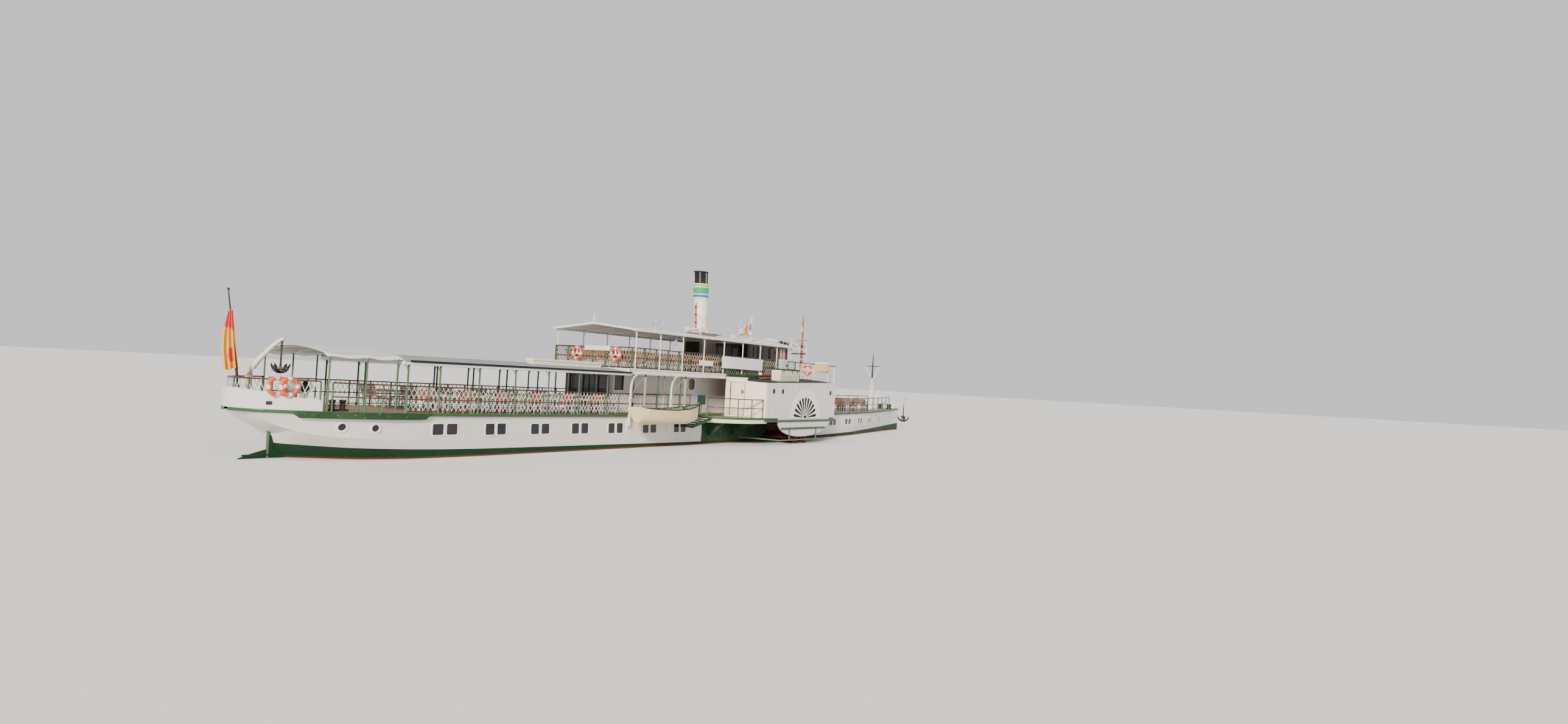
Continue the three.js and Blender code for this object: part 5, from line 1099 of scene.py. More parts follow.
houseMakeup = {
    "half": 1.75, "aft": -10.1, "fore": 7.25, "octagon": (-3.675, 3.38, 0.34, 0.40),
    "battens": (-7.9, -4.4, -2.6, -0.5),
    "windowBoard": [(-4.02, 2.96, -3.33, 3.74, 1), (-4.02, 2.98, -3.33, 3.72, 0.9)],
    "mouldings": [
        (-10.1, -6.10, 1.735, 1.84, 1.775), (-5.25, 7.25, 1.735, 1.84, 1.775),
        (-10.1, 7.25, 3.78, 3.855, 1.775), (-6.11, -6.05, 1.80, 3.72, 1.785),
        (-5.30, -5.24, 1.80, 3.72, 1.785), (-6.11, -5.24, 3.66, 3.72, 1.785)],
    "corners": [(-0.5, -1), (0.5, -1), (1, -0.6), (1, 0.6), (0.5, 1), (-0.5, 1), (-1, 0.6), (-1, -0.6)],
}


def refinish(node, look):
    # a CAD node whose shape is right stays and gets a better finish
    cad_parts[node].data.materials.clear()
    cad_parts[node].data.materials.append(looks[look])


refinish("deckhouse", "wallBoards")


def addFrame(shape, spot, u0, u1, v0, v1, wide, looks, bars=(), proud=0.025, pane=-0.02):
    # wooden window frame with glazing bars at shares of its width
    def addStrip(a, b, c, d, high):
        outline = ((a, c), (b, c), (b, d), (a, d))
        corners = [spot(u, v, out) for out in (pane - 0.01, high) for u, v in outline]
        addBlock(shape, corners, looks[0])

    addStrip(u0, u1, v1 - wide, v1, proud)
    addStrip(u0, u1, v0, v0 + wide, proud)
    addStrip(u0, u0 + wide, v0, v1, proud)
    addStrip(u1 - wide, u1, v0, v1, proud)
    for share in bars:
        u = u0 + (u1 - u0) * share
        addStrip(u - wide * 0.3, u + wide * 0.3, v0, v1, proud - 0.01)
    glass = [shape.verts.new(spot(u, v, pane)) for u, v in ((u0, v0), (u1, v0), (u1, v1), (u0, v1))]
    shape.faces.new(glass).material_index = looks[1]


def onSide(side, y):
    return lambda u, v, out: (u, side * (y + out), v)


def onAft(x):
    return lambda u, v, out: (x - out, u, v)


house = bmesh.new()
for side in (-1, 1):
    wall = onSide(side, houseMakeup["half"])
    addFrame(house, wall, -9.98, -9.33, 2.93, 3.72, 0.06, (0, 1))
    addFrame(house, wall, 5.58, 6.42, 2.53, 3.57, 0.06, (0, 1), (0.5,))
    # eight-sided window on its white board
    cx, cz, rx, rz = houseMakeup["octagon"]
    corners = [(cx + rx * a, cz + rz * b) for a, b in houseMakeup["corners"]]
    rings = [[wall(u + (u - cx) * grow, v + (v - cz) * grow, out) for u, v in corners]
        for grow, out in ((0.0, -0.03), (0.0, 0.03), (-0.16, 0.03), (-0.18, 0.006))]
    addRings(house, rings, 2, caps=False)
    house.faces.new([house.verts.new(p) for p in rings[-1]]).material_index = 1
    rings = []
    for x0, z0, x1, z1, grow in houseMakeup["windowBoard"]:
        ring = ((x0, z0), (x1, z0), (x1, z1), (x0, z1))
        rings.append([wall(cx + (u - cx) * grow, v, 0.004) for u, v in ring])
    addRings(house, rings, 2, caps=False)
    addPlate(house, [(-4.07, 2.91), (-3.28, 2.91), (-3.28, 3.79), (-4.07, 3.79)], "xz",
        *sideSpan(side, 1.70, 1.754), 2)
    # skirting on both sides of the door, cornice, architrave and battens
    for x0, x1, z0, z1, out in houseMakeup["mouldings"]:
        addBox(house, x0, x1, *sideSpan(side, 1.75, out), z0, z1, 2)
    for x in houseMakeup["battens"]:
        addBox(house, x - 0.02, x + 0.02, *sideSpan(side, 1.75, 1.765), 1.84, 3.78, 2)
    addBar(house, [(-9.1, side * 1.83, 2.72), (-6.4, side * 1.83, 2.72)], 0.018, 6, 0)  # hand bar
aftWall = onAft(houseMakeup["aft"])
for y0, y1 in ((-1.47, -0.63), (0.63, 1.47)):
    addFrame(house, aftWall, y0, y1, 2.58, 3.68, 0.07, (0, 1))
for wall in (aftWall, lambda u, v, out: (houseMakeup["fore"] + out, u, v)):
    y0, y1 = (-0.47, 0.47) if wall is aftWall else (-0.44, 0.44)
    addFrame(house, wall, y0, y1, 1.78, 3.68, 0.07, (0, 1), (0.5,))
finishPiece("houseTrim", house, pick("darkWood", "glass", "trimWhite"), smooth=30)


def addHandle(shape, spot, u, low, high, reach, radius, look):
    points = [spot(u, low, 0), spot(u, low, reach), spot(u, high, reach), spot(u, high, 0)]
    addBar(shape, points, radius, 6, look)


for name, side in sides:
    door = bmesh.new()
    inner, outer = 1.70, 1.74
    face = onSide(side, outer)
    addBox(door, -6.03, -5.32, *sideSpan(side, inner, outer), 1.82, 3.64, 0)
    for z0, z1 in ((1.95, 2.62), (2.74, 3.52)):
        addWindow(door, face, -5.93, -5.42, z0, z1, 0.01, 0.02, 0.012, 0.002, looks=(0, 0))
    addHandle(door, face, -5.97, 2.72, 2.86, 0.05, 0.012, 1)
    addBar(door, [face(-5.32, 1.80, 0), face(-5.32, 3.66, 0)], 0.015, 8, 1)  # hinge pin
    finishPiece("sideDoor." + name, door, pick("wallBoards", "brass"), body="side_door_" + name[0],
        smooth=30, bevel=0.004, stands=("side_door_" + name,))

# Sundeck rail with green boards for posts, lattice, lifebuoys and a bare name board

rail = bmesh.new()
railCorners = [(5.9, -2.80), (-9.93, -2.80), (-9.93, 2.80), (5.9, 2.80)]
for a, b in zip(railCorners, railCorners[1:]):
    spot, length = along([a, b])
    count = round(length / railMakeup["spacing"])
    for level, wide, deep in ((1.12, 0.11, 0.05), (0.60, 0.045, 0.045), (0.10, 0.045, 0.045)):
        addBoard(rail, [(*p, sundeckTop + level) for p in (spot(0), spot(length))], wide, deep, 1)
    ahead = Vector((b[0] - a[0], b[1] - a[1])).normalized()
    lengthwise, thick = ahead * 0.05, Vector((-ahead.y, ahead.x)) * 0.018
    for k in range(count + 1):
        centre = Vector(spot(length * k / count))
        outline = [centre + lengthwise * u + thick * v for u, v in ((-1, -1), (1, -1), (1, 1), (-1, 1))]
        addPlate(rail, outline, "xy", sundeckTop, sundeckTop + railMakeup["height"], 0)
    for low, high in ((0.10, 0.56), (0.60, 1.06)):
        addLattice(rail, [a, b], lambda x: sundeckTop, low, high, 2)
finishPiece("sundeckRail", rail, pick("postGreen", "handrail", "latticeGrey"), smooth=35,
    stands=("sundeck_rail",))

buoyMakeup = {
    "big": 0.29, "small": 0.075, "sundeck": [(-10.05, -1.75, 4.78), (-10.05, 1.05, 4.78)],
    "stern": [(-26.75, -1.60, 2.72), (-26.45, -1.86, 2.72)],
}


def addLifebuoy(shape, centre, axis="x", star=True):
    # ring with four tapes, a grab line between them and a white star inside where it hangs in a frame
    big, small = buoyMakeup["big"], buoyMakeup["small"]

    def onRing(r, turn):
        u, v = r * math.cos(turn), r * math.sin(turn)
        x, y, z = centre
        return (x, y + u, z + v) if axis == "x" else (x + u, y, z + v)

    addTorus(shape, centre, big, small, axis, looks=(0, 1), sides=40, tape=0.11)
    for k in range(3 if star else 0):
        addBar(shape, [centre, onRing(big, math.radians(90 + 120 * k))], [0.05, 0.022], 6, 1)
    for k in range(4):
        line = [onRing(big + small + 0.012 + 0.03 * math.sin(math.pi * m / 6),
            math.radians(45 + 90 * k + 15 * m)) for m in range(7)]
        addBar(shape, line, 0.009, 5, 2)


buoys = bmesh.new()
for centre in buoyMakeup["sundeck"]:
    addLifebuoy(buoys, centre)
for centre in buoyMakeup["stern"]:
    addLifebuoy(buoys, centre, "y", star=False)
finishPiece("lifebuoys", buoys, pick("buoyOrange", "buoyWhite", "rope"), smooth=50,
    stands=("name_board",))
# outline, its plane, both faces and the finish of each board
boardMakeup = [
    ([(-1.30, 4.95), (0.55, 4.95), (0.55, 5.20), (-1.30, 5.20)], "yz", -10.02, -9.985, 0),
    ([(-2.45, 4.42), (1.75, 4.40), (1.79, 5.10), (-2.48, 5.12)], "xz", -2.985, -2.96, 1),
    ([(-4.55, 4.48), (-3.25, 4.48), (-3.25, 4.78), (-4.55, 4.78)], "xz", -2.93, -2.905, 0),
]
boards = bmesh.new()
for made in boardMakeup:
    addPlate(boards, *made)
finishPiece("bareBoards", boards, pick("creamPaint", "clothWhite"), smooth=30,
    bevel=0.008, stands=("name_board",))
print("sundeck done")

# Canopy over the sundeck

canopyMakeup = {
    "aft": -10.0, "fore": 3.62, "half": 2.98, "edge": 6.07, "ridge": 6.37,
    "hole": (-1.75, 0.0, 0.80), "rafters": range(6, 14),
    "gutter": [(2.955, 6.03), (3.0, 6.03), (3.005, 6.09), (3.02, 6.12), (3.0, 6.145), (2.955, 6.14)],
    "gable": [(-2.99, 6.04), (0, 6.35), (2.99, 6.04), (2.99, 6.13), (0, 6.455), (-2.99, 6.13)],
}
canopyAft, canopyFore, edgeZ, ridgeZ = (canopyMakeup[k] for k in ("aft", "fore", "edge", "ridge"))
holeAft, holeFore, holeHalf = canopyMakeup["hole"]
row = postRow["y"]


def rafterZ(y):
    return ridgeZ - (ridgeZ - edgeZ) * abs(y) / row


posts = bmesh.new()
rafters = [postX(i) for i in canopyMakeup["rafters"]]
for side in (-1, 1):
    ends = (canopyAft + 0.03, canopyFore - 0.03)
    addBoard(posts, [(x, side * row, edgeZ + 0.03) for x in ends], 0.06, 0.09)
    for x in rafters:
        addTurned(posts, [(0.06, 0), (0.055, 0.02), (0.034, 0.05), (0.034, 2.0)],
            (x, side * row, sundeckTop), sides=12)
        bracket = ((0, 5.78), (0.12, 5.97), (0.3, 6.09))
        addBar(posts, [(x, side * (row - inward), z) for inward, z in bracket], 0.014, 6)
for x in rafters:
    # the rafter by the funnel stops at the sides of the opening
    gap = 0.86 if -2.0 < x < 0.1 else 0
    for a, b in ((-row, -gap), (gap, row)):
        addBar(posts, [(x, a, rafterZ(a)), (x, b, rafterZ(b))], 0.026, 8)
for ends in ((canopyAft + 0.05, -2.0), (0.15, canopyFore - 0.05)):
    addBar(posts, [(x, 0, ridgeZ) for x in ends], 0.026, 8)
finishPiece("canopyPosts", posts, pick("white"), smooth=40, stands=("canopy_frame",))


def canopyZ(x, y):
    sag = 0.018 * math.sin(math.pi * ((x + 9.76) / postRow["pitch"] % 1)) ** 2
    sag *= 0.4 + 0.6 * abs(math.cos(y))
    return ridgeZ + 0.065 - (ridgeZ - edgeZ) * abs(y) / row - sag


cover = bmesh.new()
half = canopyMakeup["half"]
for x0, x1, parts in ((canopyAft, holeAft, [(-half, half)]),
        (holeAft, holeFore, [(-half, -holeHalf), (holeHalf, half)]),
        (holeFore, canopyFore, [(-half, half)])):
    for y0, y1 in parts:
        xs, ys = span(x0, x1, 0.21), span(y0, y1, 0.2)
        for lift, order in ((0.0, 1), (-0.03, -1)):
            grid = [[cover.verts.new((x, y, canopyZ(x, y) + lift)) for y in ys] for x in xs]
            for r in range(len(xs) - 1):
                for i in range(len(ys) - 1):
                    ring = (grid[r][i], grid[r][i + 1], grid[r + 1][i + 1], grid[r + 1][i])
                    cover.faces.new(ring[::order])
for side in (-1, 1):
    addPlate(cover, [(side * y, z) for y, z in canopyMakeup["gutter"]], "yz", canopyAft - 0.02,
        canopyFore + 0.02, 1)
for x0, x1 in ((canopyAft - 0.025, canopyAft + 0.02), (canopyFore - 0.02, canopyFore + 0.025)):
    addPlate(cover, canopyMakeup["gable"], "yz", x0, x1, 1)
finishPiece("canopyTop", cover, pick("canopyWhite", "white"), smooth=35,
    stands=("canopy",))

fittings = bmesh.new()  # short mast, lamps, aerial, round sign and ceiling lights
addTurned(fittings, [(0.06, 0), (0.03, 0.04), (0.022, 0.10), (0.02, 0.52), (0.03, 0.54), (0.005, 0.58)],
    (-9.96, 0, 6.42), sides=12, look=0)
addBar(fittings, [(-9.7, 0.25, 6.40), (-9.7, 0.25, 6.66), (-9.75, 0.2, 6.74)], 0.02, 6, 0)
addTurned(fittings, [(0.01, -0.11), (0.09, -0.07), (0.10, 0.0), (0.05, 0.05), (0.02, 0.08)],
    (-9.75, 0.2, 6.68), sides=16, look=1)
addTurned(fittings, [(0.02, 0.0), (0.02, 0.20), (0.012, 0.22)], (-5.3, -0.2, 6.40), sides=10, look=0)
addBar(fittings, [(-5.3, -0.55, 6.92), (-5.3, -0.3, 6.62), (-5.3, -0.2, 6.58), (-5.3, -0.1, 6.62),
    (-5.3, 0.15, 6.92)], 0.009, 6, 2)
addTurned(fittings, [(0.02, 0), (0.14, 0.02), (0.16, 0.05), (0.16, 0.08), (0.02, 0.09)],
    (-6.5, -2.84, 5.60), "y", 24, 3)
addBar(fittings, [(-6.5, -2.80, 5.98), (-6.5, -2.80, 5.74)], 0.008, 5, 0)
addTurned(fittings, [(0.02, -0.07), (0.075, -0.04), (0.075, 0.03), (0.02, 0.06)], (-6.5, -2.80, 5.36),
    sides=14, look=1)
for x in span(-9.0, -3.0, 1.89):
    addTurned(fittings, [(0.09, 0.0), (0.11, -0.03), (0.07, -0.07), (0.01, -0.08)], (x + 0.9, -1.5, 6.16),
        sides=14, look=1)
finishPiece("canopyFittings", fittings, pick("white", "lamp", "iron", "signBlue"),
    smooth=45)

# Funnel casing, funnel with its striped band and steam pipe

casing = bmesh.new()
addBox(casing, -1.60, -0.15, -0.66, 0.66, 4.062, 6.52, 0)
for side in (-1, 1):
    wall = onSide(side, 0.66)
    for x0, x1 in ((-1.52, -0.92), (-0.84, -0.23)):
        for z0, z1 in ((4.16, 5.10), (5.18, 6.30)):
            addWindow(casing, wall, x0, x1, z0, z1, 0.012, 0.012, 0.012, 0.003, looks=(0, 0))
    for k in range(7):
        z = 5.40 + 0.09 * k
        addPlate(casing, [(side * 0.665, z), (side * 0.705, z - 0.03), (side * 0.705, z - 0.02),
            (side * 0.665, z + 0.01)], "yz", -0.76, -0.31, 0)
    addBox(casing, -1.64, -1.36, *sideSpan(side, 0.535, 0.62), 6.40, 6.88, 2)
addBox(casing, -1.63, -1.60, -0.52, 0.52, 4.10, 5.95, 1)
addBox(casing, -0.17, 0.35, -0.72, 0.72, 6.475, 6.50, 1)
addBox(casing, -1.66, -0.10, -0.70, 0.70, 6.50, 6.535, 0)
finishPiece("funnelCasing", casing, pick("casingGrey", "sootBlack", "funnelCream"),
    smooth=30, bevel=0.006, stands=("funnel_casing",))

funnelMakeup = {
    "foot": (-0.88, 6.55), "head": (-1.16, 10.30), "stays": (-150, -95, 60, 150),
    "band": [(8.66, 2), (8.72, 5), (8.87, 2), (8.93, 4), (9.32, 2), (9.38, 3), (9.51, 2), (9.56, 2)],
}


def funnelX(z):
    (x0, z0), (x1, z1) = funnelMakeup["foot"], funnelMakeup["head"]
    return x0 + (x1 - x0) * (z - z0) / (z1 - z0)


def addFunnelTube(shape, profile, looksByRow=None, look=0, sides=40):
    rings = [[(funnelX(z) + r * math.cos(2 * math.pi * k / sides), r * math.sin(2 * math.pi * k / sides), z)
        for k in range(sides)] for r, z in profile]
    addRings(shape, rings, look, looksByRow=looksByRow)


funnel = bmesh.new()
addFunnelTube(funnel, [(0.57, 6.55), (0.565, 6.59), (0.50, 6.63), (0.455, 6.70), (0.43, 6.82), (0.42, 7.0),
    (0.42, 7.62), (0.427, 7.63), (0.427, 7.66), (0.42, 7.67), (0.42, 8.66)])
band = funnelMakeup["band"]
addFunnelTube(funnel, [(0.43, 8.655)] + [(0.475, z) for z, _ in band] + [(0.43, 9.565)],
    looksByRow=lambda r, _: band[min(max(r - 1, 0), len(band) - 1)][1])
addFunnelTube(funnel, [(0.425, 9.56), (0.42, 9.62), (0.42, 10.05), (0.43, 10.06), (0.43, 10.10),
    (0.42, 10.11), (0.42, 10.24), (0.45, 10.25), (0.455, 10.30), (0.44, 10.32), (0.36, 10.32),
    (0.35, 10.25), (0.34, 9.9)], look=1)
for turn in funnelMakeup["stays"]:
    a = math.radians(turn)
    addBar(funnel, [(funnelX(z) + 0.435 * math.cos(a), 0.435 * math.sin(a), z) for z in (9.58, 10.24)],
        0.011, 6, 2)
pipe = [(-1.42, 0, 6.75), (funnelX(7.0) - 0.50, 0, 7.0), (funnelX(8.2) - 0.50, 0, 8.2),
    (funnelX(8.28) - 0.46, 0, 8.29), (funnelX(8.28) - 0.38, 0, 8.30)]
addBar(funnel, pipe, 0.055, 12, 6)
for z in (7.15, 7.65, 8.1):
    addTurned(funnel, [(0.07, -0.03), (0.07, 0.03)], (funnelX(z) - 0.50, 0, z), sides=12, look=1)
for y in (-0.46, 0.46):
    addPlate(funnel, [(-1.58, 6.62), (-1.05, 6.60), (-1.15, 6.86), (-1.50, 6.88), (-1.60, 6.80)], "xz",
        y - 0.04, y + 0.04, 0)
addTurned(funnel, [(0.05, -0.53), (0.05, 0.53)], (-1.50, 0, 6.74), "y", 16, 0)
finishPiece("funnelStack", funnel, pick("funnelCream", "sootBlack", "trimWhite", "bandLime", "bandGreen",
    "bandBlue", "pipeRed"), body="folding_funnel", smooth=40, stands=("funnel",))
print("canopy and funnel done")

# Wheelhouse: dark framed panes, red posts at its forward corner, white top

cabinMakeup = {
    "half": 1.60, "aft": 2.0, "fore": 6.70, "sill": 5.20, "head": 6.02, "redFrom": 5,
    "sideLights": [(2.2, 3.2, (0.5,)), (3.75, 4.55, ()), (5.75, 6.5, (0.5,))],
    "posts": (2.03, 3.47, 4.65, 5.65, 6.67), "rails": [(4.07, 4.19), (5.08, 5.18), (6.02, 6.07)],
}
refinish("wheelhouse", "darkWood")
cabin = bmesh.new()
half, sill, head = (cabinMakeup[k] for k in ("half", "sill", "head"))
for side in (-1, 1):
    for x0, x1, bars in cabinMakeup["sideLights"]:
        red = x0 > cabinMakeup["redFrom"]
        addFrame(cabin, onSide(side, half), x0 - 0.02, x1 + 0.02, sill, head, 0.04,
            (1, 3) if red else (0, 2), bars)
    for x in cabinMakeup["posts"]:
        addBox(cabin, x - 0.04, x + 0.04, *sideSpan(side, half, half + 0.035), 4.07, 6.07,
            1 if x > cabinMakeup["redFrom"] else 0)
    for z0, z1 in cabinMakeup["rails"]:
        for x0, x1 in ((cabinMakeup["aft"], 4.74), (5.56, cabinMakeup["fore"])):
            addBox(cabin, x0, x1, *sideSpan(side, half, half + 0.025), z0, z1, 0)
for y in (-1.05, 0, 1.05):
    addFrame(cabin, lambda u, v, out: (cabinMakeup["fore"] + out, u, v), y - 0.44, y + 0.44, sill, head,
        0.04, (1, 3))
for y in (-0.85, 0.85):
    addFrame(cabin, onAft(cabinMakeup["aft"]), y - 0.52, y + 0.52, sill, head, 0.04, (0, 2), (0.5,))
finishPiece("wheelhouseFrames", cabin, pick("darkWood", "redWood", "glass", "curtain"),
    smooth=30)
for name, side in sides:
    door = bmesh.new()
    inner, outer = 1.55, 1.59
    addBox(door, 4.77, 5.53, *sideSpan(side, inner, outer), 4.16, 5.20, 0)
    addFrame(door, onSide(side, inner + 0.02), 4.77, 5.53, 5.17, head, 0.08, (0, 1), (), 0.02, 0.0)
    addWindow(door, onSide(side, outer), 4.88, 5.42, 4.32, 5.02, 0.01, 0.02, 0.012, 0.002, looks=(0, 0))
    addHandle(door, onSide(side, inner + 0.03), 4.83, 4.88, 5.0, 0.05, 0.011, 2)
    addBar(door, [(5.53, side * outer, 4.14), (5.53, side * outer, 6.04)], 0.015, 8, 2)  # hinge pin
    finishPiece("wheelhouseDoor." + name, door, pick("darkWood", "glass", "brass"),
        body="wheelhouse_door_" + name[0], smooth=30, bevel=0.004,
        stands=("wheelhouse_door_" + name,))


def dodgerSpot(y):
    return (6.85, y, 6.70 - abs(y) * 0.208)


roof = bmesh.new()
rings = []
for x in span(1.9, 6.95, 0.4):
    arch = [(x, 1.72 * (1 - k / 6), 6.118 + 0.07 * (1 - (1 - k / 6) ** 2)) for k in range(13)]
    rings.append([(x, 1.72, 6.084)] + arch + [(x, -1.72, 6.084)])
addRings(roof, rings)
# ridged cloth cover ahead of the canopy, its rolled dodger along the fore edge
rings = []
for x in span(3.66, 6.95, 0.1):
    ridge = rowAt([(3.66, 6.48), (5.0, 6.65), (6.95, 6.64)], x)[0]
    ring = []
    for k in range(25):
        t = 1 - k / 12
        sag = 0.02 * math.sin(math.pi * abs(t)) * (1 + 0.5 * math.sin(x * 7 + t * 5))
        ring.append((x, 1.86 * t, ridge - (ridge - 6.25) * abs(t) - sag))
    rings.append([(x, 1.86, 6.13), (x, 1.875, 6.19)] + ring + [(x, -1.875, 6.19), (x, -1.86, 6.13)])
addRings(roof, rings)
addBar(roof, [dodgerSpot(y) for y in span(-1.76, 1.76, 0.44)], [0.05] + [0.08] * 7 + [0.05], 14, 0)
addBar(roof, [dodgerSpot(y) for y in (-1.66, -1.60, -1.2, -0.82, -0.76)],
    [0.05, 0.088, 0.09, 0.088, 0.05], 14, 1)
for y in (-1.50, -1.20, -0.90):
    addTurned(roof, [(0.088, -0.02), (0.095, 0), (0.088, 0.02)], dodgerSpot(y), "y", 14, 2)
for side in (-1, 1):
    addBoard(roof, [(3.66, side * 1.885, 6.20), (6.98, side * 1.885, 6.20)], 0.03, 0.09, 0)
finishPiece("wheelhouseTop", roof, pick("canopyWhite", "gutterBlack", "rope"),
    smooth=40, stands=("wheelhouse_roof",))
print("wheelhouse done")

# Paddle boxes: boarded face with the fan, cream aft wall, portholes, green strakes

boxMakeup = {
    "aft": -0.95, "fore": 7.14, "outer": 5.20, "inner": 2.99, "topOuter": 3.68, "topInner": 3.84,
    "rise": 0.026, "low": 1.626, "wall": 0.05, "slantAft": -2.0,
    "skirt": [(0.42, 1.20), (0.62, 0.98), (1.1, 0.72), (2.0, 0.53), (2.9, 0.46), (3.9, 0.48), (5.0, 0.62),
        (5.9, 0.88), (6.30, 1.10), (6.48, 1.30)],
    "fanCentre": (3.43, 1.61), "fanRadius": 1.93, "fanRise": 0.955, "rays": 11, "rayReach": 1.36,
    "rayTip": 0.12, "ports": (-0.24, 0.74, 6.53), "portZ": 3.21, "portRadius": 0.165,
    "strakes": [(-1.07, 7.3, 1.38, 1.50), (0.71, 5.92, 0.92, 1.03)],
    "doorway": (3.25, 4.05), "door": ((-1.86, 3.30), (-1.515, 4.03)), "doorLow": 1.74,
    "doorTop": 3.60,
}
boxAft, boxFore, boxOut, boxIn = (boxMakeup[k] for k in ("aft", "fore", "outer", "inner"))
boxLow, boxWall = boxMakeup["low"], boxMakeup["wall"]


def boxTopZ(y, x):
    slope = (boxMakeup["topInner"] - boxMakeup["topOuter"]) / (boxOut - boxIn)
    return boxMakeup["topInner"] - slope * (y - boxIn) + boxMakeup["rise"] * (x - boxAft)


def onFan(r, turn):
    x, z = boxMakeup["fanCentre"]
    return (x + r * math.cos(turn), z + r * boxMakeup["fanRise"] * math.sin(turn))


def onSlant(side, y):
    # plan of the slanted aft wall at a distance from the middle line
    start, end = Vector((boxMakeup["slantAft"], boxIn)), Vector((boxAft, boxOut + 0.02))
    p = start + (end - start) * ((y - start.y) / (end - start).y)
    return (p.x, side * p.y)


def addSlab(shape, side, y0, y1, z0, z1, thick=0.05):
    # upright slab of the slanted wall, thickness inwards
    a, e = Vector(onSlant(side, y0)), Vector(onSlant(side, y1))
    n = Vector((-(e - a).y, (e - a).x)).normalized() * -side * thick
    addPlate(shape, [tuple(a), tuple(e), tuple(e + n), tuple(a + n)], "xy", z0, z1, 3)


def addFace(box, side):
    # boarded face with its curved foot over the wheel, portholes, mouldings and joint covers
    skirt = [(x, rowAt(boxMakeup["skirt"], x)[0]) for x in [0.42, 0.46, 0.52] + span(0.62, 6.30, 0.2)
        + [6.38, 6.44, 6.48]]
    edgeAft, edgeFore = boxTopZ(5.25, boxAft), boxTopZ(5.25, boxFore)
    face = [(boxAft, boxLow), (boxAft, edgeAft), (boxFore, edgeFore), (boxFore, boxLow),
        (6.50, boxLow - 0.02)]
    addPlate(box, face + skirt[::-1] + [(0.40, boxLow - 0.02)], "xz",
        *sideSpan(side, boxOut, boxOut + boxWall), 0)
    r, z = boxMakeup["portRadius"], boxMakeup["portZ"]
    for x in boxMakeup["ports"]:
        addWindow(box, onSide(side, boxOut + boxWall), x - r, x + r, z - r, z + r, r - 0.001, 0.034, 0.022,
            0.004, looks=(1, 5), steps=7)
    # a band along the top and a thin rim moulding above it; the rim is a real moulding, and its lighter
    # white also paints the highlight along the top edge
    for deep, out, look in ((0.27, 5.258, 0), (0.035, 5.272, 1)):
        band = [(boxAft - 0.01, edgeAft - deep), (boxFore + 0.01, edgeFore - deep),
            (boxFore + 0.01, edgeFore + 0.004), (boxAft - 0.01, edgeAft + 0.004)]
        addPlate(box, band, "xz", *sideSpan(side, 5.19, out), look)
    for x in (-0.93, 7.12):
        addBox(box, x - 0.03, x + 0.03, *sideSpan(side, 5.19, 5.264), boxLow, 3.42, 0)


def addFan(box, side):
    # black fan with white rays round a half hub
    cx, cz = boxMakeup["fanCentre"]
    arch = [onFan(boxMakeup["fanRadius"], math.pi * k / 36) for k in range(37)]
    addPlate(box, arch, "xz", *sideSpan(side, 5.245, 5.262), 1)
    addBar(box, [(x, side * 5.259, z) for x, z in arch], 0.008, 6, 4)
    addBox(box, cx - 1.96, cx + 1.96, *sideSpan(side, 5.245, 5.275), cz - 0.035, cz + 0.004, 1)
    count, tip = boxMakeup["rays"], boxMakeup["rayTip"]
    reach, spread = boxMakeup["rayReach"] - tip, math.pi / count * 0.28
    flank = [(0.24, 0.5), (0.60, 0.85), (reach, 1.0)]
    turns = [math.pi * (m / 4 - 0.5) for m in range(5)]
    outline = [(r, -spread * w) for r, w in flank]
    outline += [(reach + tip * math.cos(g), spread * 0.98 * math.sin(g)) for g in turns]
    outline += [(r, spread * w) for r, w in flank[::-1]]
    for k in range(count):
        points = []
        for r, w in outline:
            p = onFan(r, math.pi * (k + 0.5) / count + w)
            if not points or math.dist(p, points[-1]) > 0.002:
                points.append(p)
        addPlate(box, points, "xz", *sideSpan(side, 5.26, 5.272), 6)
    hub = [onFan(0.17, math.pi * k / 12) for k in range(13)]
    addPlate(box, hub, "xz", *sideSpan(side, 5.26, 5.28), 6)


def addSlantWall(box, side):
    # cream wall round its doorway, a taller bay with its cap, and the door's casing
    near, far = boxMakeup["doorway"]
    slabs = [
        (boxIn, near, boxLow, 3.80, 0.05), (far, boxOut + 0.02, boxLow, 3.68, 0.05),
        (near, far, 3.62, 3.72, 0.05), (near, far, boxLow, 1.72, 0.05),
        (3.0, 4.14, 3.62, 3.90, 0.05), (2.99, 4.18, 3.88, 3.93, 0.08),
        (4.14, boxOut + 0.03, 3.655, 3.70, 0.07), (near - 0.06, near, boxLow, 3.66, -0.025),
        (far, far + 0.06, boxLow, 3.66, -0.025), (near - 0.06, far + 0.06, 3.62, 3.66, -0.025)]
    for y0, y1, z0, z1, thick in slabs:
        addSlab(box, side, y0, y1, z0, z1, thick)


def addBoxTop(box, side):
    # sloping top, green at its edge and dark on the walking face
    outline = [(boxMakeup["slantAft"], boxIn), (boxAft, boxOut + boxWall), (boxFore, boxOut + boxWall),
        (boxFore, boxIn)]
    upper, lower = [[box.verts.new((x, side * y, boxTopZ(y, x) + lift)) for x, y in outline]
        for lift in (0.0, -0.07)]
    box.faces.new(upper).material_index = 7
    box.faces.new(lower[::-1]).material_index = 4
    for k in range(4):
        m = (k + 1) % 4
        box.faces.new((upper[k], upper[m], lower[m], lower[k])).material_index = 1


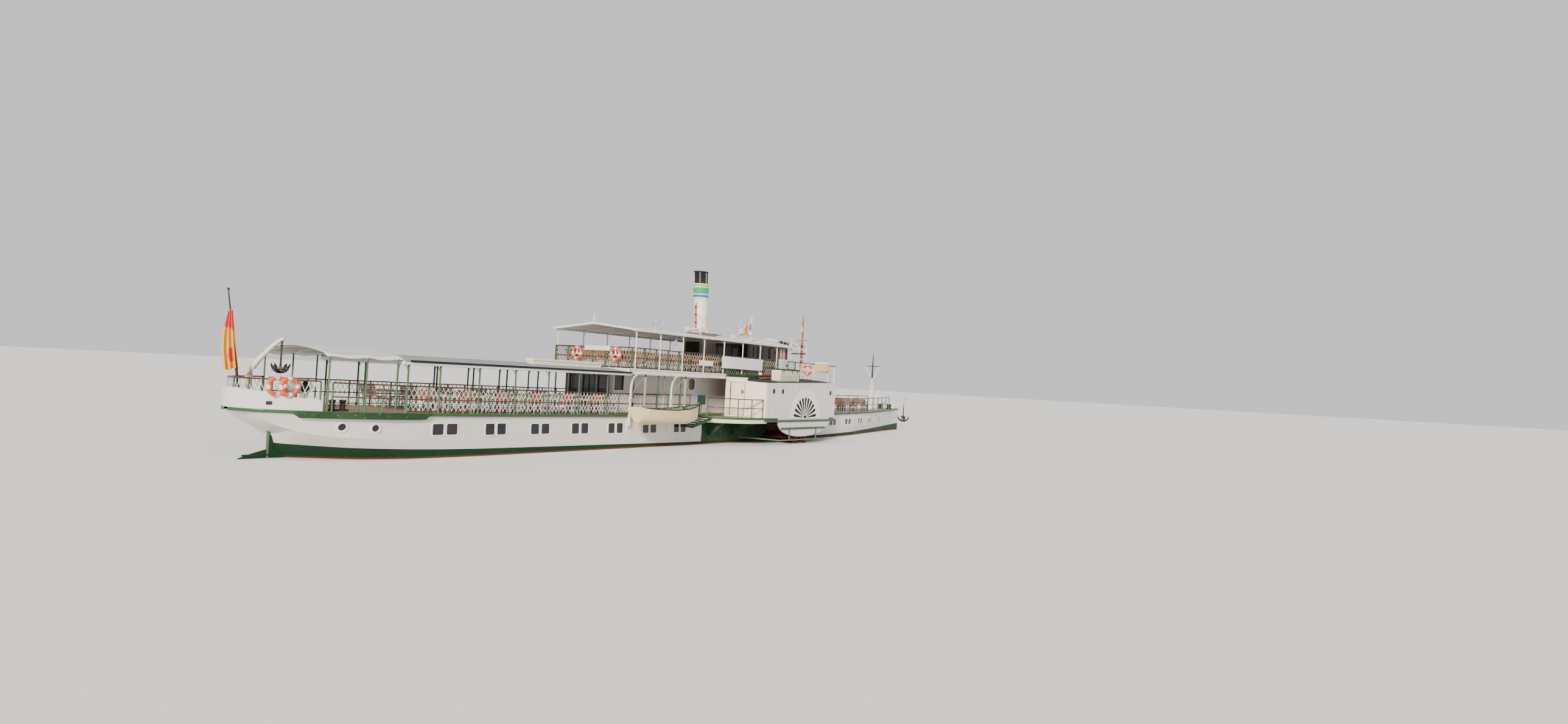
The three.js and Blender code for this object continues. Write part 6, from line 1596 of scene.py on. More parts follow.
for name, side in sides:
    box = bmesh.new()
    addFace(box, side)
    addFan(box, side)
    # strakes with rounded ends
    for x0, x1, z0, z1 in boxMakeup["strakes"]:
        section = [(5.24, z0), (5.31, z0), (5.335, z0 + 0.03), (5.335, z1 - 0.03), (5.31, z1), (5.24, z1)]
        addPlate(box, [(side * y, z) for y, z in section], "yz", x0, x1, 2)
    addSlantWall(box, side)
    # forward wall and the walls of the wheel case
    foreWall = [(5.22, boxLow), (boxIn, boxLow), (boxIn, boxTopZ(boxIn, 7.1) - 0.02),
        (5.22, boxTopZ(5.22, 7.1) - 0.02)]
    addPlate(box, [(side * y, z) for y, z in foreWall], "yz", 7.09, boxFore, 1)
    for x in (1.36, 5.58):
        addBox(box, x, x + 0.05, *sideSpan(side, 3.01, 5.2), boxLow, boxTopZ(5.2, x) - 0.04, 4)
    addBoxTop(box, side)
    finishPiece("paddleBox." + name, box, pick("boxBoards", "trimWhite", "edgeGreen", "creamPaint",
        "casingGrey", "glass", "sootBlack", "deckDark"), smooth=30,
        stands=("paddle_box_" + name,))
    # panelled door of the slanted wall
    door = bmesh.new()
    start, end = (Vector(p) for p in boxMakeup["door"])
    ahead, wide = (end - start).normalized(), (end - start).length
    low, high = boxMakeup["doorLow"], boxMakeup["doorTop"]

    def onDoor(u, v, out):
        p = start + ahead * u + Vector((ahead.y, -ahead.x)) * out
        return (p.x, side * p.y, v)

    def onFace(u, v, out):
        # the wall's outer face is the side towards the stern
        return onDoor(u, v, -out if onDoor(0, 0, 1)[0] > onDoor(0, 0, 0)[0] else 0.04 + out)
    outline = ((0, low), (wide, low), (wide, high), (0, high))
    addBlock(door, [onDoor(u, v, out) for out in (0.0, 0.04) for u, v in outline])
    for i in range(4):
        for j in range(3):
            u, v = 0.05 + i * 0.178, 2.56 + j * 0.33
            addWindow(door, onFace, u + 0.02, u + 0.15, v + 0.03, v + 0.29, 0.012, 0.014, 0.012, -0.004,
                looks=(0, 0))
    addWindow(door, onFace, 0.56, 0.74, 2.98, 3.22, 0.085, 0.03, 0.026, 0.004, looks=(0, 1), steps=6)
    addBar(door, [onFace(0.65, v, 0.02) for v in (2.99, 3.21)], 0.014, 6, 0)
    addBar(door, [onDoor(wide, v, 0.0) for v in (low - 0.02, high + 0.02)], 0.015, 8, 2)
    finishPiece("boxDoor." + name, door, pick("creamPaint", "glass", "brass"),
        body="sponson_door_" + name[0], smooth=30, stands=("sponson_door_" + name,))
print("paddle boxes done")

# Wheels below the boxes and the guard bars outside them

guardMakeup = {
    "line": [(5.95, 5.29, 0.27), (3.2, 5.30, 0.27), (0.75, 5.29, 0.27), (0.5, 5.15, 0.28),
        (-0.45, 2.903, 0.34)],
    "radius": 0.045, "hangers": (1.65, 4.83),
}
for name, side in sides:
    guard = bmesh.new()
    addBar(guard, [(x, side * y, z) for x, y, z in guardMakeup["line"]], guardMakeup["radius"], 12)
    for x in guardMakeup["hangers"]:
        addBar(guard, [(x, side * 5.29, 0.25), (x, side * 5.29, 0.92)], 0.038, 10)
        addTurned(guard, [(0.06, 0), (0.06, 0.04), (0.04, 0.06)], (x, side * 5.29, 0.28), sides=12)
    finishPiece("wheelGuard." + name, guard, pick("guardGreen"), smooth=45,
        stands=("wheel_guard_" + name,))

wheelMakeup = {
    "x": 3.50, "z": 1.42, "frames": (3.40, 4.09, 4.78), "count": 9, "inner": 3.16, "outer": 5.00,
    "hub": [(0.14, -0.08), (0.30, -0.08), (0.32, -0.05), (0.42, -0.04), (0.42, 0.04), (0.32, 0.05),
        (0.30, 0.08), (0.14, 0.08)],
    "hoops": [(1.36, 1.43), (0.86, 0.91)], "bolts": (0.38, 1.40, 1.62),
    "arm": [(0.33, -0.045), (1.72, -0.032), (1.75, 0.0), (1.72, 0.032), (0.33, 0.045)],
    "stay": [(0.9, 0.0), (0.9, 0.04), (1.38, 0.52), (1.40, 0.49)],
    "boards": [(1.33, 1.525), (1.535, 1.73), (1.74, 1.93)],
}
wheels = bmesh.new()
wheelX, wheelZ = wheelMakeup["x"], wheelMakeup["z"]
armTurns = [2 * math.pi * i / wheelMakeup["count"] + math.pi / 2 for i in range(wheelMakeup["count"])]
addTurned(wheels, [(0.13, -4.90), (0.13, 4.90)], (wheelX, 0, wheelZ), "y", 24, 1)


def onWheel(r, aside, turn):
    # place in the wheel's plane by its radius and a step to the side of an arm
    return (wheelX + r * math.cos(turn) - aside * math.sin(turn),
        wheelZ + r * math.sin(turn) + aside * math.cos(turn))


def addHoop(shape, r0, r1, y):
    rings = []
    for k in range(54):
        turn = 2 * math.pi * (k + 0.5) / 54
        section = ((r0, -0.018), (r1, -0.018), (r1, 0.018), (r0, 0.018))
        rings.append([(wheelX + r * math.cos(turn), y + d, wheelZ + r * math.sin(turn)) for r, d in section])
    addRings(shape, rings + rings[:1], 0, caps=False)


for side in (-1, 1):
    for y in [side * y for y in wheelMakeup["frames"]]:
        addTurned(wheels, wheelMakeup["hub"], (wheelX, y, wheelZ), "y", 27, 1)
        for r0, r1 in wheelMakeup["hoops"]:
            addHoop(wheels, r0, r1, y)
        for turn in armTurns:
            for outline, thick in ((wheelMakeup["arm"], 0.022), (wheelMakeup["stay"], 0.012)):
                addPlate(wheels, [onWheel(r, t, turn) for r, t in outline], "xz", y - thick, y + thick, 0)
            for r in wheelMakeup["bolts"]:
                x, z = onWheel(r, 0, turn)
                addTurned(wheels, [(0.03, -0.035), (0.03, 0.035)], (x, y, z), "y", 6, 1)
    for turn in armTurns:
        for r0, r1 in wheelMakeup["boards"]:
            board = [onWheel(r, t, turn) for r, t in ((r0, 0.025), (r1, 0.025), (r1, 0.07), (r0, 0.07))]
            addPlate(wheels, board, "xz", *sideSpan(side, wheelMakeup["inner"], wheelMakeup["outer"]), 2)
finishPiece("paddleWheels", wheels, pick("wheelRed", "machineGrey", "wheelWood"), body="wheels",
    smooth=30, stands=("paddle_wheels",))
print("wheels done")

# Clinker lifeboat hanging at the starboard davits

davitMakeup = {
    "spots": {"aft": -10.13, "fore": -6.96}, "y": -3.04,
    "arm": [(-3.04, 1.2, 0.062), (-3.04, 3.0, 0.062), (-3.055, 3.25, 0.06), (-3.12, 3.47, 0.057),
        (-3.22, 3.64, 0.054), (-3.36, 3.77, 0.051), (-3.55, 3.86, 0.047), (-3.78, 3.91, 0.043),
        (-4.0, 3.925, 0.038)],
    "blocks": (3.74, 2.14), "parts": (-0.045, 0.0, 0.045), "coils": 5,
}
boatMakeup = {
    "y": -3.98,
    "rings": [(-10.55, 0.50, 2.17, 1.72, 1.42), (-10.45, 0.56, 2.16, 1.68, 1.40),
        (-10.0, 0.62, 2.125, 1.60, 1.375), (-9.6, 0.66, 2.10, 1.55, 1.36), (-8.3, 0.70, 2.07, 1.50, 1.33),
        (-7.2, 0.60, 2.12, 1.54, 1.34), (-6.7, 0.48, 2.18, 1.58, 1.36), (-6.3, 0.34, 2.24, 1.62, 1.38),
        (-5.98, 0.19, 2.30, 1.71, 1.47), (-5.78, 0.05, 2.355, 1.80, 1.58)],
    "strakes": 9, "stations": (-10.55, -5.8, 0.12), "skin": 0.045, "thwarts": (-9.6, -8.3, -7.2),
    "keel": [(-10.56, 1.28), (-10.56, 1.44), (-6.6, 1.40), (-6.0, 1.50), (-5.71, 1.66), (-5.65, 1.95),
        (-5.65, 2.42), (-5.71, 2.42), (-5.75, 2.0), (-5.79, 1.66), (-6.06, 1.42), (-6.7, 1.28)],
}
boatY = boatMakeup["y"]


def boatSection(x, inset):
    half, gun, turn, low = rowAt(boatMakeup["rings"], x)
    half = max(half - inset, 0.012)
    curve = [Vector(p) for p in ((min(0.03, half * 0.3), low), (0.35 * half, low + 0.015),
        (0.62 * half, low + (turn - low) * 0.36), (0.84 * half, low + (turn - low) * 0.78),
        (0.95 * half, turn + (gun - turn) * 0.22), (half, gun))]
    rows = [curve[0]] + shareOut(curve, boatMakeup["strakes"])
    return [(p.x, p.y + inset * 0.8 * (1 - k / boatMakeup["strakes"])) for k, p in enumerate(rows)]


boat = bmesh.new()
xs = span(*boatMakeup["stations"])
for side in (-1, 1):
    rings = []
    for x in xs:
        # lapped planks: each overhangs the one below a little
        section = boatSection(x, 0)
        ring = []
        for (y0, z0), (y1, z1) in zip(section, section[1:]):
            ring += [(x, boatY + side * (y0 + 0.016), z0), (x, boatY + side * (y1 + 0.004), z1)]
        rings.append(ring)
    addRings(boat, rings, 0, closed=False, caps=False)
    inside = [[(x, boatY + side * y, z) for y, z in boatSection(x, boatMakeup["skin"])] for x in xs]
    addRings(boat, inside, 1, closed=False, caps=False)
    heads = [boatSection(x, 0)[-1] for x in xs]
    addBoard(boat, [(x, boatY + side * (y - 0.015), z + 0.012) for x, (y, z) in zip(xs, heads)], 0.085,
        0.045, 3)
    for x in span(-10.2, -6.3, 0.42):
        rib = [(x, boatY + side * (y - 0.012), z) for y, z in boatSection(x, boatMakeup["skin"])]
        addBar(boat, rib, 0.014, 4, 2)
# transom, keel and stem, thwarts, floor, lifting lugs and oars
section = boatSection(-10.55, 0)
outline = [(boatY + y, z) for y, z in section] + [(boatY - y, z) for y, z in section[::-1]]
addPlate(boat, outline, "yz", -10.56, -10.50, 0)
addPlate(boat, boatMakeup["keel"][::-1], "xz", boatY - 0.03, boatY + 0.03, 0)
for x in boatMakeup["thwarts"]:
    half = rowAt(boatMakeup["rings"], x)[0] - 0.06
    addBox(boat, x - 0.13, x + 0.13, boatY - half, boatY + half, 1.86, 1.895, 2)
addBox(boat, -10.45, -6.3, boatY - 0.22, boatY + 0.22, 1.435, 1.455, 2)
for x in davitMakeup["spots"].values():
    addBox(boat, x - 0.035, x + 0.035, boatY - 0.035, boatY + 0.035, 1.45, 1.93, 3)
    addTorus(boat, (x, boatY, 1.96), 0.035, 0.012, "x", looks=(3, 3), sides=12)
for y in (-0.3, 0.25):
    addBar(boat, [(-9.9, boatY + y, 1.94), (-7.0, boatY + y * 0.9, 1.935)], 0.022, 8, 2)
finishPiece("lifeboatHull", boat, pick("boatCream", "boatGreen", "woodTable", "iron"),
    smooth=35, stands=("lifeboat",))

for name, x in davitMakeup["spots"].items():
    davit = bmesh.new()
    addBar(davit, [(x, y, z) for y, z, _ in davitMakeup["arm"]],
        [r for _, _, r in davitMakeup["arm"]], 14, 0)
    y = davitMakeup["y"]
    addTurned(davit, [(0.0, -0.02), (0.075, -0.01), (0.08, 0.04), (0.064, 0.06)], (x, y, 1.18), sides=16)
    for z in (1.64, 2.0):
        addTurned(davit, [(0.064, -0.03), (0.085, -0.025), (0.085, 0.025), (0.064, 0.03)], (x, y, z),
            sides=16)
    addBox(davit, x - 0.05, x + 0.05, -3.03, -2.972, 1.60, 1.69, 0)
    # blocks of the falls and their ropes
    upper, lower = davitMakeup["blocks"]
    for z in (upper, lower):
        addTurned(davit, [(0.01, -0.035), (0.06, -0.03), (0.07, 0), (0.06, 0.03), (0.01, 0.035)],
            (x, boatY, z), "x", 14, 2)
        addBar(davit, [(x, boatY, z + 0.06), (x, boatY, z + 0.14)], 0.012, 6, 2)
    for shift in davitMakeup["parts"]:
        addBar(davit, [(x, boatY + shift, upper), (x, boatY + shift * 0.8, lower)], 0.013, 5, 1)
    addBar(davit, [(x, boatY, 2.10), (x, boatY, 1.97)], 0.012, 6, 2)
    addBar(davit, [(x + 0.02, boatY, 3.70), (x + 0.03, -3.62, 3.48), (x + 0.03, -3.25, 3.05),
        (x + 0.02, -3.11, 2.6)], 0.011, 5, 1)
    for k in range(davitMakeup["coils"]):
        # surplus rope coiled on its cleat
        addTorus(davit, (x + 0.03, -3.125 - 0.006 * (k % 2), 2.50 - 0.012 * k), 0.09, 0.014, "y",
            looks=(1, 1), sides=18)
    finishPiece("davit." + name, davit, pick("white", "rope", "darkWood"), smooth=45,
        stands=("davit_" + name,))
print("lifeboat done")

# Boarding platform with its striped slats

platformMakeup = {
    "aft": -5.95, "fore": -4.30, "low": 1.60, "slope": 0.26, "beams": (-3.825, -3.0225),
    "cross": (-5.95, -4.36), "slats": 9, "slatStep": 0.165, "slat": 0.115, "lugs": (-5.9, -4.38),
}


def platformZ(x):
    return platformMakeup["low"] + (x - platformMakeup["fore"]) * platformMakeup["slope"]


platform = bmesh.new()
for y in platformMakeup["beams"]:
    ends = (platformMakeup["aft"], platformMakeup["fore"])
    addBoard(platform, [(x, y, platformZ(x) + 0.02) for x in ends], 0.07, 0.17, 0)
for x in platformMakeup["cross"]:
    addBoard(platform, [(x + 0.03, y, platformZ(x + 0.03) - 0.01) for y in (-3.85, -2.99)], 0.06, 0.13, 0)
for i in range(platformMakeup["slats"]):
    x = -5.80 + i * platformMakeup["slatStep"]
    far = x + platformMakeup["slat"]
    slat = [(x, platformZ(x)), (far, platformZ(far)), (far, platformZ(far) - 0.035),
        (x, platformZ(x) - 0.035)]
    addPlate(platform, slat, "xz", -3.80, -3.05, 1 + i % 2)
for x in platformMakeup["lugs"]:
    addBox(platform, x - 0.03, x + 0.04, -3.06, -2.972, platformZ(x) - 0.1, 1.69, 0)
finishPiece("boardingSteps", platform, pick("darkGreen", "sootBlack", "trimWhite"),
    smooth=30, bevel=0.004, stands=("boarding_platform",))

# Chest on the box top, its lid, locker and cabinet beside it

chestMakeup = {
    "aft": 1.70, "fore": 3.90, "out": -4.40, "inner": -3.75, "top": 4.52, "hinges": (2.05, 3.05, 3.62),
}
chest = bmesh.new()
chestAft, chestFore, chestTop = (chestMakeup[k] for k in ("aft", "fore", "top"))
chestOut, chestIn = chestMakeup["out"], chestMakeup["inner"]
addRings(chest, [[(x, chestOut, boxTopZ(-chestOut, x) + 0.002), (x, chestIn, boxTopZ(-chestIn, x) + 0.002),
    (x, chestIn, chestTop), (x, chestOut, chestTop)] for x in (chestAft, chestFore)])
addBox(chest, chestAft - 0.012, chestAft + 0.01, chestOut - 0.005, chestIn + 0.005,
    3.86, chestTop - 0.005, 1)
for z0, z1 in ((3.88, 4.16), (4.20, 4.48)):
    addWindow(chest, lambda u, v, out: (u, chestOut - out, v), 1.76, 3.84, z0, z1, 0.01, 0.02, 0.014,
        -0.002, looks=(0, 0))
for x in chestMakeup["hinges"]:
    addBox(chest, x - 0.025, x + 0.025, chestOut - 0.02, chestOut, 4.36, chestTop, 2)
finishPiece("deckChest", chest, pick("chestPaint", "creamPaint", "iron"), smooth=30,
    bevel=0.008, stands=("deck_chest",))
lid = bmesh.new()
addBox(lid, 1.66, 3.94, -4.44, -3.71, 4.524, 4.60, 0)
for x in chestMakeup["hinges"]:
    addBox(lid, x - 0.02, x + 0.02, -4.452, -4.43, 4.524, 4.58, 1)
finishPiece("chestTop", lid, pick("darkGreen", "iron"), body="lid", smooth=30,
    bevel=0.01, stands=("chest_lid",))

# Bridge rail across the boxes, with its lifebuoy, tube rack and lockers

bridgeMakeup = {
    "x": 7.05, "inner": 1.70, "outer": 5.20, "hand": (5.21, 4.99), "mid": (4.80, 4.52),
    "low": (4.42, 4.16), "posts": (1.70, 2.57, 3.62, 4.68, 5.16), "pipes": (3.27, 5.38),
}
bridgeX = bridgeMakeup["x"]


def bridgeZ(level, y):
    inner, outer = bridgeMakeup[level]
    wide = bridgeMakeup["outer"] - bridgeMakeup["inner"]
    return inner + (outer - inner) * (y - bridgeMakeup["inner"]) / wide


bridge = bmesh.new()
for side in (-1, 1):
    ends = (bridgeMakeup["inner"] - 0.05, bridgeMakeup["outer"] + 0.05)
    addBoard(bridge, [(bridgeX, side * y, bridgeZ("hand", y) + 0.02) for y in ends], 0.10, 0.05, 1)
    for level in ("mid", "low"):
        addBar(bridge, [(bridgeX, side * y, bridgeZ(level, y)) for y in ends], 0.022, 8, 0)
    for y in bridgeMakeup["posts"]:
        foot = seatMakeup["floor"] if y < 2.9 else boxTopZ(y, bridgeX) + 0.002
        addTurned(bridge, [(0.055, 0), (0.05, 0.03), (0.034, 0.05), (0.034, bridgeZ("hand", y) - foot)],
            (bridgeX, side * y, foot), sides=10)
    for y, root in zip(bridgeMakeup["pipes"], (3.0, 4.68)):
        # short hooked pipes beside the rail's feet
        z = boxTopZ(root, 6.8)
        addBar(bridge, [(6.55, side * y, z), (6.55, side * y, z + 0.14), (6.62, side * y, z + 0.20),
            (6.75, side * (y + 0.02), z + 0.16)], 0.022, 8, 0)
addTurned(bridge, [(0.05, 0), (0.05, 0.05), (0.035, 0.12), (0.01, 0.14)], (7.0, -4.86, 4.28), sides=14,
    look=2)
finishPiece("bridgeRails", bridge, pick("white", "handrail", "buoyOrange"), smooth=40)
buoy = bmesh.new()
addLifebuoy(buoy, (6.96, -3.16, 4.69), "x")
finishPiece("bridgeBuoy", buoy, pick("buoyOrange", "buoyWhite"), smooth=45)
rackMakeup = {
    "posts": [(-1.70, 5.16, 6.84, 0.03), (-2.92, 5.10, 6.35, 0.03), (-2.21, 4.62, 5.36, 0.04),
        (-2.34, 5.74, 6.22, 0.03)],
    "tubes": [
        ([(-1.70, 5.39), (-2.92, 5.39)], 0.028, 10, 2),
        ([(-1.70, 5.745), (-2.92, 5.745)], 0.028, 10, 1),
        ([(-1.70, 5.765), (-2.92, 5.765)], 0.028, 10, 1),
        ([(-1.70, 6.045), (-2.60, 6.045), (-2.75, 6.02), (-2.87, 5.92), (-2.92, 5.80)], 0.028, 10, 0),
        ([(-1.70, 6.55), (-2.34, 6.22)], 0.032, 10, 0),
        ([(-1.72, 6.33), (-2.90, 6.27)], 0.014, 8, 1)],
}
rack = bmesh.new()
for y, z0, z1, r in rackMakeup["posts"]:
    addBar(rack, [(bridgeX, y, z0), (bridgeX, y, z1)], r, 10, 0)
    addTurned(rack, [(0.03, 0), (0.038, 0.01), (0.02, 0.04)], (bridgeX, y, z1), sides=10)
for line, r, count, look in rackMakeup["tubes"]:
    addBar(rack, [(bridgeX, y, z) for y, z in line], r, count, look)
finishPiece("tubeRack", rack, pick("white", "iron", "creamPaint"), smooth=45)
# yellow locker with its lid, then the grey cabinet by the rail with its top, door and latch
lockerMakeup = {
    "yellow": (6.55, 7.02, -4.82, -3.98, 4.62, 5.10), "lid": (6.53, 7.03, -4.86, -3.94, 5.10, 5.22),
    "cabinet": (3.35, 3.95, -3.45, -3.15, 3.90, 5.18), "top": (3.32, 3.98, -3.48, -3.12, 5.14, 5.21),
    "door": (-3.42, -3.18, 4.5, 5.08), "latch": (3.78, 3.86, -3.50, -3.44, 4.78, 4.92),
}
lockers = bmesh.new()
for part, look in (("yellow", 0), ("lid", 1), ("cabinet", 2), ("top", 1)):
    addBox(lockers, *lockerMakeup[part], look)
cabinetAft = onAft(lockerMakeup["cabinet"][0])
addWindow(lockers, cabinetAft, *lockerMakeup["door"], 0.02, 0.02, 0.012, 0.002, looks=(2, 2))
addBox(lockers, *lockerMakeup["latch"], 3)
finishPiece("lockers", lockers, pick("lockerYellow", "creamPaint", "cabinetGrey", "iron"),
    smooth=30, bevel=0.012)

# Green boards, a red roll and a round vent along the sundeck's edge beside the box

edgeMakeup = {
    "boards": [(-1.80, 2.72, 2.95, 2.985, 3.945, 4.085), (0.22, 2.70, 2.955, 2.99, 3.86, 3.90),
        (2.55, 2.70, 2.95, 3.04, 3.86, 4.02)],
    "roll": [(1.30, 0.02), (1.36, 0.055), (1.9, 0.06), (2.5, 0.055), (3.0, 0.05), (3.25, 0.02)],
    "vent": [(0.05, -0.08), (0.11, -0.06), (0.12, 0.05), (0.09, 0.10), (0.02, 0.12)],
    "ventSpot": (1.54, -2.98, 4.20),
}
edge = bmesh.new()
for side in (-1, 1):
    for x0, x1, near, far, z0, z1 in edgeMakeup["boards"]:
        addBox(edge, x0, x1, *sideSpan(side, near, far), z0, z1, 0)
rollLine = [(x, -3.10 - 0.03 * (x > 2.6), boxTopZ(3.1, x) + 0.05) for x, _ in edgeMakeup["roll"]]
addBar(edge, rollLine, [r for _, r in edgeMakeup["roll"]], 12, 1)
addTurned(edge, edgeMakeup["vent"], edgeMakeup["ventSpot"], sides=18, look=2)
finishPiece("sideBoards", edge, pick("darkGreen", "rollRed", "creamPaint"), smooth=40,
    bevel=0.004)

# Lamp, signal pole and furled flag on the canopy's fore part

topMakeup = {
    "y": -1.5,
    "poles": [
        ([(1.13, 6.24), (1.13, 7.20), (1.16, 7.40), (1.28, 7.50), (1.42, 7.44)], 0.022, 0),
        ([(0.9, 6.42), (1.13, 6.56), (1.8, 6.72), (2.3, 6.60)], 0.018, 2),
        ([(2.47, 6.30), (2.48, 7.92)], 0.018, 0),
        ([(2.06, 6.66), (2.07, 7.36)], 0.016, 0)],
}
tops = bmesh.new()
addBar(tops, [(-1.30, -2.90, 6.10), (-1.30, -2.90, 6.26)], 0.018, 8, 0)
addBox(tops, -1.50, -1.16, -3.0, -2.82, 6.24, 6.42, 0)
for line, r, look in topMakeup["poles"]:
    addBar(tops, [(x, topMakeup["y"], z) for x, z in line], r, 8, look)
finishPiece("topPoles", tops, pick("white", "lamp", "iron"), smooth=45)
print("bridge done")

# Masts with yards, pennants and the fittings round them

mastMakeup = {
    "main": {
        "x": 11.2, "black": (2, 6, 11, 12),
        "pole": [(0.10, 3.27), (0.10, 5.2), (0.093, 5.22), (0.093, 5.32), (0.09, 5.34), (0.085, 6.4),
            (0.09, 6.42), (0.09, 6.52), (0.078, 6.54), (0.055, 7.5), (0.03, 8.56), (0.045, 8.57),
            (0.045, 8.60), (0.01, 8.62)],
    },
    "bow": {
        "x": 22.9, "black": (0,),
        "pole": [(0.075, 3.56), (0.072, 4.4), (0.058, 5.5), (0.035, 6.2), (0.02, 6.55), (0.03, 6.56),
            (0.02, 6.60)],
    },
}
mainX, bowX = mastMakeup["main"]["x"], mastMakeup["bow"]["x"]


def bandsOf(name):
    # the second look on the rows of the pole that are banded
    return lambda r, _: 1 if r in mastMakeup[name]["black"] else 0


mast = bmesh.new()
addTurned(mast, mastMakeup["main"]["pole"], (mainX, 0, 0), sides=18, looksByRow=bandsOf("main"))
addTurned(mast, [(0.04, -0.125), (0.04, 0.125)], (mainX, 0, 3.50), "y", 14, 1)
addBar(mast, [(mainX, y, 6.9) for y in (-0.5, 0, 0.5)], [0.015, 0.028, 0.015], 8, 0)
finishPiece("mainMastPole", mast, pick("mastWood", "sootBlack"), body="folding_main_mast",
    smooth=45, stands=("main_mast",))
posts = bmesh.new()
addBox(posts, 11.04, 11.36, -0.16, 0.16, deckZ(mainX) + 0.002, 3.20, 0)
for side in (-1, 1):
    addBox(posts, 11.07, 11.33, *sideSpan(side, 0.127, 0.18), 3.1, 3.70, 1)
for z in (2.2, 3.0):
    addBox(posts, 11.03, 11.37, -0.17, 0.17, z, z + 0.05, 1)
finishPiece("mainMastFoot", posts, pick("mastWood", "sootBlack"), smooth=30, bevel=0.012,
    stands=("mast_tabernacle",))
mast = bmesh.new()
addTurned(mast, mastMakeup["bow"]["pole"], (bowX, 0, 0), sides=16, looksByRow=bandsOf("bow"))
addTurned(mast, [(0.035, -0.105), (0.035, 0.105)], (bowX, 0, 3.78), "y", 12, 2)
addBar(mast, [(bowX, y, 5.48) for y in (-0.74, 0, 0.74)], [0.022, 0.034, 0.022], 10, 0)
for side in (-1, 1):
    addBar(mast, [(bowX, side * 0.68, 5.47), (bowX, 0, 4.35)], 0.03, 8, 3)
addBar(mast, [(bowX, 0, 4.3), (bowX, 0, 4.45)], 0.09, 12, 1)
finishPiece("bowMastPole", mast, pick("darkWood", "white", "iron", "creamPaint"), body="folding_bow_mast",
    smooth=45, stands=("bow_mast",))
posts = bmesh.new()
addBox(posts, 22.76, 23.04, -0.14, 0.14, deckZ(bowX) + 0.002, 3.50, 0)
for side in (-1, 1):
    addBox(posts, 22.78, 23.02, *sideSpan(side, 0.107, 0.15), 3.4, 3.95, 0)
addBox(posts, 22.72, 23.08, -0.18, 0.18, deckZ(bowX) + 0.002, 2.05, 0)
finishPiece("bowMastFoot", posts, pick("white", "iron"), smooth=30, bevel=0.012,
    stands=("bow_tabernacle",))

# Swan-neck vent, gangway board and benches of the fore deck

foredeckMakeup = {
    "vent": [(23.0, 3.30, 0.05), (23.02, 3.42, 0.05), (23.09, 3.52, 0.05), (23.19, 3.56, 0.052),
        (23.28, 3.51, 0.06), (23.32, 3.42, 0.072), (23.33, 3.36, 0.085)],
    "ventY": -0.5, "board": [(19.76, -0.9, 2.36), (23.92, -0.9, 2.58)], "trestles": (20.4, 23.4),
    "benches": (12.92, 14.81, 16.70, 18.59),
}
fittings = bmesh.new()
vent = [(23.0, deckZ(23), 0.05)] + foredeckMakeup["vent"]
addBar(fittings, [(x, foredeckMakeup["ventY"], z) for x, z, _ in vent], [r for _, _, r in vent], 14, 3)
addBoard(fittings, foredeckMakeup["board"], 0.16, 0.05, 3)
for x in foredeckMakeup["trestles"]:
    addBar(fittings, [(x, -0.9, deckZ(x)), (x, -0.9, 2.40 + (x - 20.4) * 0.05)], 0.03, 8, 1)
for x in foredeckMakeup["benches"]:
    for side in (-1, 1):
        for faces in (-1, 1):
            addBench(fittings, x + faces * 0.10, *sideSpan(side, 0.55, 1.65), deckZ(x) + 0.002, faces,
                False, (0, 2))
finishPiece("foredeckFittings", fittings, pick("iron", "postGreen", "brownSlats", "trimWhite"),
    smooth=35)
print("masts done")

# Bow boom and stern crane with their grapnels

grapnelMakeup = {
    "arm": [(0.0, -1.0, 0.065), (0.12, -0.985, 0.065), (0.24, -0.93, 0.062), (0.33, -0.84, 0.055),
        (0.39, -0.73, 0.04), (0.42, -0.62, 0.012)],
    "palm": [(0.33, -0.80, 1), (0.40, -0.70, 0.7), (0.44, -0.60, 0.1)],
    "palmHalf": 0.09,
    "crown": [(0.05, -0.12), (0.12, -0.08), (0.13, 0.0), (0.08, 0.10), (0.05, 0.13)],
}


def addGrapnel(shape, x, y, top, size, ahead, looks):
    # shank with its ring, crown and four arms; ahead is the direction of the first arm
    def spot(dx, dy, r, z):
        return (x + dx * r * size, y + dy * r * size, top + z * size)

    addBar(shape, [(x, y, top), (x, y, top - size)], [0.03 * size, 0.05 * size], 10, looks[0])
    addTorus(shape, (x, y, top + 0.03 * size), 0.05 * size, 0.014 * size, "x", looks=(looks[0], looks[0]),
        sides=14)
    addTurned(shape, [(r * size, h * size) for r, h in grapnelMakeup["crown"]], (x, y, top - 0.88 * size),
        sides=14, look=looks[1])
    u, v = ahead
    for dx, dy in ((u, v), (-u, -v), (-v, u), (v, -u)):
        addBar(shape, [spot(dx, dy, r, z) for r, z, _ in grapnelMakeup["arm"]],
            [thick * size for _, _, thick in grapnelMakeup["arm"]], 8, looks[0])
        across = Vector((-dy, dx, 0)) * grapnelMakeup["palmHalf"] * size
        rows = [(Vector(spot(dx, dy, r, z)), across * share) for r, z, share in grapnelMakeup["palm"]]
        for (a, low), (b, high) in zip(rows, rows[1:]):
            for flip in (1, -1):
                shift = Vector((dx, dy, 0)) * 0.008 * flip
                face = [shape.verts.new(p + shift) for p in [a - low, a + low, b + high, b - high][::flip]]
                shape.faces.new(face).material_index = looks[0]


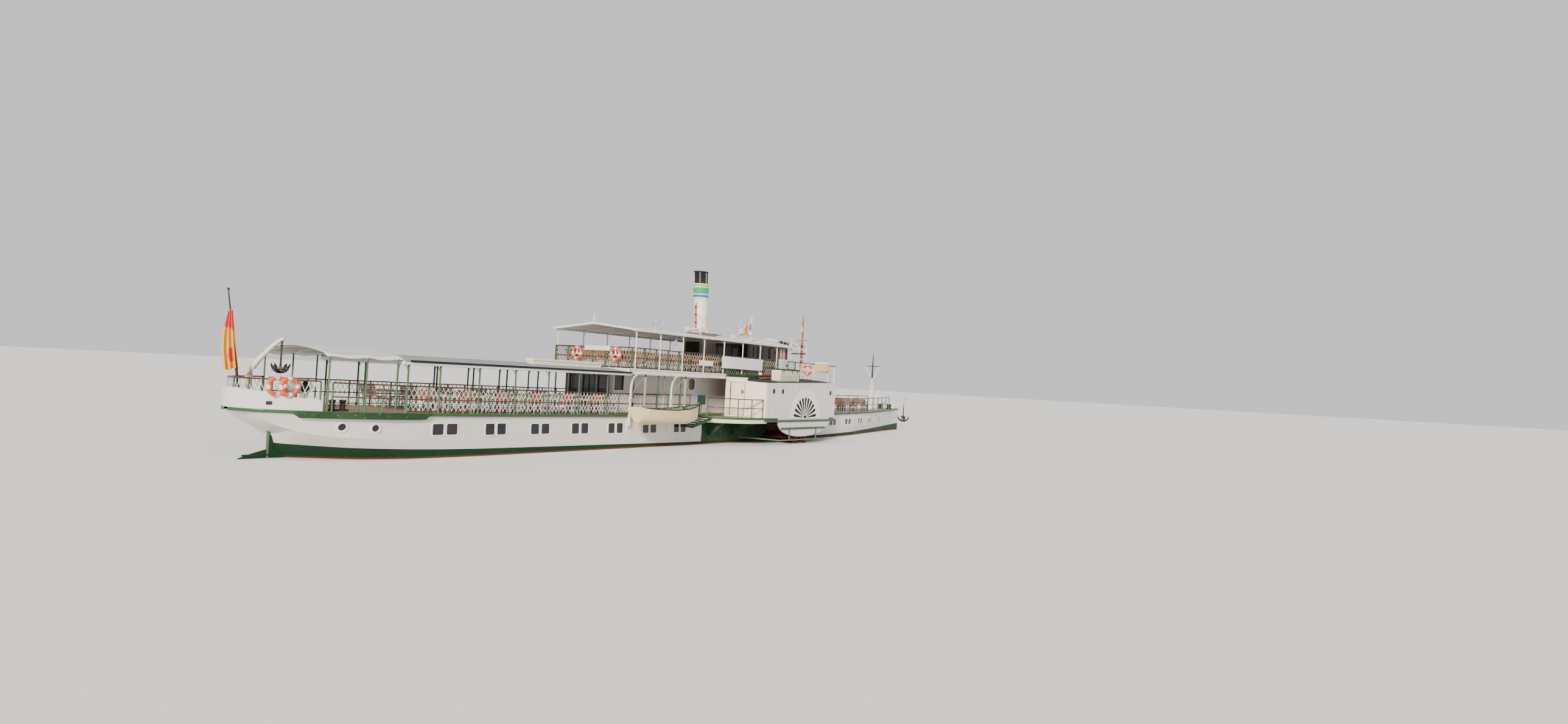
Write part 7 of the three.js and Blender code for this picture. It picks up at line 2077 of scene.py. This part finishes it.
boomMakeup = {
    "x": 27.35,
    "foot": [(0.17, 0), (0.17, 0.05), (0.135, 0.08), (0.12, 0.30), (0.10, 0.32)],
    "arm": [(27.8, 2.16, 0.115), (28.25, 2.28, 0.11), (29.2, 2.51, 0.095), (30.05, 2.70, 0.08)],
    "rope": [(30.0, 2.82), (29.0, 2.62), (27.6, 2.38)], "hang": 29.6,
}
boom = bmesh.new()
footZ = deckZ(boomMakeup["x"]) + 0.012
addTurned(boom, boomMakeup["foot"], (boomMakeup["x"], 0, footZ), sides=20)
arm = [(boomMakeup["x"], footZ + 0.2, 0.11)] + boomMakeup["arm"]
addBar(boom, [(x, 0, z) for x, z, _ in arm], [r for _, _, r in arm], 16, 0)
addTurned(boom, [(0.02, -0.05), (0.10, -0.045), (0.08, 0), (0.10, 0.045), (0.02, 0.05)], (30.02, 0, 2.74),
    "y", 18, 1)
addBar(boom, [(x, 0, z) for x, z in boomMakeup["rope"]], 0.014, 6, 2)
addBar(boom, [(boomMakeup["hang"], 0, 2.58), (boomMakeup["hang"], 0, 2.02)], 0.02, 8, 1)
addGrapnel(boom, boomMakeup["hang"], 0, 2.0, 1.25, (0.6, -0.8), (1, 3))
finishPiece("bowBoom", boom, pick("white", "iron", "rope", "machineGrey"), body="bow_anchor_boom",
    smooth=45, stands=("bow_boom",))

craneMakeup = {
    "x": -26.75, "y": 0.45, "ahead": (0.54, -0.84), "reach": 1.15,
    "arm": [(0, 2.6, 0.125), (0.02, 3.05, 0.12), (0.12, 3.32, 0.11), (0.3, 3.57, 0.10), (0.52, 3.83, 0.092),
        (0.75, 4.08, 0.084), (0.98, 4.29, 0.074), (1.22, 4.46, 0.06)],
}
crane = bmesh.new()


def onCrane(r, z):
    ahead = craneMakeup["ahead"]
    return craneMakeup["x"] + ahead[0] * r, craneMakeup["y"] + ahead[1] * r, z


footZ = deckZ(craneMakeup["x"])
arm = [(0, footZ + 0.01, 0.13)] + craneMakeup["arm"]
addBar(crane, [onCrane(r, z) for r, z, _ in arm], [thick for _, _, thick in arm], 14, 0)
addTurned(crane, [(0.20, 0.0), (0.20, 0.04), (0.15, 0.07), (0.13, 0.12)], onCrane(0, footZ + 0.012),
    sides=20)
reach = craneMakeup["reach"]
for k in range(3):
    addTorus(crane, onCrane(reach, 4.34 - 0.09 * k), 0.045, 0.014, "x" if k % 2 else "y", looks=(1, 1),
        sides=12)
addBar(crane, [onCrane(reach, 4.42), onCrane(reach, 4.0)], 0.016, 6, 1)
addGrapnel(crane, *onCrane(reach, 4.02), 0.82, craneMakeup["ahead"], (1, 2))
finishPiece("sternCrane", crane, pick("creamPaint", "iron", "machineGrey"), body="stern_anchor_crane",
    smooth=45, stands=("stern_crane",))

drumMakeup = {
    "x": -25.15, "z": 2.68, "feet": (-0.42, 0.34),
    "barrel": [(0.20, -0.42), (0.215, -0.44), (0.225, -0.50), (0.27, -0.50), (0.275, -0.47), (0.27, -0.44),
        (0.27, 0.44), (0.275, 0.47), (0.27, 0.50), (0.02, 0.50)],
}
drum = bmesh.new()
drumX, drumZ = drumMakeup["x"], drumMakeup["z"]
addTurned(drum, drumMakeup["barrel"], (drumX, 0, drumZ), "y", 32, 0)
addTurned(drum, [(0.21, -0.43), (0.01, -0.42)], (drumX, 0, drumZ), "y", 32, 1)
foot = [(drumX - 0.24, deckZ(drumX)), (drumX + 0.24, deckZ(drumX)), (drumX + 0.07, drumZ - 0.2),
    (drumX - 0.07, drumZ - 0.2)]
for y in drumMakeup["feet"]:
    addPlate(drum, foot, "xz", y, y + 0.08, 0)
finishPiece("hawserDrum", drum, pick("drumGreen", "sootBlack"), smooth=45)

# Rudder, flagstaff and the flag hanging in folds

rudderMakeup = {
    "blade": [(-26.19, 0.32), (-26.8, 0.15), (-27.15, 0.02), (-27.22, -0.3), (-27.22, -0.66),
        (-26.19, -0.72)],
    "half": 0.045, "straps": (0.12, -0.25, -0.58), "stockX": -26.14, "stock": [(0.06, -0.74), (0.06, 1.20)],
}
rudder = bmesh.new()
addPlate(rudder, rudderMakeup["blade"], "xz", -rudderMakeup["half"], rudderMakeup["half"], 0)
for z in rudderMakeup["straps"]:
    for side in (-1, 1):
        addBox(rudder, -27.0, -26.1, *sideSpan(side, 0.043, 0.06), z - 0.03, z + 0.03, 1)
addTurned(rudder, rudderMakeup["stock"], (rudderMakeup["stockX"], 0, 0), sides=20, look=2)
finishPiece("rudderBlade", rudder, pick("bootGreen", "iron", "postGreen"), body="steering",
    smooth=35, bevel=0.006, stands=("rudder",))
# height, place along the ship and radius of the staff above the deck
staffMakeup = [(2.1, -27.20, 0.05), (2.6, -27.28, 0.048), (3.6, -27.45, 0.045), (6.05, -27.82, 0.02)]
staffLine = [(deckZ(-27.2) + 0.01, -27.20, 0.055)] + staffMakeup
pole = bmesh.new()
addBar(pole, [(x, 0, z) for z, x, _ in staffLine], [r for _, _, r in staffLine], 14, 0)
addTurned(pole, [(0.02, 0), (0.045, 0.02), (0.045, 0.06), (0.01, 0.09)], (-27.82, 0, 6.04), sides=14,
    look=0)
addBar(pole, [(-27.80, 0.03, 5.95), (-27.50, 0.04, 3.9), (-27.40, 0.05, 3.2)], 0.008, 5, 1)
finishPiece("flagStaff", pole, pick("darkWood", "rope"), smooth=45, stands=("flagpole",))
print("ends done")

# Machinery blocks inside the hull keep their plain form
for node in ("engine_block", "boiler_block"):
    for spot in bpy.data.objects[node].material_slots:
        spot.material = looks["machineGrey"]

# Flags: the ensign hangs in folds, a pennant flies at each mast, cloth is tied to the signal poles
flagMakeup = {
    "ensign": {"rows": 34, "columns": 48, "wide": 0.50, "drop": 2.10, "depth": 0.06, "folds": 3,
        "lean": (1, 0)},
    "mainPennant": {"rows": 16, "columns": 24, "wide": 0.22, "drop": 0.85, "depth": 0.05, "folds": 2.5,
        "lean": (0.84, 0.54)},
    "bowPennant": {"rows": 12, "columns": 24, "wide": 0.26, "drop": 0.80, "depth": 0.05, "folds": 2.5,
        "lean": (-0.84, -0.54)},
    "signalCloth": {"rows": 14, "columns": 28, "wide": 0.75, "drop": 0.55, "depth": 0.06, "folds": 4,
        "lean": (1, 0)},
    "furledFlag": {"rows": 18, "columns": 20, "wide": 0.24, "drop": 1.15, "depth": 0.05, "folds": 2.5,
        "lean": (1, 0)},
    "ensignTop": 5.36,
}


def ensignHoist(t):
    z = flagMakeup["ensignTop"] - flagMakeup["ensign"]["drop"] * t
    return (rowAt(staffMakeup, z)[0] + 0.05, -0.07, flagMakeup["ensignTop"])


def hangCloth(name, hoist, lookOf, names, stands=(), body="ship"):
    # cloth in upright folds below its hoist; hoist(t) gives its upper edge
    made = flagMakeup[name]
    rows, columns, wide, lean = made["rows"], made["columns"], made["wide"], made["lean"]
    grid = []
    for r in range(rows + 1):
        t = r / rows
        line = []
        for k in range(columns + 1):
            s = k / columns
            swing = math.sin(s * made["folds"] * math.pi * 2 + 0.6 * math.sin(3.2 * t))
            swing *= made["depth"] * (0.35 + 0.65 * t)
            x, y, z = hoist(t)
            reach = wide * (0.30 + 0.70 * math.sin(min(1, t * 1.3) * math.pi / 2)) * s
            line.append((x - reach * lean[0] - swing * lean[1], y - reach * lean[1] + swing * lean[0],
                z - made["drop"] * t - 0.10 * s * wide - 0.03 * math.sin(9 * s + 2 * t)))
        grid.append(line)
    shape = bmesh.new()
    addCloth(shape, grid, lambda r, k: lookOf(r / rows, k / columns))
    cloth = finishPiece(name, shape, pick(*names), body=body, smooth=70, stands=stands)
    thicken(cloth, 0.003)


def ensignLook(t, s):
    # red at the hoist and in the corner that shows below, gold between
    if t < 0.34 - 0.10 * s:
        return 1
    return 1 if 0.62 < t < 0.88 and 0.25 < s < 0.62 - 0.6 * abs(t - 0.75) else 0


hangCloth("ensign", ensignHoist, ensignLook, ("flagGold", "flagRed"),
    ("stern_flag",))
hangCloth("mainPennant", lambda t: (mainX - 0.09, 0, 8.35), lambda t, s: 1 if t > 0.45 and s > 0.4 else 0,
    ("flagRed", "clothWhite"), body="folding_main_mast")
hangCloth("bowPennant", lambda t: (bowX + 0.04, 0, 6.42), lambda t, s: 1 if t > 0.5 else 0,
    ("clothBlue", "clothWhite"), body="folding_bow_mast")
hangCloth("signalCloth", lambda t: (2.05, -1.5, 7.32), lambda t, s: 0 if s < 0.45 else 1 if s < 0.75 else 2,
    ("buoyOrange", "clothYellow", "clothWhite"))
hangCloth("furledFlag", lambda t: (2.44, -1.5, 7.80), lambda t, s: 0 if 0.3 < t < 0.72 else 1,
    ("clothBlue", "clothWhite"))
print("flags done")

# Pale floor, even sky and one warm low sun

floorHalf = 260
floorShape = bmesh.new()
for x, y in ((-1, -1), (1, -1), (1, 1), (-1, 1)):
    floorShape.verts.new((x * floorHalf, y * floorHalf, 0))
floorShape.faces.new(floorShape.verts)
floorMesh = bpy.data.meshes.new("floor")
floorShape.to_mesh(floorMesh)
floorShape.free()
floorMesh.materials.append(looks["floor"])
floor = bpy.data.objects.new("floor", floorMesh)
bpy.context.scene.collection.objects.link(floor)

lightMakeup = {
    "sky": (0.93, 0.93, 0.94), "skyPower": 0.90, "sunPower": 5.6, "sunColor": (1.0, 0.90, 0.76),
    "sunAngle": 9, "sunFrom": (-0.88, -0.42, 0.44),
}
world = bpy.data.worlds.new("studio")
world.use_nodes = True
backdrop = world.node_tree.nodes["Background"]
backdrop.inputs["Color"].default_value = (*lightMakeup["sky"], 1)
backdrop.inputs["Strength"].default_value = lightMakeup["skyPower"]
bpy.context.scene.world = world
sunLight = bpy.data.lights.new("sun", "SUN")
sunLight.energy = lightMakeup["sunPower"]
sunLight.color = lightMakeup["sunColor"]
sunLight.angle = math.radians(lightMakeup["sunAngle"])
sun = bpy.data.objects.new("sun", sunLight)
sun.rotation_euler = Vector(lightMakeup["sunFrom"]).to_track_quat("Z", "Y").to_euler()
bpy.context.scene.collection.objects.link(sun)
